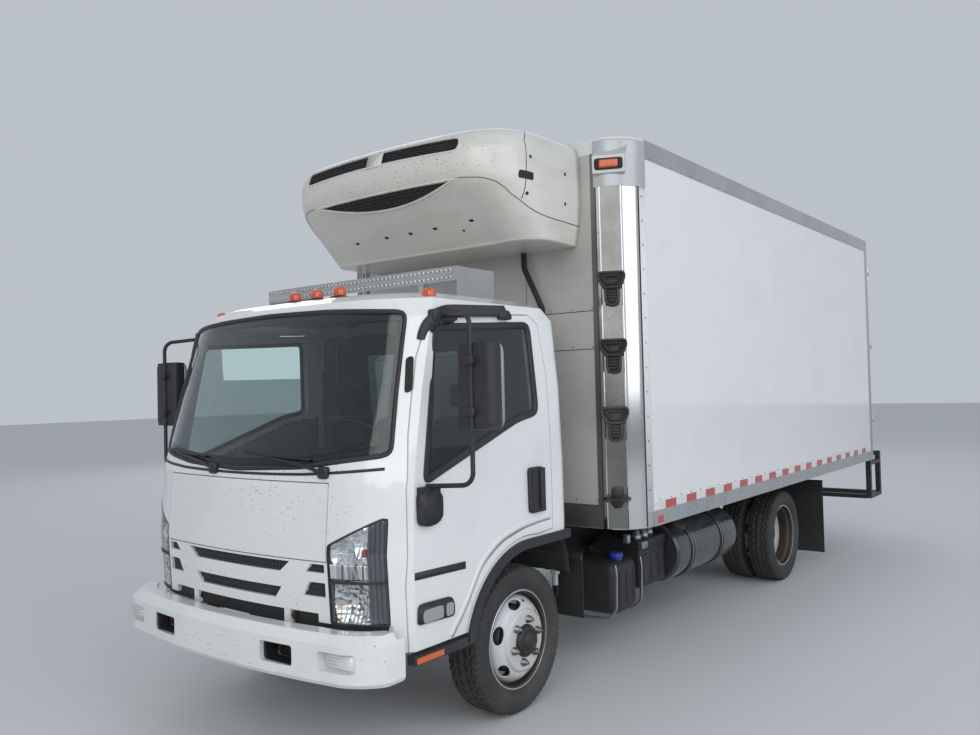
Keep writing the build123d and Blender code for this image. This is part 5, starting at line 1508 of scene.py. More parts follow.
flank_outward = (1, 0, 0.1)
window_path = rounded_path(window_corners, 0.075, 260)
window_seal = (
    (-0.012, -0.007), (-0.012, 0.003), (-0.006, 0.006), (0.010, 0.006), (0.024, 0.001), (0.026, -0.0045),
    (0.022, -0.007)
)
seal_part = carried_part(on_flank(window_path, 0.0), flank_outward, window_seal, True)
drip_path = rounded_path(
    ((-0.735, 1.960), (-0.712, 2.050), (-0.665, 2.108), (-0.590, 2.126), (-0.085, 2.152)), 0.09, 110, False
)
visor_profile = (
    (-0.026, -0.003), (-0.028, 0.018), (0.012, 0.032), (0.032, 0.033), (0.034, 0.026), (0.026, -0.002)
)
visor = carried_part(on_flank(drip_path, 0.0), flank_outward, visor_profile)
clips = [
    prism(rounded_outline(0.090, 0.052, 0.012, 28) + place, from_flank, 0.000, 0.034)
    for place in ((-0.128, 2.128), (-0.612, 2.112))
]
to_door("window_trim", [seal_part, visor, *clips], black_plastic, "black_plastic")
handle_case = prism(rounded_outline(0.128, 0.242, 0.030, 60) + (0.080, 1.190), from_flank, -0.004, 0.020)
handle_corners = ((0.022, 1.075), (0.138, 1.075), (0.138, 1.305), (0.022, 1.305))
handle_line = on_flank(rounded_path(handle_corners, 0.03, 90), 0.021)
handle_rim = carried_part(handle_line, flank_outward, ridge(0.006, 0.004, -0.006, 0.003), True)
handle_bar = soft_block((1.004, 0.094, 1.085), (1.028, 0.130, 1.298), 0.010)
name_strip = prism(
    ((-0.884, 0.8805), (-0.525, 0.8715), (-0.525, 0.9065), (-0.884, 0.9145)), from_flank, -0.002, 0.004
)
pad_path = (
    (-0.862, 1.140), (-0.862, 1.262), (-0.832, 1.286), (-0.738, 1.304), (-0.734, 1.262), (-0.714, 1.250),
    (-0.716, 1.152), (-0.757, 1.123), (-0.816, 1.117), (-0.848, 1.122)
)
mirror_pad = prism(rounded_path(pad_path, 0.018, 60), from_flank, -0.004, 0.036)
upper_clamp = soft_block((0.930, -0.700, 2.066), (0.984, -0.540, 2.128), 0.014)
to_door(
    "door_fittings", [handle_case, handle_rim, handle_bar, name_strip, mirror_pad, upper_clamp],
    black_plastic, "black_plastic"
)
amber_strip = prism(((-0.898, 0.509), (-0.714, 0.509), (-0.714, 0.536), (-0.898, 0.536)),
                    lambda u, v, w: np.stack([1.003 + w, u, v], -1), 0.0, 0.005)
make_piece("side_reflectors", *both_sides([amber_strip]), amber_lens, "cab", "amber_lamp", smooth=False)

# Side turn lamps: a black bezel round two clear ribbed windows
lamp_bezel = prism(rounded_path((
    (-0.872, 0.676), (-0.868, 0.760), (-0.845, 0.768), (-0.640, 0.762), (-0.616, 0.728), (-0.618, 0.667)
), 0.014, 70), from_flank, -0.003, 0.010)
clear_parts = []
for left, right in ((-0.842, -0.702), (-0.682, -0.630)):
    clear_parts.append(prism(
        rounded_outline(right - left, 0.060, 0.008, 28) + ((left + right) / 2, 0.707), from_flank, 0.0,
        0.014
    ))
    for y in np.arange(left + 0.008, right - 0.004, 0.009):
        rib_line = on_flank(np.stack([np.full(4, y), np.linspace(0.680, 0.734, 4)], -1), 0.0138)
        clear_parts.append(carried_part(rib_line, flank_outward, ridge(0.0032, 0.002, -0.001, 0.0018)))
ribbed_clear = layered(
    "ribbed_clear", (0.42, 0.43, 0.44), (0.34, 0.35, 0.36), 0.14, metallic=0.3, coat=1.0, grain=300,
    relief=0.0002
)
to_door("turn_lamp_bezel", [lamp_bezel], black_plastic, "black_plastic")
to_door("turn_lamp_lens", clear_parts, ribbed_clear, "lamp_glass", smooth=False)

# Arch flares and sills.
# Black moulded flares edge the front wheel arches and run into the sills. The piece is the solid's own
# mesh, welded, without its straight wiper bars, whose place the shaped wipers take.
trim_copy = bmesh.new()
trim_copy.from_mesh(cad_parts["cab_trim"].data)
bmesh.ops.remove_doubles(trim_copy, verts=trim_copy.verts, dist=0.00002)
bars = [face for face in trim_copy.faces if face.calc_center_median().z > 1.30]
bmesh.ops.delete(trim_copy, geom=bars, context="FACES")
flare_mesh = bpy.data.meshes.new("arch_flares")
trim_copy.to_mesh(flare_mesh)
trim_copy.free()
flare_mesh.materials.clear()
flare_mesh.materials.append(black_plastic)
flares = bpy.data.objects.new("arch_flares", flare_mesh)
bpy.context.scene.collection.objects.link(flares)
flares.modifiers.new("shade_by_angle", "NODES").node_group = shade_by_angle
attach(flares, "cab")
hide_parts("cab_trim")

# Pillar vents, wipers and cowl.
# The pillars have a narrow black mesh vent beside the windshield. Two pantograph wipers are bolted to
# the cowl, with rubber blades that rest on the glass.


def on_pillar(u, v, w):
    """A place on the left pillar from across it, up and outwards, about a line that leans with the
    windshield's edge."""
    rise = v - 1.75
    return np.stack([
        0.923 - 0.155 * rise + 0.811 * u + 0.57 * w, -0.825 + 0.22 * rise + 0.585 * u - 0.79 * w,
        v + 0.24 * w
    ], -1)


vent_outline = ((-0.021, 1.728), (0.015, 1.737), (0.021, 1.905), (-0.017, 1.896))
vents = [prism(rounded_path(vent_outline, 0.010, 40), on_pillar, -0.006, 0.006)]
for height in np.linspace(1.748, 1.888, 11):
    ends = on_pillar(np.array((-0.015, 0.015)), np.array((height, height + 0.006)), np.full(2, 0.006))
    vents.append(carried_part(ends, (0.57, -0.79, 0.24), ridge(0.002, 0.002, -0.001, 0.002)))
make_piece("pillar_vents", *both_sides(vents), rubber_black, "cab", "black_plastic", smooth=False)

wiper_black = layered(
    "wiper_black", (0.016, 0.016, 0.017), (0.028, 0.028, 0.028), 0.38, grain=500, relief=0.0002
)
wiper_outward = (0, -1, 0.3)
wiper_parts = []
for pivot_x, pivot_z in ((-0.187, 1.366), (0.609, 1.370)):
    hub_y = float(skin_front(np.array([pivot_x]), np.array([pivot_z]))[0])
    wiper_parts.append(soft_block(
        (pivot_x - 0.030, hub_y - 0.026, pivot_z - 0.028),
        (pivot_x + 0.030, hub_y + 0.012, pivot_z + 0.028), 0.012
    ))
    arm = rounded_path(
        ((pivot_x, pivot_z), (pivot_x - 0.10, pivot_z + 0.028), (pivot_x - 0.40, pivot_z + 0.070)), 0.05,
        50, False
    )
    arm_line = on_front(arm, 0.022)
    wiper_parts.append(carried_part(arm_line, wiper_outward, ridge(0.009, 0.007, -0.004, 0.004)))
    blade = np.stack([
        np.linspace(pivot_x - 0.56, pivot_x - 0.10, 60), np.linspace(pivot_z + 0.086, pivot_z + 0.056, 60)
    ], -1)
    blade_line = on_front(blade, 0.010)
    wiper_parts.append(carried_part(
        blade_line, wiper_outward, ((-0.006, 0.004), (0.006, 0.004), (0.002, -0.009), (-0.002, -0.009))
    ))
    bridge = blade_line[8:52] + (0, -0.010, 0)
    bridge[:, 1] -= 0.006 * np.sin(np.linspace(0, np.pi, 44))
    wiper_parts.append(carried_part(bridge, wiper_outward, ridge(0.004, 0.004, -0.003, 0.003)))
make_piece("wipers", *joined(wiper_parts), wiper_black, "cab", "black_plastic")
cowl_x = np.linspace(-0.885, 0.885, 160)
cowl_z = 1.352 + 0.022 * (cowl_x / 0.885) ** 2 + 0.030 * np.maximum(np.abs(cowl_x) / 0.885 - 0.55, 0)
cowl_line = on_front(np.stack([cowl_x, cowl_z], -1), 0.0)
make_piece("cowl_strip", *carried_part(cowl_line, wiper_outward, ridge(0.008, 0.006, -0.006, 0.004)),
           black_plastic, "cab", "black_plastic")

# Front panel gap, bumper lamps and tow hooks.
# A black strip closes the gap between the cab and the bumper's shelf. The bumper's inner recesses hold
# the tow eyes, and the outer ones ribbed white lamp blanks.
gap_x = np.linspace(-0.93, 0.93, 180)
gap_y = skin_front(gap_x, np.full(180, 0.70)) + 0.030
gap_top = np.where(np.abs(gap_x) < 0.640, 0.735, 0.677)
gap_profile = ((0, 0.650), (-0.008, 0.690), (0, 0.735), (0.012, 0.735), (0.012, 0.650))
gap_points = np.stack(
    [np.stack([gap_x, gap_y + shift, np.minimum(z, gap_top)], -1) for shift, z in gap_profile], 1
)
make_piece("gap_strip", *capped(gap_points), rubber_black, "cab", "black_plastic", smooth=False)


def bumper_face(u, v, w):
    """A place in front of the bumper's recess backs from across, up and forwards."""
    depth = np.where(np.abs(u) < 0.62, -1.150, -1.172)
    return np.stack([u, depth - w, v], -1)


blank_parts = [prism(rounded_outline(0.184, 0.072, 0.014, 40) + (0.800, 0.560), bumper_face, -0.002, 0.006)]
for z in (0.538, 0.553, 0.568, 0.583):
    blank_parts.append(
        prism(rounded_outline(0.160, 0.0055, 0.004, 20) + (0.800, z), bumper_face, 0.004, 0.011)
    )
make_piece("bumper_blanks", *both_sides(blank_parts), cab_white, "chassis", "cab_paint")
recess_back = prism(rounded_outline(0.200, 0.088, 0.014, 40) + (0.451, 0.560), bumper_face, -0.002, 0.001)
hook_path = rounded_path(
    ((0.385, 0.545), (0.400, 0.582), (0.452, 0.590), (0.500, 0.578), (0.516, 0.545)), 0.03, 40, False
)
hook_line = np.stack([hook_path[:, 0], np.full(40, -1.172), hook_path[:, 1]], -1)
hook = carried_part(hook_line, forwards, round_profile(0.008, 10))
make_piece("tow_hooks", *both_sides([recess_back, hook]), axle_black, "chassis", "axle_iron")

# Wheel arch lips.
# A pressed swage follows each arch on the painted side, above the black flare.
lip_corners = (
    (-0.659, 0.560), (-0.541, 0.680), (-0.393, 0.888), (-0.242, 0.978), (-0.062, 1.018), (0.130, 1.033),
    (0.243, 1.036)
)
lip_path = rounded_path(lip_corners, 0.10, 120, False)
lip_part = carried_part(
    on_flank(lip_path, 0.0), flank_outward,
    ((-0.016, -0.003), (-0.010, 0.0015), (0.0, 0.0035), (0.008, 0.0015), (0.030, -0.003))
)
to_door("arch_swage", [lip_part], cab_white, "cab_paint")

# Mirror heads.
# Each head is a deep black moulded shell on the tube, with a grey rim and a flat silvered glass that
# faces backwards.
mirror_shell = soft_block((1.140, -0.748, 1.556), (1.350, -0.652, 1.954), 0.034, 6)
rim_corners = ((1.148, 1.564), (1.342, 1.564), (1.342, 1.946), (1.148, 1.946))
rim_line = rounded_path(rim_corners, 0.06, 120)
rim_line = np.stack([rim_line[:, 0], np.full(120, -0.657), rim_line[:, 1]], -1)
rim_part = carried_part(
    rim_line, backwards, ((-0.007, -0.014), (-0.007, 0.004), (0.004, 0.006), (0.008, 0.0), (0.008, -0.014)),
    True
)


def on_mirror(u, v, w):
    """A place on the left mirror's glass from across, up and backwards."""
    return np.stack([u, -0.653 + w, v], -1)


glass_part = prism(rounded_outline(0.184, 0.372, 0.05, 60) + (1.245, 1.755), on_mirror, -0.002, 0.003)
brackets = [soft_block((1.205, -0.778, z - 0.022), (1.262, -0.728, z + 0.022), 0.010) for z in (1.640, 1.870)]
mirror_rim_grey = layered(
    "mirror_rim_grey", (0.30, 0.31, 0.31), (0.24, 0.25, 0.25), 0.3, coat=0.6, grain=400, relief=0.0001
)
mirror_silver = layered(
    "mirror_silver", (0.85, 0.86, 0.87), (0.82, 0.83, 0.84), 0.02, metallic=1.0, grain=20, relief=0.0
)
to_door("mirror_shell", [mirror_shell, *brackets], black_plastic, "black_plastic")
to_door("mirror_rim", [rim_part], mirror_rim_grey, "black_plastic")
to_door("mirror_face", [glass_part], mirror_silver, "polished_steel", smooth=False)

# Cab lining.
# Inside the steel shell the cab is trimmed in grey moulded board: walls and headlining, with a card
# on each door. The trim follows the shell a little way in.
trim_heights = np.concatenate([np.linspace(0.905, 2.120, 64), np.linspace(2.130, 2.185, 6)])


def lining_outline(height, inset):
    """One level of the cab's inner outline: the shell's own arcs and sides drawn in by an inset."""
    row = np.array([
        np.interp(height, cab_levels[:, 0], cab_levels[:, column])
        for column in range(cab_levels.shape[1])
    ])
    _, nose_y, shoulder_x, shoulder_y, cheek_x, cheek_y, side_x, side_y = row
    back_y = np.interp(
        height, (0.56, 1.0, 1.34, 1.74, 2.12, 2.19), (0.415, 0.428, 0.430, 0.430, 0.405, 0.350)
    ) - inset
    x = np.linspace(0, side_x - inset, 60)
    front = np.stack([x, skin_front(x, np.full(60, height)) + inset], -1)
    front[:, 1] = np.minimum(front[:, 1], side_y)
    side = np.stack([np.full(70, side_x - inset), np.linspace(front[-1, 1], back_y - 0.08, 70)], -1)
    back = np.stack([np.linspace(side_x - inset - 0.02, 0, 40), np.full(40, back_y)], -1)
    half = np.concatenate([front, side, back])
    return np.concatenate([half, half[-2:0:-1] * (-1, 1)])


def at_height(outline, height):
    """A level outline's points with their height."""
    return np.column_stack([outline, np.full(len(outline), height)])


lining = np.stack([at_height(lining_outline(z, 0.056), z) for z in trim_heights])
lining_faces = grid_faces(*lining.shape[:2], False, True)
middles = lining.reshape(-1, 3)[lining_faces].mean(1)
across = np.abs(middles[:, 0])
glazed = (middles[:, 1] < -0.60) & (middles[:, 2] > 1.30) & (across < 0.92)
rear_glass = (middles[:, 1] > 0.25) & (across < 0.565) & (np.abs(middles[:, 2] - 1.740) < 0.245)
door_zone = (across > 0.84) & (middles[:, 1] > -0.93) & (middles[:, 1] < 0.262)
dash_zone = (middles[:, 1] < -0.55) & (middles[:, 2] < 1.31)
kept = ~(glazed | rear_glass | door_zone | dash_zone)
trim_board = layered("trim_board", (0.17, 0.17, 0.165), (0.21, 0.21, 0.205), 0.75, grain=1100, relief=0.0003)
lining_count = lining.shape[0] * lining.shape[1]
ceiling = list(range(lining_count - lining.shape[1], lining_count))
lining_piece = make_piece(
    "cab_lining", lining, [list(face) for face in lining_faces[kept]] + [ceiling], trim_board, "cab",
    "grey_trim"
)
thicken(lining_piece, 0.003, 0)


def skin_side(z):
    """Half width of the cab's flat side at a height."""
    return np.interp(z, cab_levels[:, 0], cab_levels[:, 6])


card_y, card_z = stepped((-0.78, 0.225, 90), (0.80, 1.575, 70))
card_x = skin_side(card_z) - 0.0535
armrest = 0.030 * np.exp(-((card_z - 1.20) / 0.045) ** 4) * np.clip(
    (card_y + 0.72) / 0.06, 0, 1
) * np.clip((0.16 - card_y) / 0.06, 0, 1)
pocket = 0.014 * np.exp(-((card_z - 0.96) / 0.07) ** 4) * np.clip(
    (card_y + 0.70) / 0.05, 0, 1
) * np.clip((0.02 - card_y) / 0.05, 0, 1)
card = np.stack([card_x - armrest - pocket, card_y, card_z], -1)
card_faces = grid_faces(90, 70)
card_middles = card.reshape(-1, 3)[card_faces].mean(1)
sill_line = np.interp(card_middles[:, 1], (-0.80, -0.05, 0.24), (1.285, 1.545, 1.575))
arch_line = np.interp(card_middles[:, 1], (-0.55, -0.33, -0.10, 0.10, 0.24), (0.62, 0.88, 0.955, 0.985, 0.99))
card_faces = card_faces[(card_middles[:, 2] < sill_line) & (card_middles[:, 2] > arch_line)]
for side, s in (("left", 1), ("right", -1)):
    faces = card_faces[:, ::-1] if s > 0 else card_faces
    door_card = make_piece(
        f"door_card_{side}", card * (s, 1, 1), faces, trim_board, f"door_{side}", "grey_trim"
    )
    thicken(door_card, 0.003, 0)

# Dashboard fittings.
# The moulded dashboard carries an instrument hood before the driver, a centre stack with a blank
# screen and round vents, and stalks on the column.
dash_parts = [
    soft_block((0.190, -0.900, 1.300), (0.610, -0.690, 1.420), 0.035, 5),
    soft_block((-0.170, -0.760, 1.080), (0.170, -0.660, 1.315), 0.030, 5),
    soft_block((-0.800, -0.790, 1.290), (-0.250, -0.700, 1.345), 0.020, 4),
    soft_block((0.250, -0.700, 1.385), (0.330, -0.640, 1.400), 0.006, 3),
    soft_block((0.470, -0.700, 1.385), (0.550, -0.640, 1.400), 0.006, 3),
]
make_piece("dash_fittings", *joined(dash_parts), interior_grey, "cab", "grey_trim")
screen_parts = [soft_block((-0.110, -0.668, 1.200), (0.110, -0.654, 1.300), 0.004, 2)]
for x in (-0.130, 0.130, -0.780, 0.780):
    screen_parts.append(soft_block(
        (x - 0.036, -0.664 - 0.070 * (abs(x) > 0.5), 1.155 + 0.085 * (abs(x) > 0.5)),
        (x + 0.036, -0.650 - 0.070 * (abs(x) > 0.5), 1.190 + 0.085 * (abs(x) > 0.5)), 0.006, 2
    ))
gloss_black = layered(
    "gloss_black", (0.012, 0.012, 0.014), (0.02, 0.02, 0.02), 0.12, coat=0.8, grain=300, relief=0.00005
)
make_piece("dash_screen", *joined(screen_parts), gloss_black, "cab", "black_plastic")

# Seats.
# Three foam seats are covered in dark woven cloth, pulled in along sewn channels. Each has a crowned
# cushion and a backrest, and the outer two a headrest, blown up by cloth simulation from slightly smaller
# blanks.
# Columns: middle x, width, headrest
seat_rows = ((0.480, 0.500, True), (-0.520, 0.460, True), (-0.060, 0.380, False))
weave_scale = 700


def cloth_finish(name, yarn, valley):
    """Woven cloth: two crossed fine waves for warp and weft, with worn, paler patches."""
    material, tree, shader, place = shader_kit(name)
    waves = []
    for direction in ("X", "Z"):
        wave = tree.nodes.new("ShaderNodeTexWave")
        wave.bands_direction = direction
        wave.inputs["Scale"].default_value = weave_scale / 6
        wave.inputs["Distortion"].default_value = 0.4
        tree.links.new(place, wave.inputs["Vector"])
        waves.append(wave.outputs["Fac"])
    weave = product(tree, waves[0], waves[1])
    worn = ramp(tree, noise(tree, place, 5.0, 5.0), 0.45, 0.8, 0.0, 0.4)
    tone = mix_colour(tree, weave, valley, yarn)
    tone = mix_colour(tree, worn, tone, tuple(value * 1.5 + 0.01 for value in yarn))
    tree.links.new(tone, shader.inputs["Base Color"])
    shader.inputs["Roughness"].default_value = 0.92
    shader.inputs["Sheen Weight"].default_value = 0.35
    shader.inputs["Sheen Roughness"].default_value = 0.5
    bump(tree, shader, weave, 0.5, 0.0008)
    return material


cushion_cloth = cloth_finish("cushion_cloth", (0.105, 0.110, 0.125), (0.045, 0.047, 0.052))


def pad_blank(corners, width, middle_x, radius=0.035, rings=9):
    """A pad's blank: a side outline of rounded corners carried across the seat, drawn in at both ends."""
    outline = rounded_path(corners, radius * 2, 72)
    centre = outline.mean(0)
    share = np.linspace(-1, 1, rings * 2 + 1)
    scale = 1 - 0.10 * np.abs(share) ** 5
    x = middle_x + share * width / 2
    points = np.stack([np.broadcast_to(x[:, None], (len(x), 72)),
                       centre[0] + (outline[None, :, 0] - centre[0]) * scale[:, None],
                       centre[1] + (outline[None, :, 1] - centre[1]) * scale[:, None]], -1)
    return capped(points)


def blown_pad(name, blank, reach, channels, axis_from, axis_to):
    """A padded piece: its blank remeshed and blown up by cloth pressure within a reach, then drawn in along
    channels whose places are shares of the way between two points."""
    pad = make_piece(name, *blank, cushion_cloth, "cab", "seat_cloth")
    remesh = pad.modifiers.new("skin", "REMESH")
    remesh.mode = "VOXEL"
    remesh.voxel_size = 0.011
    finished = bpy.data.meshes.new_from_object(pad.evaluated_get(bpy.context.evaluated_depsgraph_get()))
    pad.modifiers.remove(remesh)
    pad.data = finished
    start = np.empty(len(finished.vertices) * 3)
    finished.vertices.foreach_get("co", start)
    start = start.reshape(-1, 3)
    cloth = pad.modifiers.new("cloth", "CLOTH")
    cloth.settings.use_pressure = True
    cloth.settings.uniform_pressure_force = 4
    cloth.settings.effector_weights.gravity = 0
    cloth.settings.quality = 4
    cloth.settings.time_scale = 1.0
    for step in range(1, 17):
        bpy.context.scene.frame_set(step)
    blown = pad.evaluated_get(bpy.context.evaluated_depsgraph_get()).to_mesh()
    moved = np.empty(len(finished.vertices) * 3)
    blown.vertices.foreach_get("co", moved)
    moved = moved.reshape(-1, 3) - start
    pad.modifiers.remove(cloth)
    bpy.context.scene.frame_set(1)
    length = np.linalg.norm(moved, axis=1, keepdims=True)
    start = start + moved * np.minimum(1, reach / np.maximum(length, 1e-9))
    low = np.array(axis_from, dtype=float)
    run = np.array(axis_to, dtype=float) - low
    share = (start[:, 1:] - np.array((low[0] + front_axle_y, low[1]))) @ run / (run @ run)
    middle = start.mean(0)
    inwards = middle - start
    inwards /= np.linalg.norm(inwards, axis=1, keepdims=True)
    dent = sum(np.exp(-(((share - place) * np.linalg.norm(run)) / 0.007) ** 2) for place in channels)
    start = start + inwards * (0.011 * np.minimum(dent, 1))[:, None]
    finished.vertices.foreach_set("co", start.ravel())
    finished.materials.clear()
    finished.materials.append(cushion_cloth)
    finished.polygons.foreach_set("use_smooth", np.ones(len(finished.polygons), dtype=bool))
    finished.update()
    rounder = pad.modifiers.new("rounder", "SUBSURF")
    rounder.levels = 1
    rounder.render_levels = 1
    return pad


for number, (middle_x, width, headrest) in enumerate(seat_rows):
    cushion = ((-0.425, 1.085), (-0.430, 1.205), (0.010, 1.185), (0.045, 1.075))
    back = ((0.045, 1.195), (0.022, 1.205), (0.088, 1.600), (0.165, 1.600), (0.142, 1.190))
    blown_pad(
        f"seat_cushion_{number}", pad_blank(cushion, width - 0.03, middle_x), 0.012, (0.30, 0.52, 0.74),
        (-0.425, 1.145), (0.03, 1.13)
    )
    blown_pad(
        f"seat_back_{number}", pad_blank(back, width - 0.03, middle_x), 0.012, (0.28, 0.52, 0.76),
        (0.09, 1.19), (0.125, 1.60)
    )
    if headrest:
        head = ((0.105, 1.635), (0.118, 1.780), (0.200, 1.785), (0.190, 1.635))
        blown_pad(
            f"headrest_{number}", pad_blank(head, 0.250, middle_x, 0.03), 0.008, (0.5,), (0.14, 1.63),
            (0.155, 1.79)
        )
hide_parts("seats")
post_parts = []
for middle_x, width, headrest in seat_rows:
    if headrest:
        for x in (middle_x - 0.05, middle_x + 0.05):
            post_line = np.array(((x, 0.125, 1.585), (x, 0.150, 1.660)))
            post_parts.append(carried_part(post_line, backwards, round_profile(0.006, 12)))
    base = ((-0.400, 1.020), (-0.400, 1.082), (0.020, 1.076), (0.050, 1.020))
    lay_base = lambda u, v, w, m=middle_x: np.stack([m + w, u, v], -1)
    post_parts.append(prism(base, lay_base, 0.04 - width / 2, width / 2 - 0.04))
make_piece("seat_frames", *joined(post_parts), axle_black, "cab", "axle_iron", smooth=False)

# Steel wheels.
# Each rim is rolled steel, near-black partly with brake dust and partly as painted shade, with a pressed
# white disc welded in: six oval hand holes ring the disc's cone, and a step runs round the nut seat.
# Columns: distance out from the rim's middle, radius
rim_profile = (
    (-0.082, 0.258), (-0.082, 0.248), (-0.052, 0.248), (-0.042, 0.226), (0.028, 0.226), (0.040, 0.248),
    (0.082, 0.248), (0.082, 0.2575)
)
disc_profile = (
    (0.030, 0.229), (0.052, 0.2235), (0.076, 0.211), (0.095, 0.194), (0.1045, 0.178), (0.1050, 0.168),
    (0.1062, 0.163), (0.1205, 0.1565), (0.1240, 0.150), (0.122, 0.141), (0.122, 0.082)
)
hole_turn = math.radians(48)
hole_radius = 0.1985
hole_half = (0.047, 0.0295)


def disc_part(middle_x, facing, axle_y, around=330, rings=48):
    """A disc as rings about the axle. Points near a hand hole's oval are moved onto it along the line from
    its middle, and the faces inside it are left out."""
    path = rounded_path(disc_profile, 0.006, rings, False)
    run = np.concatenate([[0], np.cumsum(np.linalg.norm(np.diff(path, axis=0), axis=1))])
    hole_run = np.interp(-hole_radius, -path[:, 1], run)
    angle, run_here = np.meshgrid(np.linspace(0, 2 * np.pi, around, endpoint=False), run, indexing="ij")
    hole_angle = hole_turn + np.round((angle - hole_turn) / (np.pi / 3)) * np.pi / 3
    across = (angle - hole_angle) * hole_radius
    share = np.hypot(across / hole_half[0], (run_here - hole_run) / hole_half[1])
    near = np.abs(share - 1) < 0.10
    pull = np.where(near, 1 / np.maximum(share, 0.1), 1)
    angle = hole_angle + across * pull / hole_radius
    run_here = hole_run + (run_here - hole_run) * pull
    u = np.interp(run_here, run, path[:, 0])
    r = np.interp(run_here, run, path[:, 1])
    points = np.stack(
        [middle_x + facing * u, axle_y + r * np.sin(angle), axle_height + r * np.cos(angle)], -1
    )
    faces = grid_faces(around, rings, True, False)
    inside = np.where(near, 1.0, share).ravel()[faces].max(1) <= 1.0001
    return points, faces[~inside] if facing > 0 else faces[~inside][:, ::-1]


def rim_part(middle_x, facing, axle_y, around=128):
    """The rolled rim: its eased section turned about the axle."""
    path = rounded_path(rim_profile, 0.007, 48, False)
    angle = np.linspace(0, 2 * np.pi, around, endpoint=False)[:, None]
    points = np.stack([
        np.broadcast_to(middle_x + facing * path[None, :, 0], (around, len(path))),
        axle_y + path[None, :, 1] * np.sin(angle), axle_height + path[None, :, 1] * np.cos(angle)
    ], -1)
    return points, grid_faces(around, len(path), True, False)


# Near-black rim steel: partly brake dust, partly painted shade where the disc shades the barrel.
rim_grey = layered(
    "rim_grey", (0.030, 0.029, 0.029), (0.075, 0.050, 0.036), 0.5, metallic=0.2, grain=260, relief=0.0003
)
for corner, places in tyre_places.items():
    end = corner.split("_")[0]
    facings = [
        (middle_x, -outward if number else outward) for number, (middle_x, outward) in enumerate(places)
    ]
    discs = [disc_part(middle_x, facing, axle_places[end]) for middle_x, facing in facings]
    rims = [rim_part(middle_x, facing, axle_places[end]) for middle_x, facing in facings]
    wheel_skin = make_piece(
        f"wheel_skin_{corner}", *joined(discs), wheel_white, f"wheel_{corner}", "wheel_white",
        (f"wheel_{corner}",)
    )
    rim_skin = make_piece(f"rim_skin_{corner}", *joined(rims), rim_grey, f"wheel_{corner}", "wheel_white")
    for sheet in (wheel_skin, rim_skin):
        thicken(sheet, 0.0085, 0)

# Front arch liners.
# A black moulded liner closes each front wheel arch from the bumper's end, over the tyre, to the cab's
# back corner. It is screwed to the cab's floor.
liner_x = np.linspace(0.505, 0.930, 12)
liner_corners = {
    "arch_liners": (
        "cab",
        (
            (-0.640, 0.600), (-0.520, 0.690), (-0.385, 0.835), (-0.235, 0.915), (-0.050, 0.945),
            (0.180, 0.950), (0.330, 0.947)
        )
    ), "wheel_guards": ("chassis", ((0.352, 0.925), (0.430, 0.880), (0.485, 0.780), (0.497, 0.640))),
}
for name, (body, corners) in liner_corners.items():
    liner_path = rounded_path(corners, 0.10, 60, False)
    liner = np.stack([
        np.broadcast_to(liner_x[None, :], (60, 12)), np.repeat(liner_path[:, :1], 12, 1),
        np.repeat(liner_path[:, 1:], 12, 1) - 0.004 * np.cos(liner_x[None, :] * 2 * np.pi / 0.085)
    ], -1)
    liner_piece = make_piece(
        name, *both_sides([(liner, grid_faces(60, 12))]), rubber_black, body, "black_plastic"
    )
    thicken(liner_piece, 0.003)
stays = [soft_block((0.415, 0.478, 0.753), (0.900, 0.486, 0.777), 0.003, 4),
         soft_block((0.415, 0.440, 0.740), (0.428, 0.500, 0.790), 0.003, 4)]
make_piece("wheel_guard_stays", *both_sides(stays), chassis_black, "chassis", "chassis_black")

# Roof guard perforations and roof lamps.
# The guard's bar is grip plate with raised, open teeth, whose holes are black dots of painted shade. The five
# roof lamps are rounded amber lenses on black gaskets.
teeth_x = np.arange(-0.762, 0.763, 0.0318)
teeth_front = np.array([(x, -0.290, z) for x in teeth_x for z in (2.336, 2.374)])
teeth_top = np.array([(x + 0.0159, y, 2.394) for x in teeth_x[:-1] for y in (-0.272, -0.244)])
teeth = joined([domes(teeth_front, forwards, 0.0105, 0.0045), domes(teeth_top, upwards, 0.0105, 0.0045)])
make_piece("guard_teeth", *teeth, satin_aluminium, "cab", "aluminium", smooth=False)
# Black domes in the teeth: painted shade for the open holes.
holes = joined([domes(teeth_front, forwards, 0.0055, 0.0050), domes(teeth_top, upwards, 0.0055, 0.0050)])
make_piece("guard_holes", *holes, rubber_black, "cab", "black_plastic", smooth=False)
lamp_parts = []
gasket_parts = []
for x, y, z in (
    (0, -0.570, 2.2465), (0.185, -0.570, 2.2455), (-0.185, -0.570, 2.2455), (0.850, -0.590, 2.178),
    (-0.850, -0.590, 2.178)
):
    lamp_parts.append(soft_block((x - 0.036, y - 0.030, z), (x + 0.036, y + 0.030, z + 0.070), 0.0285, 8))
    gasket_parts.append(soft_block((x - 0.042, y - 0.036, z), (x + 0.042, y + 0.036, z + 0.018), 0.008))
roof_amber = layered(
    "roof_amber", (0.62, 0.085, 0.012), (0.52, 0.065, 0.010), 0.16, coat=1.0, grain=220, relief=0.0003
)
make_piece("roof_lamp_lenses", *joined(lamp_parts), roof_amber, "cab", "amber_lamp", ("roof_lamps",))
make_piece("roof_lamp_gaskets", *joined(gasket_parts), rubber_black, "cab", "black_plastic")

# Headlamp insides.
# Behind each lens a bright fluted bar crosses above the divider, an amber bulb stands beside the upper
# bowl, and a smoked ribbed strip fills the outer edge.
rib_pitch = 0.0175


def strip_depth(x, z):
    """Upright half-round ribs standing towards the lens."""
    return 0.0115 - 0.006 * np.abs(np.sin(x * np.pi / rib_pitch))


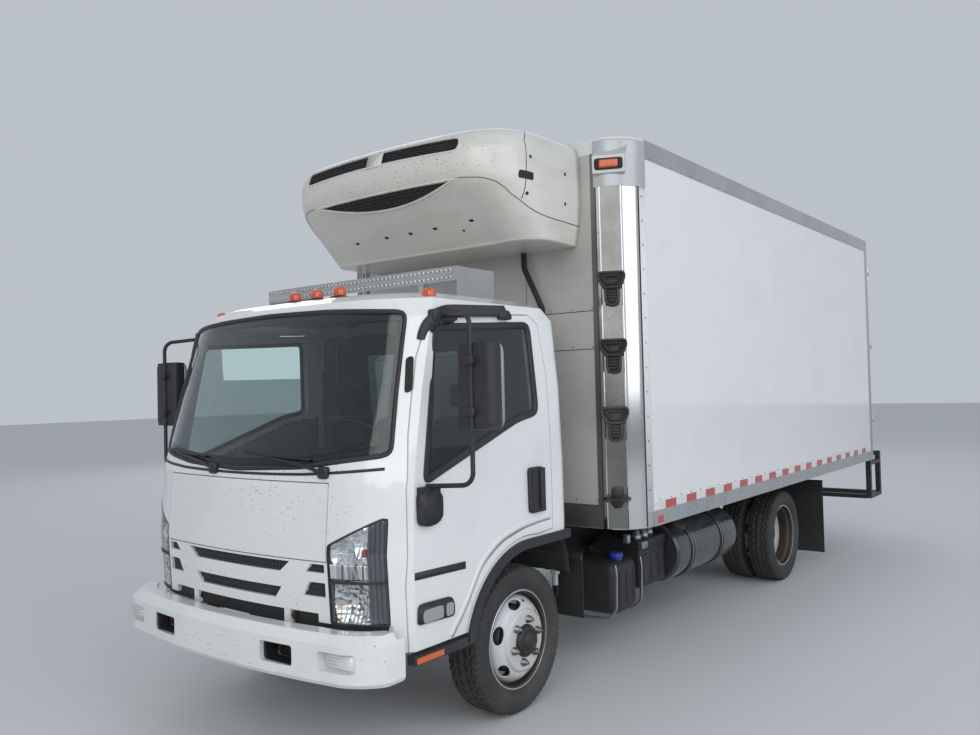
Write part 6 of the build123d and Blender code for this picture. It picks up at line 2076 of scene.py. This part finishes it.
smoked_strip = layered(
    "smoked_strip", (0.085, 0.10, 0.125), (0.11, 0.12, 0.14), 0.14, metallic=0.35, coat=1.0, grain=200,
    relief=0.0001
)
strip_grid = lamp_grid(90, 40, strip_depth, inner_x=0.834, outer_x=0.906, low_z=0.688, top_share=0.985)
strip = make_piece(
    "headlamp_strips", *both_sides([(strip_grid, grid_faces(90, 40))]), smoked_strip, "cab", "lamp_glass"
)
bar_x, bar_z = stepped((0.654, 0.836, 150), (0.886, 0.956, 12))
bar_grid = np.stack(
    [bar_x, skin_front(bar_x, bar_z) + 0.014 - 0.008 * np.abs(np.sin(bar_x * np.pi / rib_pitch)), bar_z], -1
)
# The bar's bright and dim bands along its flutes are painted reflections.
bar_chrome = facet_chrome("bar_chrome", 1 / rib_pitch, (2.0, 0.1, 0.1), 0.25)
bar = make_piece(
    "headlamp_bars", *both_sides([(bar_grid, grid_faces(150, 12))]), bar_chrome, "cab", "lamp_glass"
)
shelf_x, shelf_z = stepped((0.650, 0.664, 12), (0.690, 0.866, 30))
shelf_grid = np.stack([shelf_x, skin_front(shelf_x, shelf_z) + 0.010, shelf_z], -1)
shelf = make_piece(
    "headlamp_cheeks", *both_sides([(shelf_grid, grid_faces(12, 30))]), smoked_strip, "cab", "lamp_glass"
)
for piece in (strip, bar, shelf):
    thicken(piece, 0.0018)
bulb_y = float(skin_front(np.array([0.812]), np.array([1.010]))[0])
bulb = soft_block((0.800, bulb_y + 0.010, 0.990), (0.826, bulb_y + 0.045, 1.028), 0.0125, 5)
make_piece("headlamp_bulbs", *both_sides([bulb]), roof_amber, "cab", "amber_lamp")

# Bumper recess liners.
# A black moulded tray lines each inner recess of the bumper round the towing eye.
tray_outline = rounded_outline(0.2030, 0.0910, 0.016, 60)
tray_depths = np.linspace(-1.150, -1.2335, 6)
tray_grid = np.stack([
    np.column_stack([0.451 + tray_outline[:, 0], np.full(60, y), 0.560 + tray_outline[:, 1]])
    for y in tray_depths
])
tray_grid[..., 1] = np.maximum(tray_grid[..., 1], -1.2305 - 0.016 * (0.56 - np.abs(tray_grid[..., 0])))
tray_faces = grid_faces(6, 60, False, True)
liners = make_piece(
    "recess_liners", *both_sides([(tray_grid, tray_faces)]), black_plastic, "chassis", "black_plastic"
)
thicken(liners, 0.0012, 0)

# Rear door hardware.
# Each insulated door hangs on three galvanised straps and is shut by two lock rods that turn in bolted
# guides, with a hasped lever on each. A black extruded gasket is let in round both doors.
door_face_y = 6.196


def upright_bar(x, y, low, high, radius, sides=20):
    """A round bar standing at a place along and across, closed at both ends."""
    line = np.array(((x, y, low), (x, y, high)))
    return carried_part(line, backwards, round_profile(radius, sides))


def on_door_back(u, v, w):
    """A place on the left cargo door's outer face from across, up and backwards."""
    return np.stack([u, door_face_y + w, v], -1)


galvanised = layered(
    "galvanised", (0.40, 0.41, 0.42), (0.30, 0.30, 0.30), 0.34, metallic=0.9, grain=140, relief=0.0001
)
rod_places = (0.300, 0.820)
hardware = []
for x in rod_places:
    hardware.append(upright_bar(x, 6.214, 1.119, 3.071, 0.0140))
    for z in (1.160, 1.700, 2.500, 3.030):
        hardware.append(soft_block((x - 0.037, 6.192, z - 0.031), (x + 0.037, 6.216, z + 0.031), 0.005))
        hardware.append(upright_bar(x, 6.215, z - 0.020, z + 0.020, 0.0185))
        hardware.append(domes(
            [(x + shift, 6.2155, z + drop) for shift in (-0.029, 0.029) for drop in (-0.020, 0.020)],
            backwards, 0.006, 0.004
        ))
    for z in (1.126, 3.058):
        hardware.append(soft_block((x - 0.022, 6.208, z - 0.014), (x + 0.034, 6.226, z + 0.014), 0.005))
    hardware.append(soft_block((x - 0.241, 6.219, 1.621), (x + 0.021, 6.233, 1.659), 0.006))
    hardware.append(soft_block((x - 0.236, 6.229, 1.610), (x - 0.140, 6.237, 1.670), 0.004))
    hardware.append(soft_block((x - 0.170, 6.192, 1.585), (x - 0.110, 6.222, 1.700), 0.006))
for z in (1.300, 2.100, 2.900):
    hardware.append(soft_block((1.043, 6.192, z - 0.0195), (1.108, 6.224, z + 0.0195), 0.003))
    hardware.append(soft_block((1.047, 6.213, z - 0.0190), (1.217, 6.2235, z + 0.0190), 0.003))
    hardware.append(upright_bar(1.214, 6.250, z - 0.0188, z + 0.0188, 0.0130))
    hardware.append(domes([(x, 6.2235, z) for x in (1.062, 1.090, 1.130)], backwards, 0.007, 0.004))
gasket_path = rounded_path(((0.010, 1.090), (1.117, 1.090), (1.117, 3.106), (0.010, 3.106)), 0.03, 160)
gasket_line = on_door_back(gasket_path[:, 0], gasket_path[:, 1], np.zeros(160))
gasket_profile = ((-0.006, -0.006), (-0.006, 0.003), (0.0, 0.005), (0.012, 0.003), (0.012, -0.006))
cargo_gasket = carried_part(gasket_line, backwards, gasket_profile, True)
swage_profile = ridge(0.012, 0.009, -0.001, 0.002)
door_ribs = [
    carried_part(np.array(((0.060, door_face_y, z), (1.060, door_face_y, z))), backwards, swage_profile)
    for z in (1.420, 2.340)
]
for side, turn in (("left", lambda part: part), ("right", mirrored)):
    for name, parts, material, slot in (
        ("lock_rods", hardware, galvanised, "aluminium"),
        ("door_gasket", [cargo_gasket], rubber_black, "rubber"),
        ("door_swages", door_ribs, panel_white, "box_panel"),
    ):
        make_piece(
            f"{name}_{side}", *joined([turn(part) for part in parts]), material, f"cargo_door_{side}", slot
        )
keepers = []
for x in rod_places:
    for z in (1.096, 3.092):
        keepers.append(soft_block((x - 0.034, 6.198, z - 0.014), (x + 0.040, 6.230, z + 0.014), 0.005))
make_piece("rod_keepers", *both_sides(keepers), galvanised, "chassis", "aluminium")

# Wheel fittings.
# The edge of each rim is a bright worn flange. Behind it, a black ring on each front barrel is partly dirt
# and partly painted shade. The black hub stands through the disc with a ring of small bolts, and a rubber
# valve reaches out of one hand hole.
hub_black = layered("hub_black", (0.016, 0.016, 0.017), (0.045, 0.038, 0.032), 0.5, grain=260, relief=0.0004)
flange_steel = layered(
    "flange_steel", (0.66, 0.67, 0.68), (0.50, 0.50, 0.50), 0.25, metallic=0.85, grain=260, relief=0.0001
)


def turned(profile, axle_y, side, around=96, closed=True):
    """A closed or pole-ended profile of (distance from the truck's middle, radius) turned about an axle."""
    points, _ = lathe([(abs(distance), radius) for distance, radius in profile], around)
    points = points.copy()
    points[..., 0] *= side
    points[..., 1] += axle_y
    points[..., 2] += axle_height
    return turned_out((points, grid_faces(around, len(profile), True, closed)))


front_hub_cap = (
    (0.8000, 0.0305), (0.8000, 0.172), (0.8120, 0.178), (0.9000, 0.178), (0.9080, 0.166), (0.9080, 0.125),
    (0.9480, 0.125), (0.9480, 0.0865), (0.9690, 0.0845), (0.9790, 0.0770), (0.9868, 0.0712),
    (0.9868, 0.0580), (0.9830, 0.0560), (0.9830, 0.0450), (0.9915, 0.0430), (0.9920, 0.0)
)
rear_hub_cap = (
    (0.7000, 0.0455), (0.7000, 0.0800), (0.7960, 0.0840), (0.7960, 0.178), (0.6400, 0.178), (0.6400, 0.190),
    (0.8060, 0.190), (0.8150, 0.150), (0.8150, 0.0850), (0.8350, 0.0850), (0.9010, 0.0812),
    (0.9100, 0.0780), (0.9365, 0.0730), (0.9392, 0.0640), (0.9392, 0.0)
)
for corner in tyre_places:
    end, side_name = corner.split("_")
    side = 1 if side_name == "left" else -1
    axle_y = axle_places[end]
    flange_x = 0.914 if end == "front" else 1.034
    body = f"wheel_{corner}"
    hub_parts = [turned(front_hub_cap if end == "front" else rear_hub_cap, axle_y, side, 72, False)]
    bolt_ring, bolt_x = (0.062, 0.9870) if end == "front" else (0.058, 0.9390)
    turns = np.arange(8) * np.pi / 4 + 0.2
    bolt_y = axle_y + bolt_ring * np.sin(turns)
    bolt_z = axle_height + bolt_ring * np.cos(turns)
    bolt_places = np.stack([np.full(8, side * bolt_x), bolt_y, bolt_z], -1)
    hub_parts.append(domes(bolt_places, (side, 0, 0), 0.0065, 0.006, 6))
    make_piece(f"hub_face_{corner}", *joined(hub_parts), hub_black, body, "axle_iron")
    flange_profile = (
        (flange_x - 0.004, 0.2500), (flange_x + 0.003, 0.2510), (flange_x + 0.0055, 0.2570),
        (flange_x + 0.0045, 0.2620), (flange_x - 0.002, 0.2630), (flange_x - 0.006, 0.2590)
    )
    make_piece(
        f"rim_flange_{corner}", *turned(flange_profile, axle_y, side, 160), flange_steel, body,
        "wheel_white"
    )
    if end == "front":
        # Black ring inside the barrel: partly dirt, partly painted shade behind the disc.
        barrel = ((0.8840, 0.2452), (0.9100, 0.2452), (0.9100, 0.2443), (0.8840, 0.2443))
        make_piece(f"rim_barrel_{corner}", *turned(barrel, axle_y, side, 120), hub_black, body, "axle_iron")
    valve_x = 0.905 if end == "front" else 0.960
    valve_line = np.array((
        (side * (valve_x - 0.05), axle_y + 0.030, axle_height + 0.226),
        (side * valve_x, axle_y + 0.030, axle_height + 0.206),
        (side * (valve_x + 0.03), axle_y + 0.030, axle_height + 0.200)
    ))
    valve = carried_part(valve_line, backwards, round_profile(0.0045, 10))
    make_piece(f"valve_{corner}", *valve, hub_black, body, "rubber")

# Tanks and cases beside the frame.
# The dark fuel tank hangs in two steel straps with bright bolts. Before it stand the urea tank, of black
# plastic with a blue cap and bright edge strips, and the battery box. A plain case hangs on the right.
tank_dark = layered(
    "tank_dark", (0.050, 0.055, 0.062), (0.095, 0.095, 0.095), 0.24, metallic=0.55, coat=0.5, grain=180,
    relief=0.0001, dust=0.12
)
cap_blue = layered(
    "cap_blue", (0.020, 0.045, 0.36), (0.016, 0.034, 0.26), 0.38, coat=0.4, grain=500, relief=0.0001
)
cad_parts["fuel_tank"].data.materials.clear()
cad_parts["fuel_tank"].data.materials.append(tank_dark)


def round_tank(angle, along, stand):
    """A place on the fuel tank from an angle turned up from its left side, a distance along and a stand off
    it."""
    reach = 0.212 + stand
    return np.stack([0.790 + reach * np.cos(angle), along, 0.548 + reach * np.sin(angle)], -1)


strap_parts = []
bright_parts = []
for low in (2.010, 2.530):
    angle = np.linspace(-2.6, 2.4, 90)
    outline = np.concatenate([
        np.stack([angle, np.full(90, low + 0.002)], -1),
        np.stack([angle, np.full(90, low + 0.048)], -1)[::-1]
    ])
    strap_parts.append(prism(outline, round_tank, 0.004, 0.0085))
    for edge in (low + 0.004, low + 0.046):
        arc = np.linspace(-1.3, 1.35, 60)
        arc_line = round_tank(arc, np.full(60, edge), 0.0085)
        arc_outward = np.stack([np.cos(arc), np.zeros(60), np.sin(arc)], -1)
        bright_parts.append(carried_part(arc_line, arc_outward, ridge(0.0022, 0.0014, -0.001, 0.0014)))
    bright_parts.append(soft_block((0.842, low + 0.006, 0.752), (0.905, low + 0.044, 0.778), 0.006))
    bolt_line = np.array(((0.862, low + 0.025, 0.700), (0.862, low + 0.025, 0.812)))
    bright_parts.append(carried_part(bolt_line, backwards, round_profile(0.006, 10)))
tank_neck = (
    (0.0, 0.0), (0.0, 0.052), (0.026, 0.052), (0.030, 0.048), (0.034, 0.060), (0.062, 0.060),
    (0.068, 0.054), (0.070, 0.0)
)
neck_points, _ = lathe(tank_neck, 40)
lean = math.radians(38)
neck_axis = np.array((math.sin(lean), 0, math.cos(lean)))
neck_across = np.array((math.cos(lean), 0, -math.sin(lean)))
neck_base = np.array((0.790, 1.900, 0.548)) + neck_axis * 0.205
neck_grid = (
    neck_base + neck_points[..., :1] * neck_axis
    + neck_points[..., 1:2] * np.array((0, 1.0, 0)) + neck_points[..., 2:] * neck_across
)
strap_parts.append(turned_out((neck_grid, grid_faces(40, len(tank_neck), True, False))))
make_piece("tank_straps", *joined(strap_parts), axle_black, "chassis", "chassis_black")
make_piece("tank_clips", *joined(bright_parts), galvanised, "chassis", "aluminium")

urea_low, urea_high = np.array((0.560, 1.000, 0.285)), np.array((0.945, 1.300, 0.625))
urea_parts = [soft_block(urea_low, urea_high, 0.060, 6)]
for y in (1.060, 1.150, 1.240):
    groove = rounded_path(((0.946, y, 0.350), (0.948, y, 0.560)), 0.02, 20, False)
    urea_parts.append(carried_part(groove, leftwards, ridge(0.012, 0.006, -0.004, 0.004)))
make_piece("urea_tank", *joined(urea_parts), black_plastic, "chassis", "chassis_black", ("side_boxes",))
cap_profile_turned = (
    (0.618, 0.0), (0.618, 0.034), (0.632, 0.036), (0.640, 0.042), (0.664, 0.042), (0.669, 0.037),
    (0.670, 0.0)
)
cap_points, _ = lathe(cap_profile_turned, 48)
grip = 1 + 0.045 * (np.cos(np.linspace(0, 2 * np.pi, 48, endpoint=False) * 12) > 0)[:, None, None]
cap_xyz = np.stack([
    0.880 + cap_points[..., 1] * grip[..., 0], 1.130 + cap_points[..., 2] * grip[..., 0], cap_points[..., 0]
], -1)
make_piece(
    "urea_cap", *turned_out((cap_xyz, grid_faces(48, len(cap_profile_turned), True, False))), cap_blue,
    "chassis", "black_plastic", smooth=False
)
guard_parts = []
for y in (0.985, 1.315):
    guard_corners = (
        (0.950, y, 0.625), (0.962, y, 0.560), (0.955, y, 0.330), (0.900, y, 0.275), (0.700, y, 0.262)
    )
    guard_line = rounded_path(guard_corners, 0.05, 60, False)
    guard_parts.append(carried_part(guard_line, backwards, ridge(0.009, 0.009, -0.002, 0.002)))
guard_parts.append(soft_block((0.855, 1.262, 0.700), (0.900, 1.300, 0.760), 0.010))
make_piece("urea_guards", *joined(guard_parts), galvanised, "chassis", "aluminium")

box_parts = [
    soft_block((0.575, 1.405, 0.380), (0.905, 1.775, 0.640), 0.016),
    soft_block((0.570, 1.400, 0.630), (0.910, 1.780, 0.702), 0.014)
]
for y in (1.470, 1.590, 1.710):
    box_parts.append(soft_block((0.900, y - 0.030, 0.410), (0.912, y + 0.030, 0.600), 0.005))
box_parts.append(soft_block((0.600, 1.560, 0.700), (0.800, 1.760, 0.760), 0.012))
make_piece("battery_case", *joined(box_parts), black_plastic, "chassis", "black_plastic")
valve_parts = []
air_valve = (
    (0.690, 0.0), (0.690, 0.032), (0.730, 0.032), (0.738, 0.024), (0.752, 0.024), (0.756, 0.016),
    (0.764, 0.016), (0.764, 0.0)
)
body_points, _ = lathe(air_valve, 28)
air_valve_faces = grid_faces(28, len(air_valve), True, False)
for x, y in ((0.865, 1.440), (0.865, 1.540), (0.840, 1.660)):
    air_valve_points = np.stack([x + body_points[..., 1], y + body_points[..., 2], body_points[..., 0]], -1)
    valve_parts.append(turned_out((air_valve_points, air_valve_faces)))
valve_parts.append(soft_block((0.905, 1.420, 0.640), (0.920, 1.500, 0.690), 0.005))
make_piece("air_valves", *joined(valve_parts), galvanised, "chassis", "aluminium")
case_parts = [
    soft_block((-0.900, 1.090, 0.370), (-0.580, 1.710, 0.690), 0.018),
    soft_block((-0.906, 1.084, 0.684), (-0.574, 1.716, 0.750), 0.014),
]
for y in (1.200, 1.600):
    case_parts.append(soft_block((-0.909, y - 0.040, 0.620), (-0.898, y + 0.040, 0.700), 0.005))
case_parts.append(soft_block((0.430, 1.120, 0.585), (0.600, 1.180, 0.635), 0.006))
case_parts.append(soft_block((0.430, 1.560, 0.585), (0.600, 1.620, 0.635), 0.006))
case_parts.append(soft_block((-0.600, 1.370, 0.585), (-0.430, 1.430, 0.635), 0.006))
make_piece("side_case", *joined(case_parts), chassis_black, "chassis", "chassis_black")

# Wiring and brake hoses behind the front wheel.
# Corrugated black conduit drops from the frame to a white plug; both ends are fixed,
# so it moves with the frame.
conduit_routes = (
    (
        (0.520, 0.470, 0.800), (0.640, 0.480, 0.790), (0.770, 0.520, 0.700), (0.800, 0.560, 0.600),
        (0.790, 0.580, 0.480), (0.700, 0.575, 0.420), (0.520, 0.560, 0.500)
    ),
    (
        (0.520, 0.530, 0.780), (0.660, 0.560, 0.760), (0.760, 0.610, 0.660), (0.770, 0.640, 0.560),
        (0.740, 0.660, 0.430), (0.520, 0.680, 0.420)
    ),
)
conduits = []
for route in conduit_routes:
    line = rounded_path(route, 0.09, 220, False)
    ridges = 1 + 0.10 * np.cos(np.arange(220) * 1.6)
    part_points, part_faces = carried_part(line, (0, 1, 0.2), round_profile(0.010, 12))
    centres = np.repeat(line, 12, 0)
    conduits.append((centres + (part_points - centres) * np.repeat(ridges, 12)[:, None], part_faces))
make_piece("conduits", *joined(conduits), rubber_black, "chassis", "rubber")
plug_parts = [
    soft_block((0.778, 0.520, 0.625), (0.822, 0.560, 0.672), 0.006),
    soft_block((0.786, 0.528, 0.560), (0.814, 0.552, 0.630), 0.006)
]
plug_white = layered("plug_white", (0.55, 0.55, 0.53), (0.45, 0.44, 0.41), 0.45, grain=400, relief=0.0001)
make_piece("conduit_plug", *joined(plug_parts), plug_white, "chassis", "grey_trim")
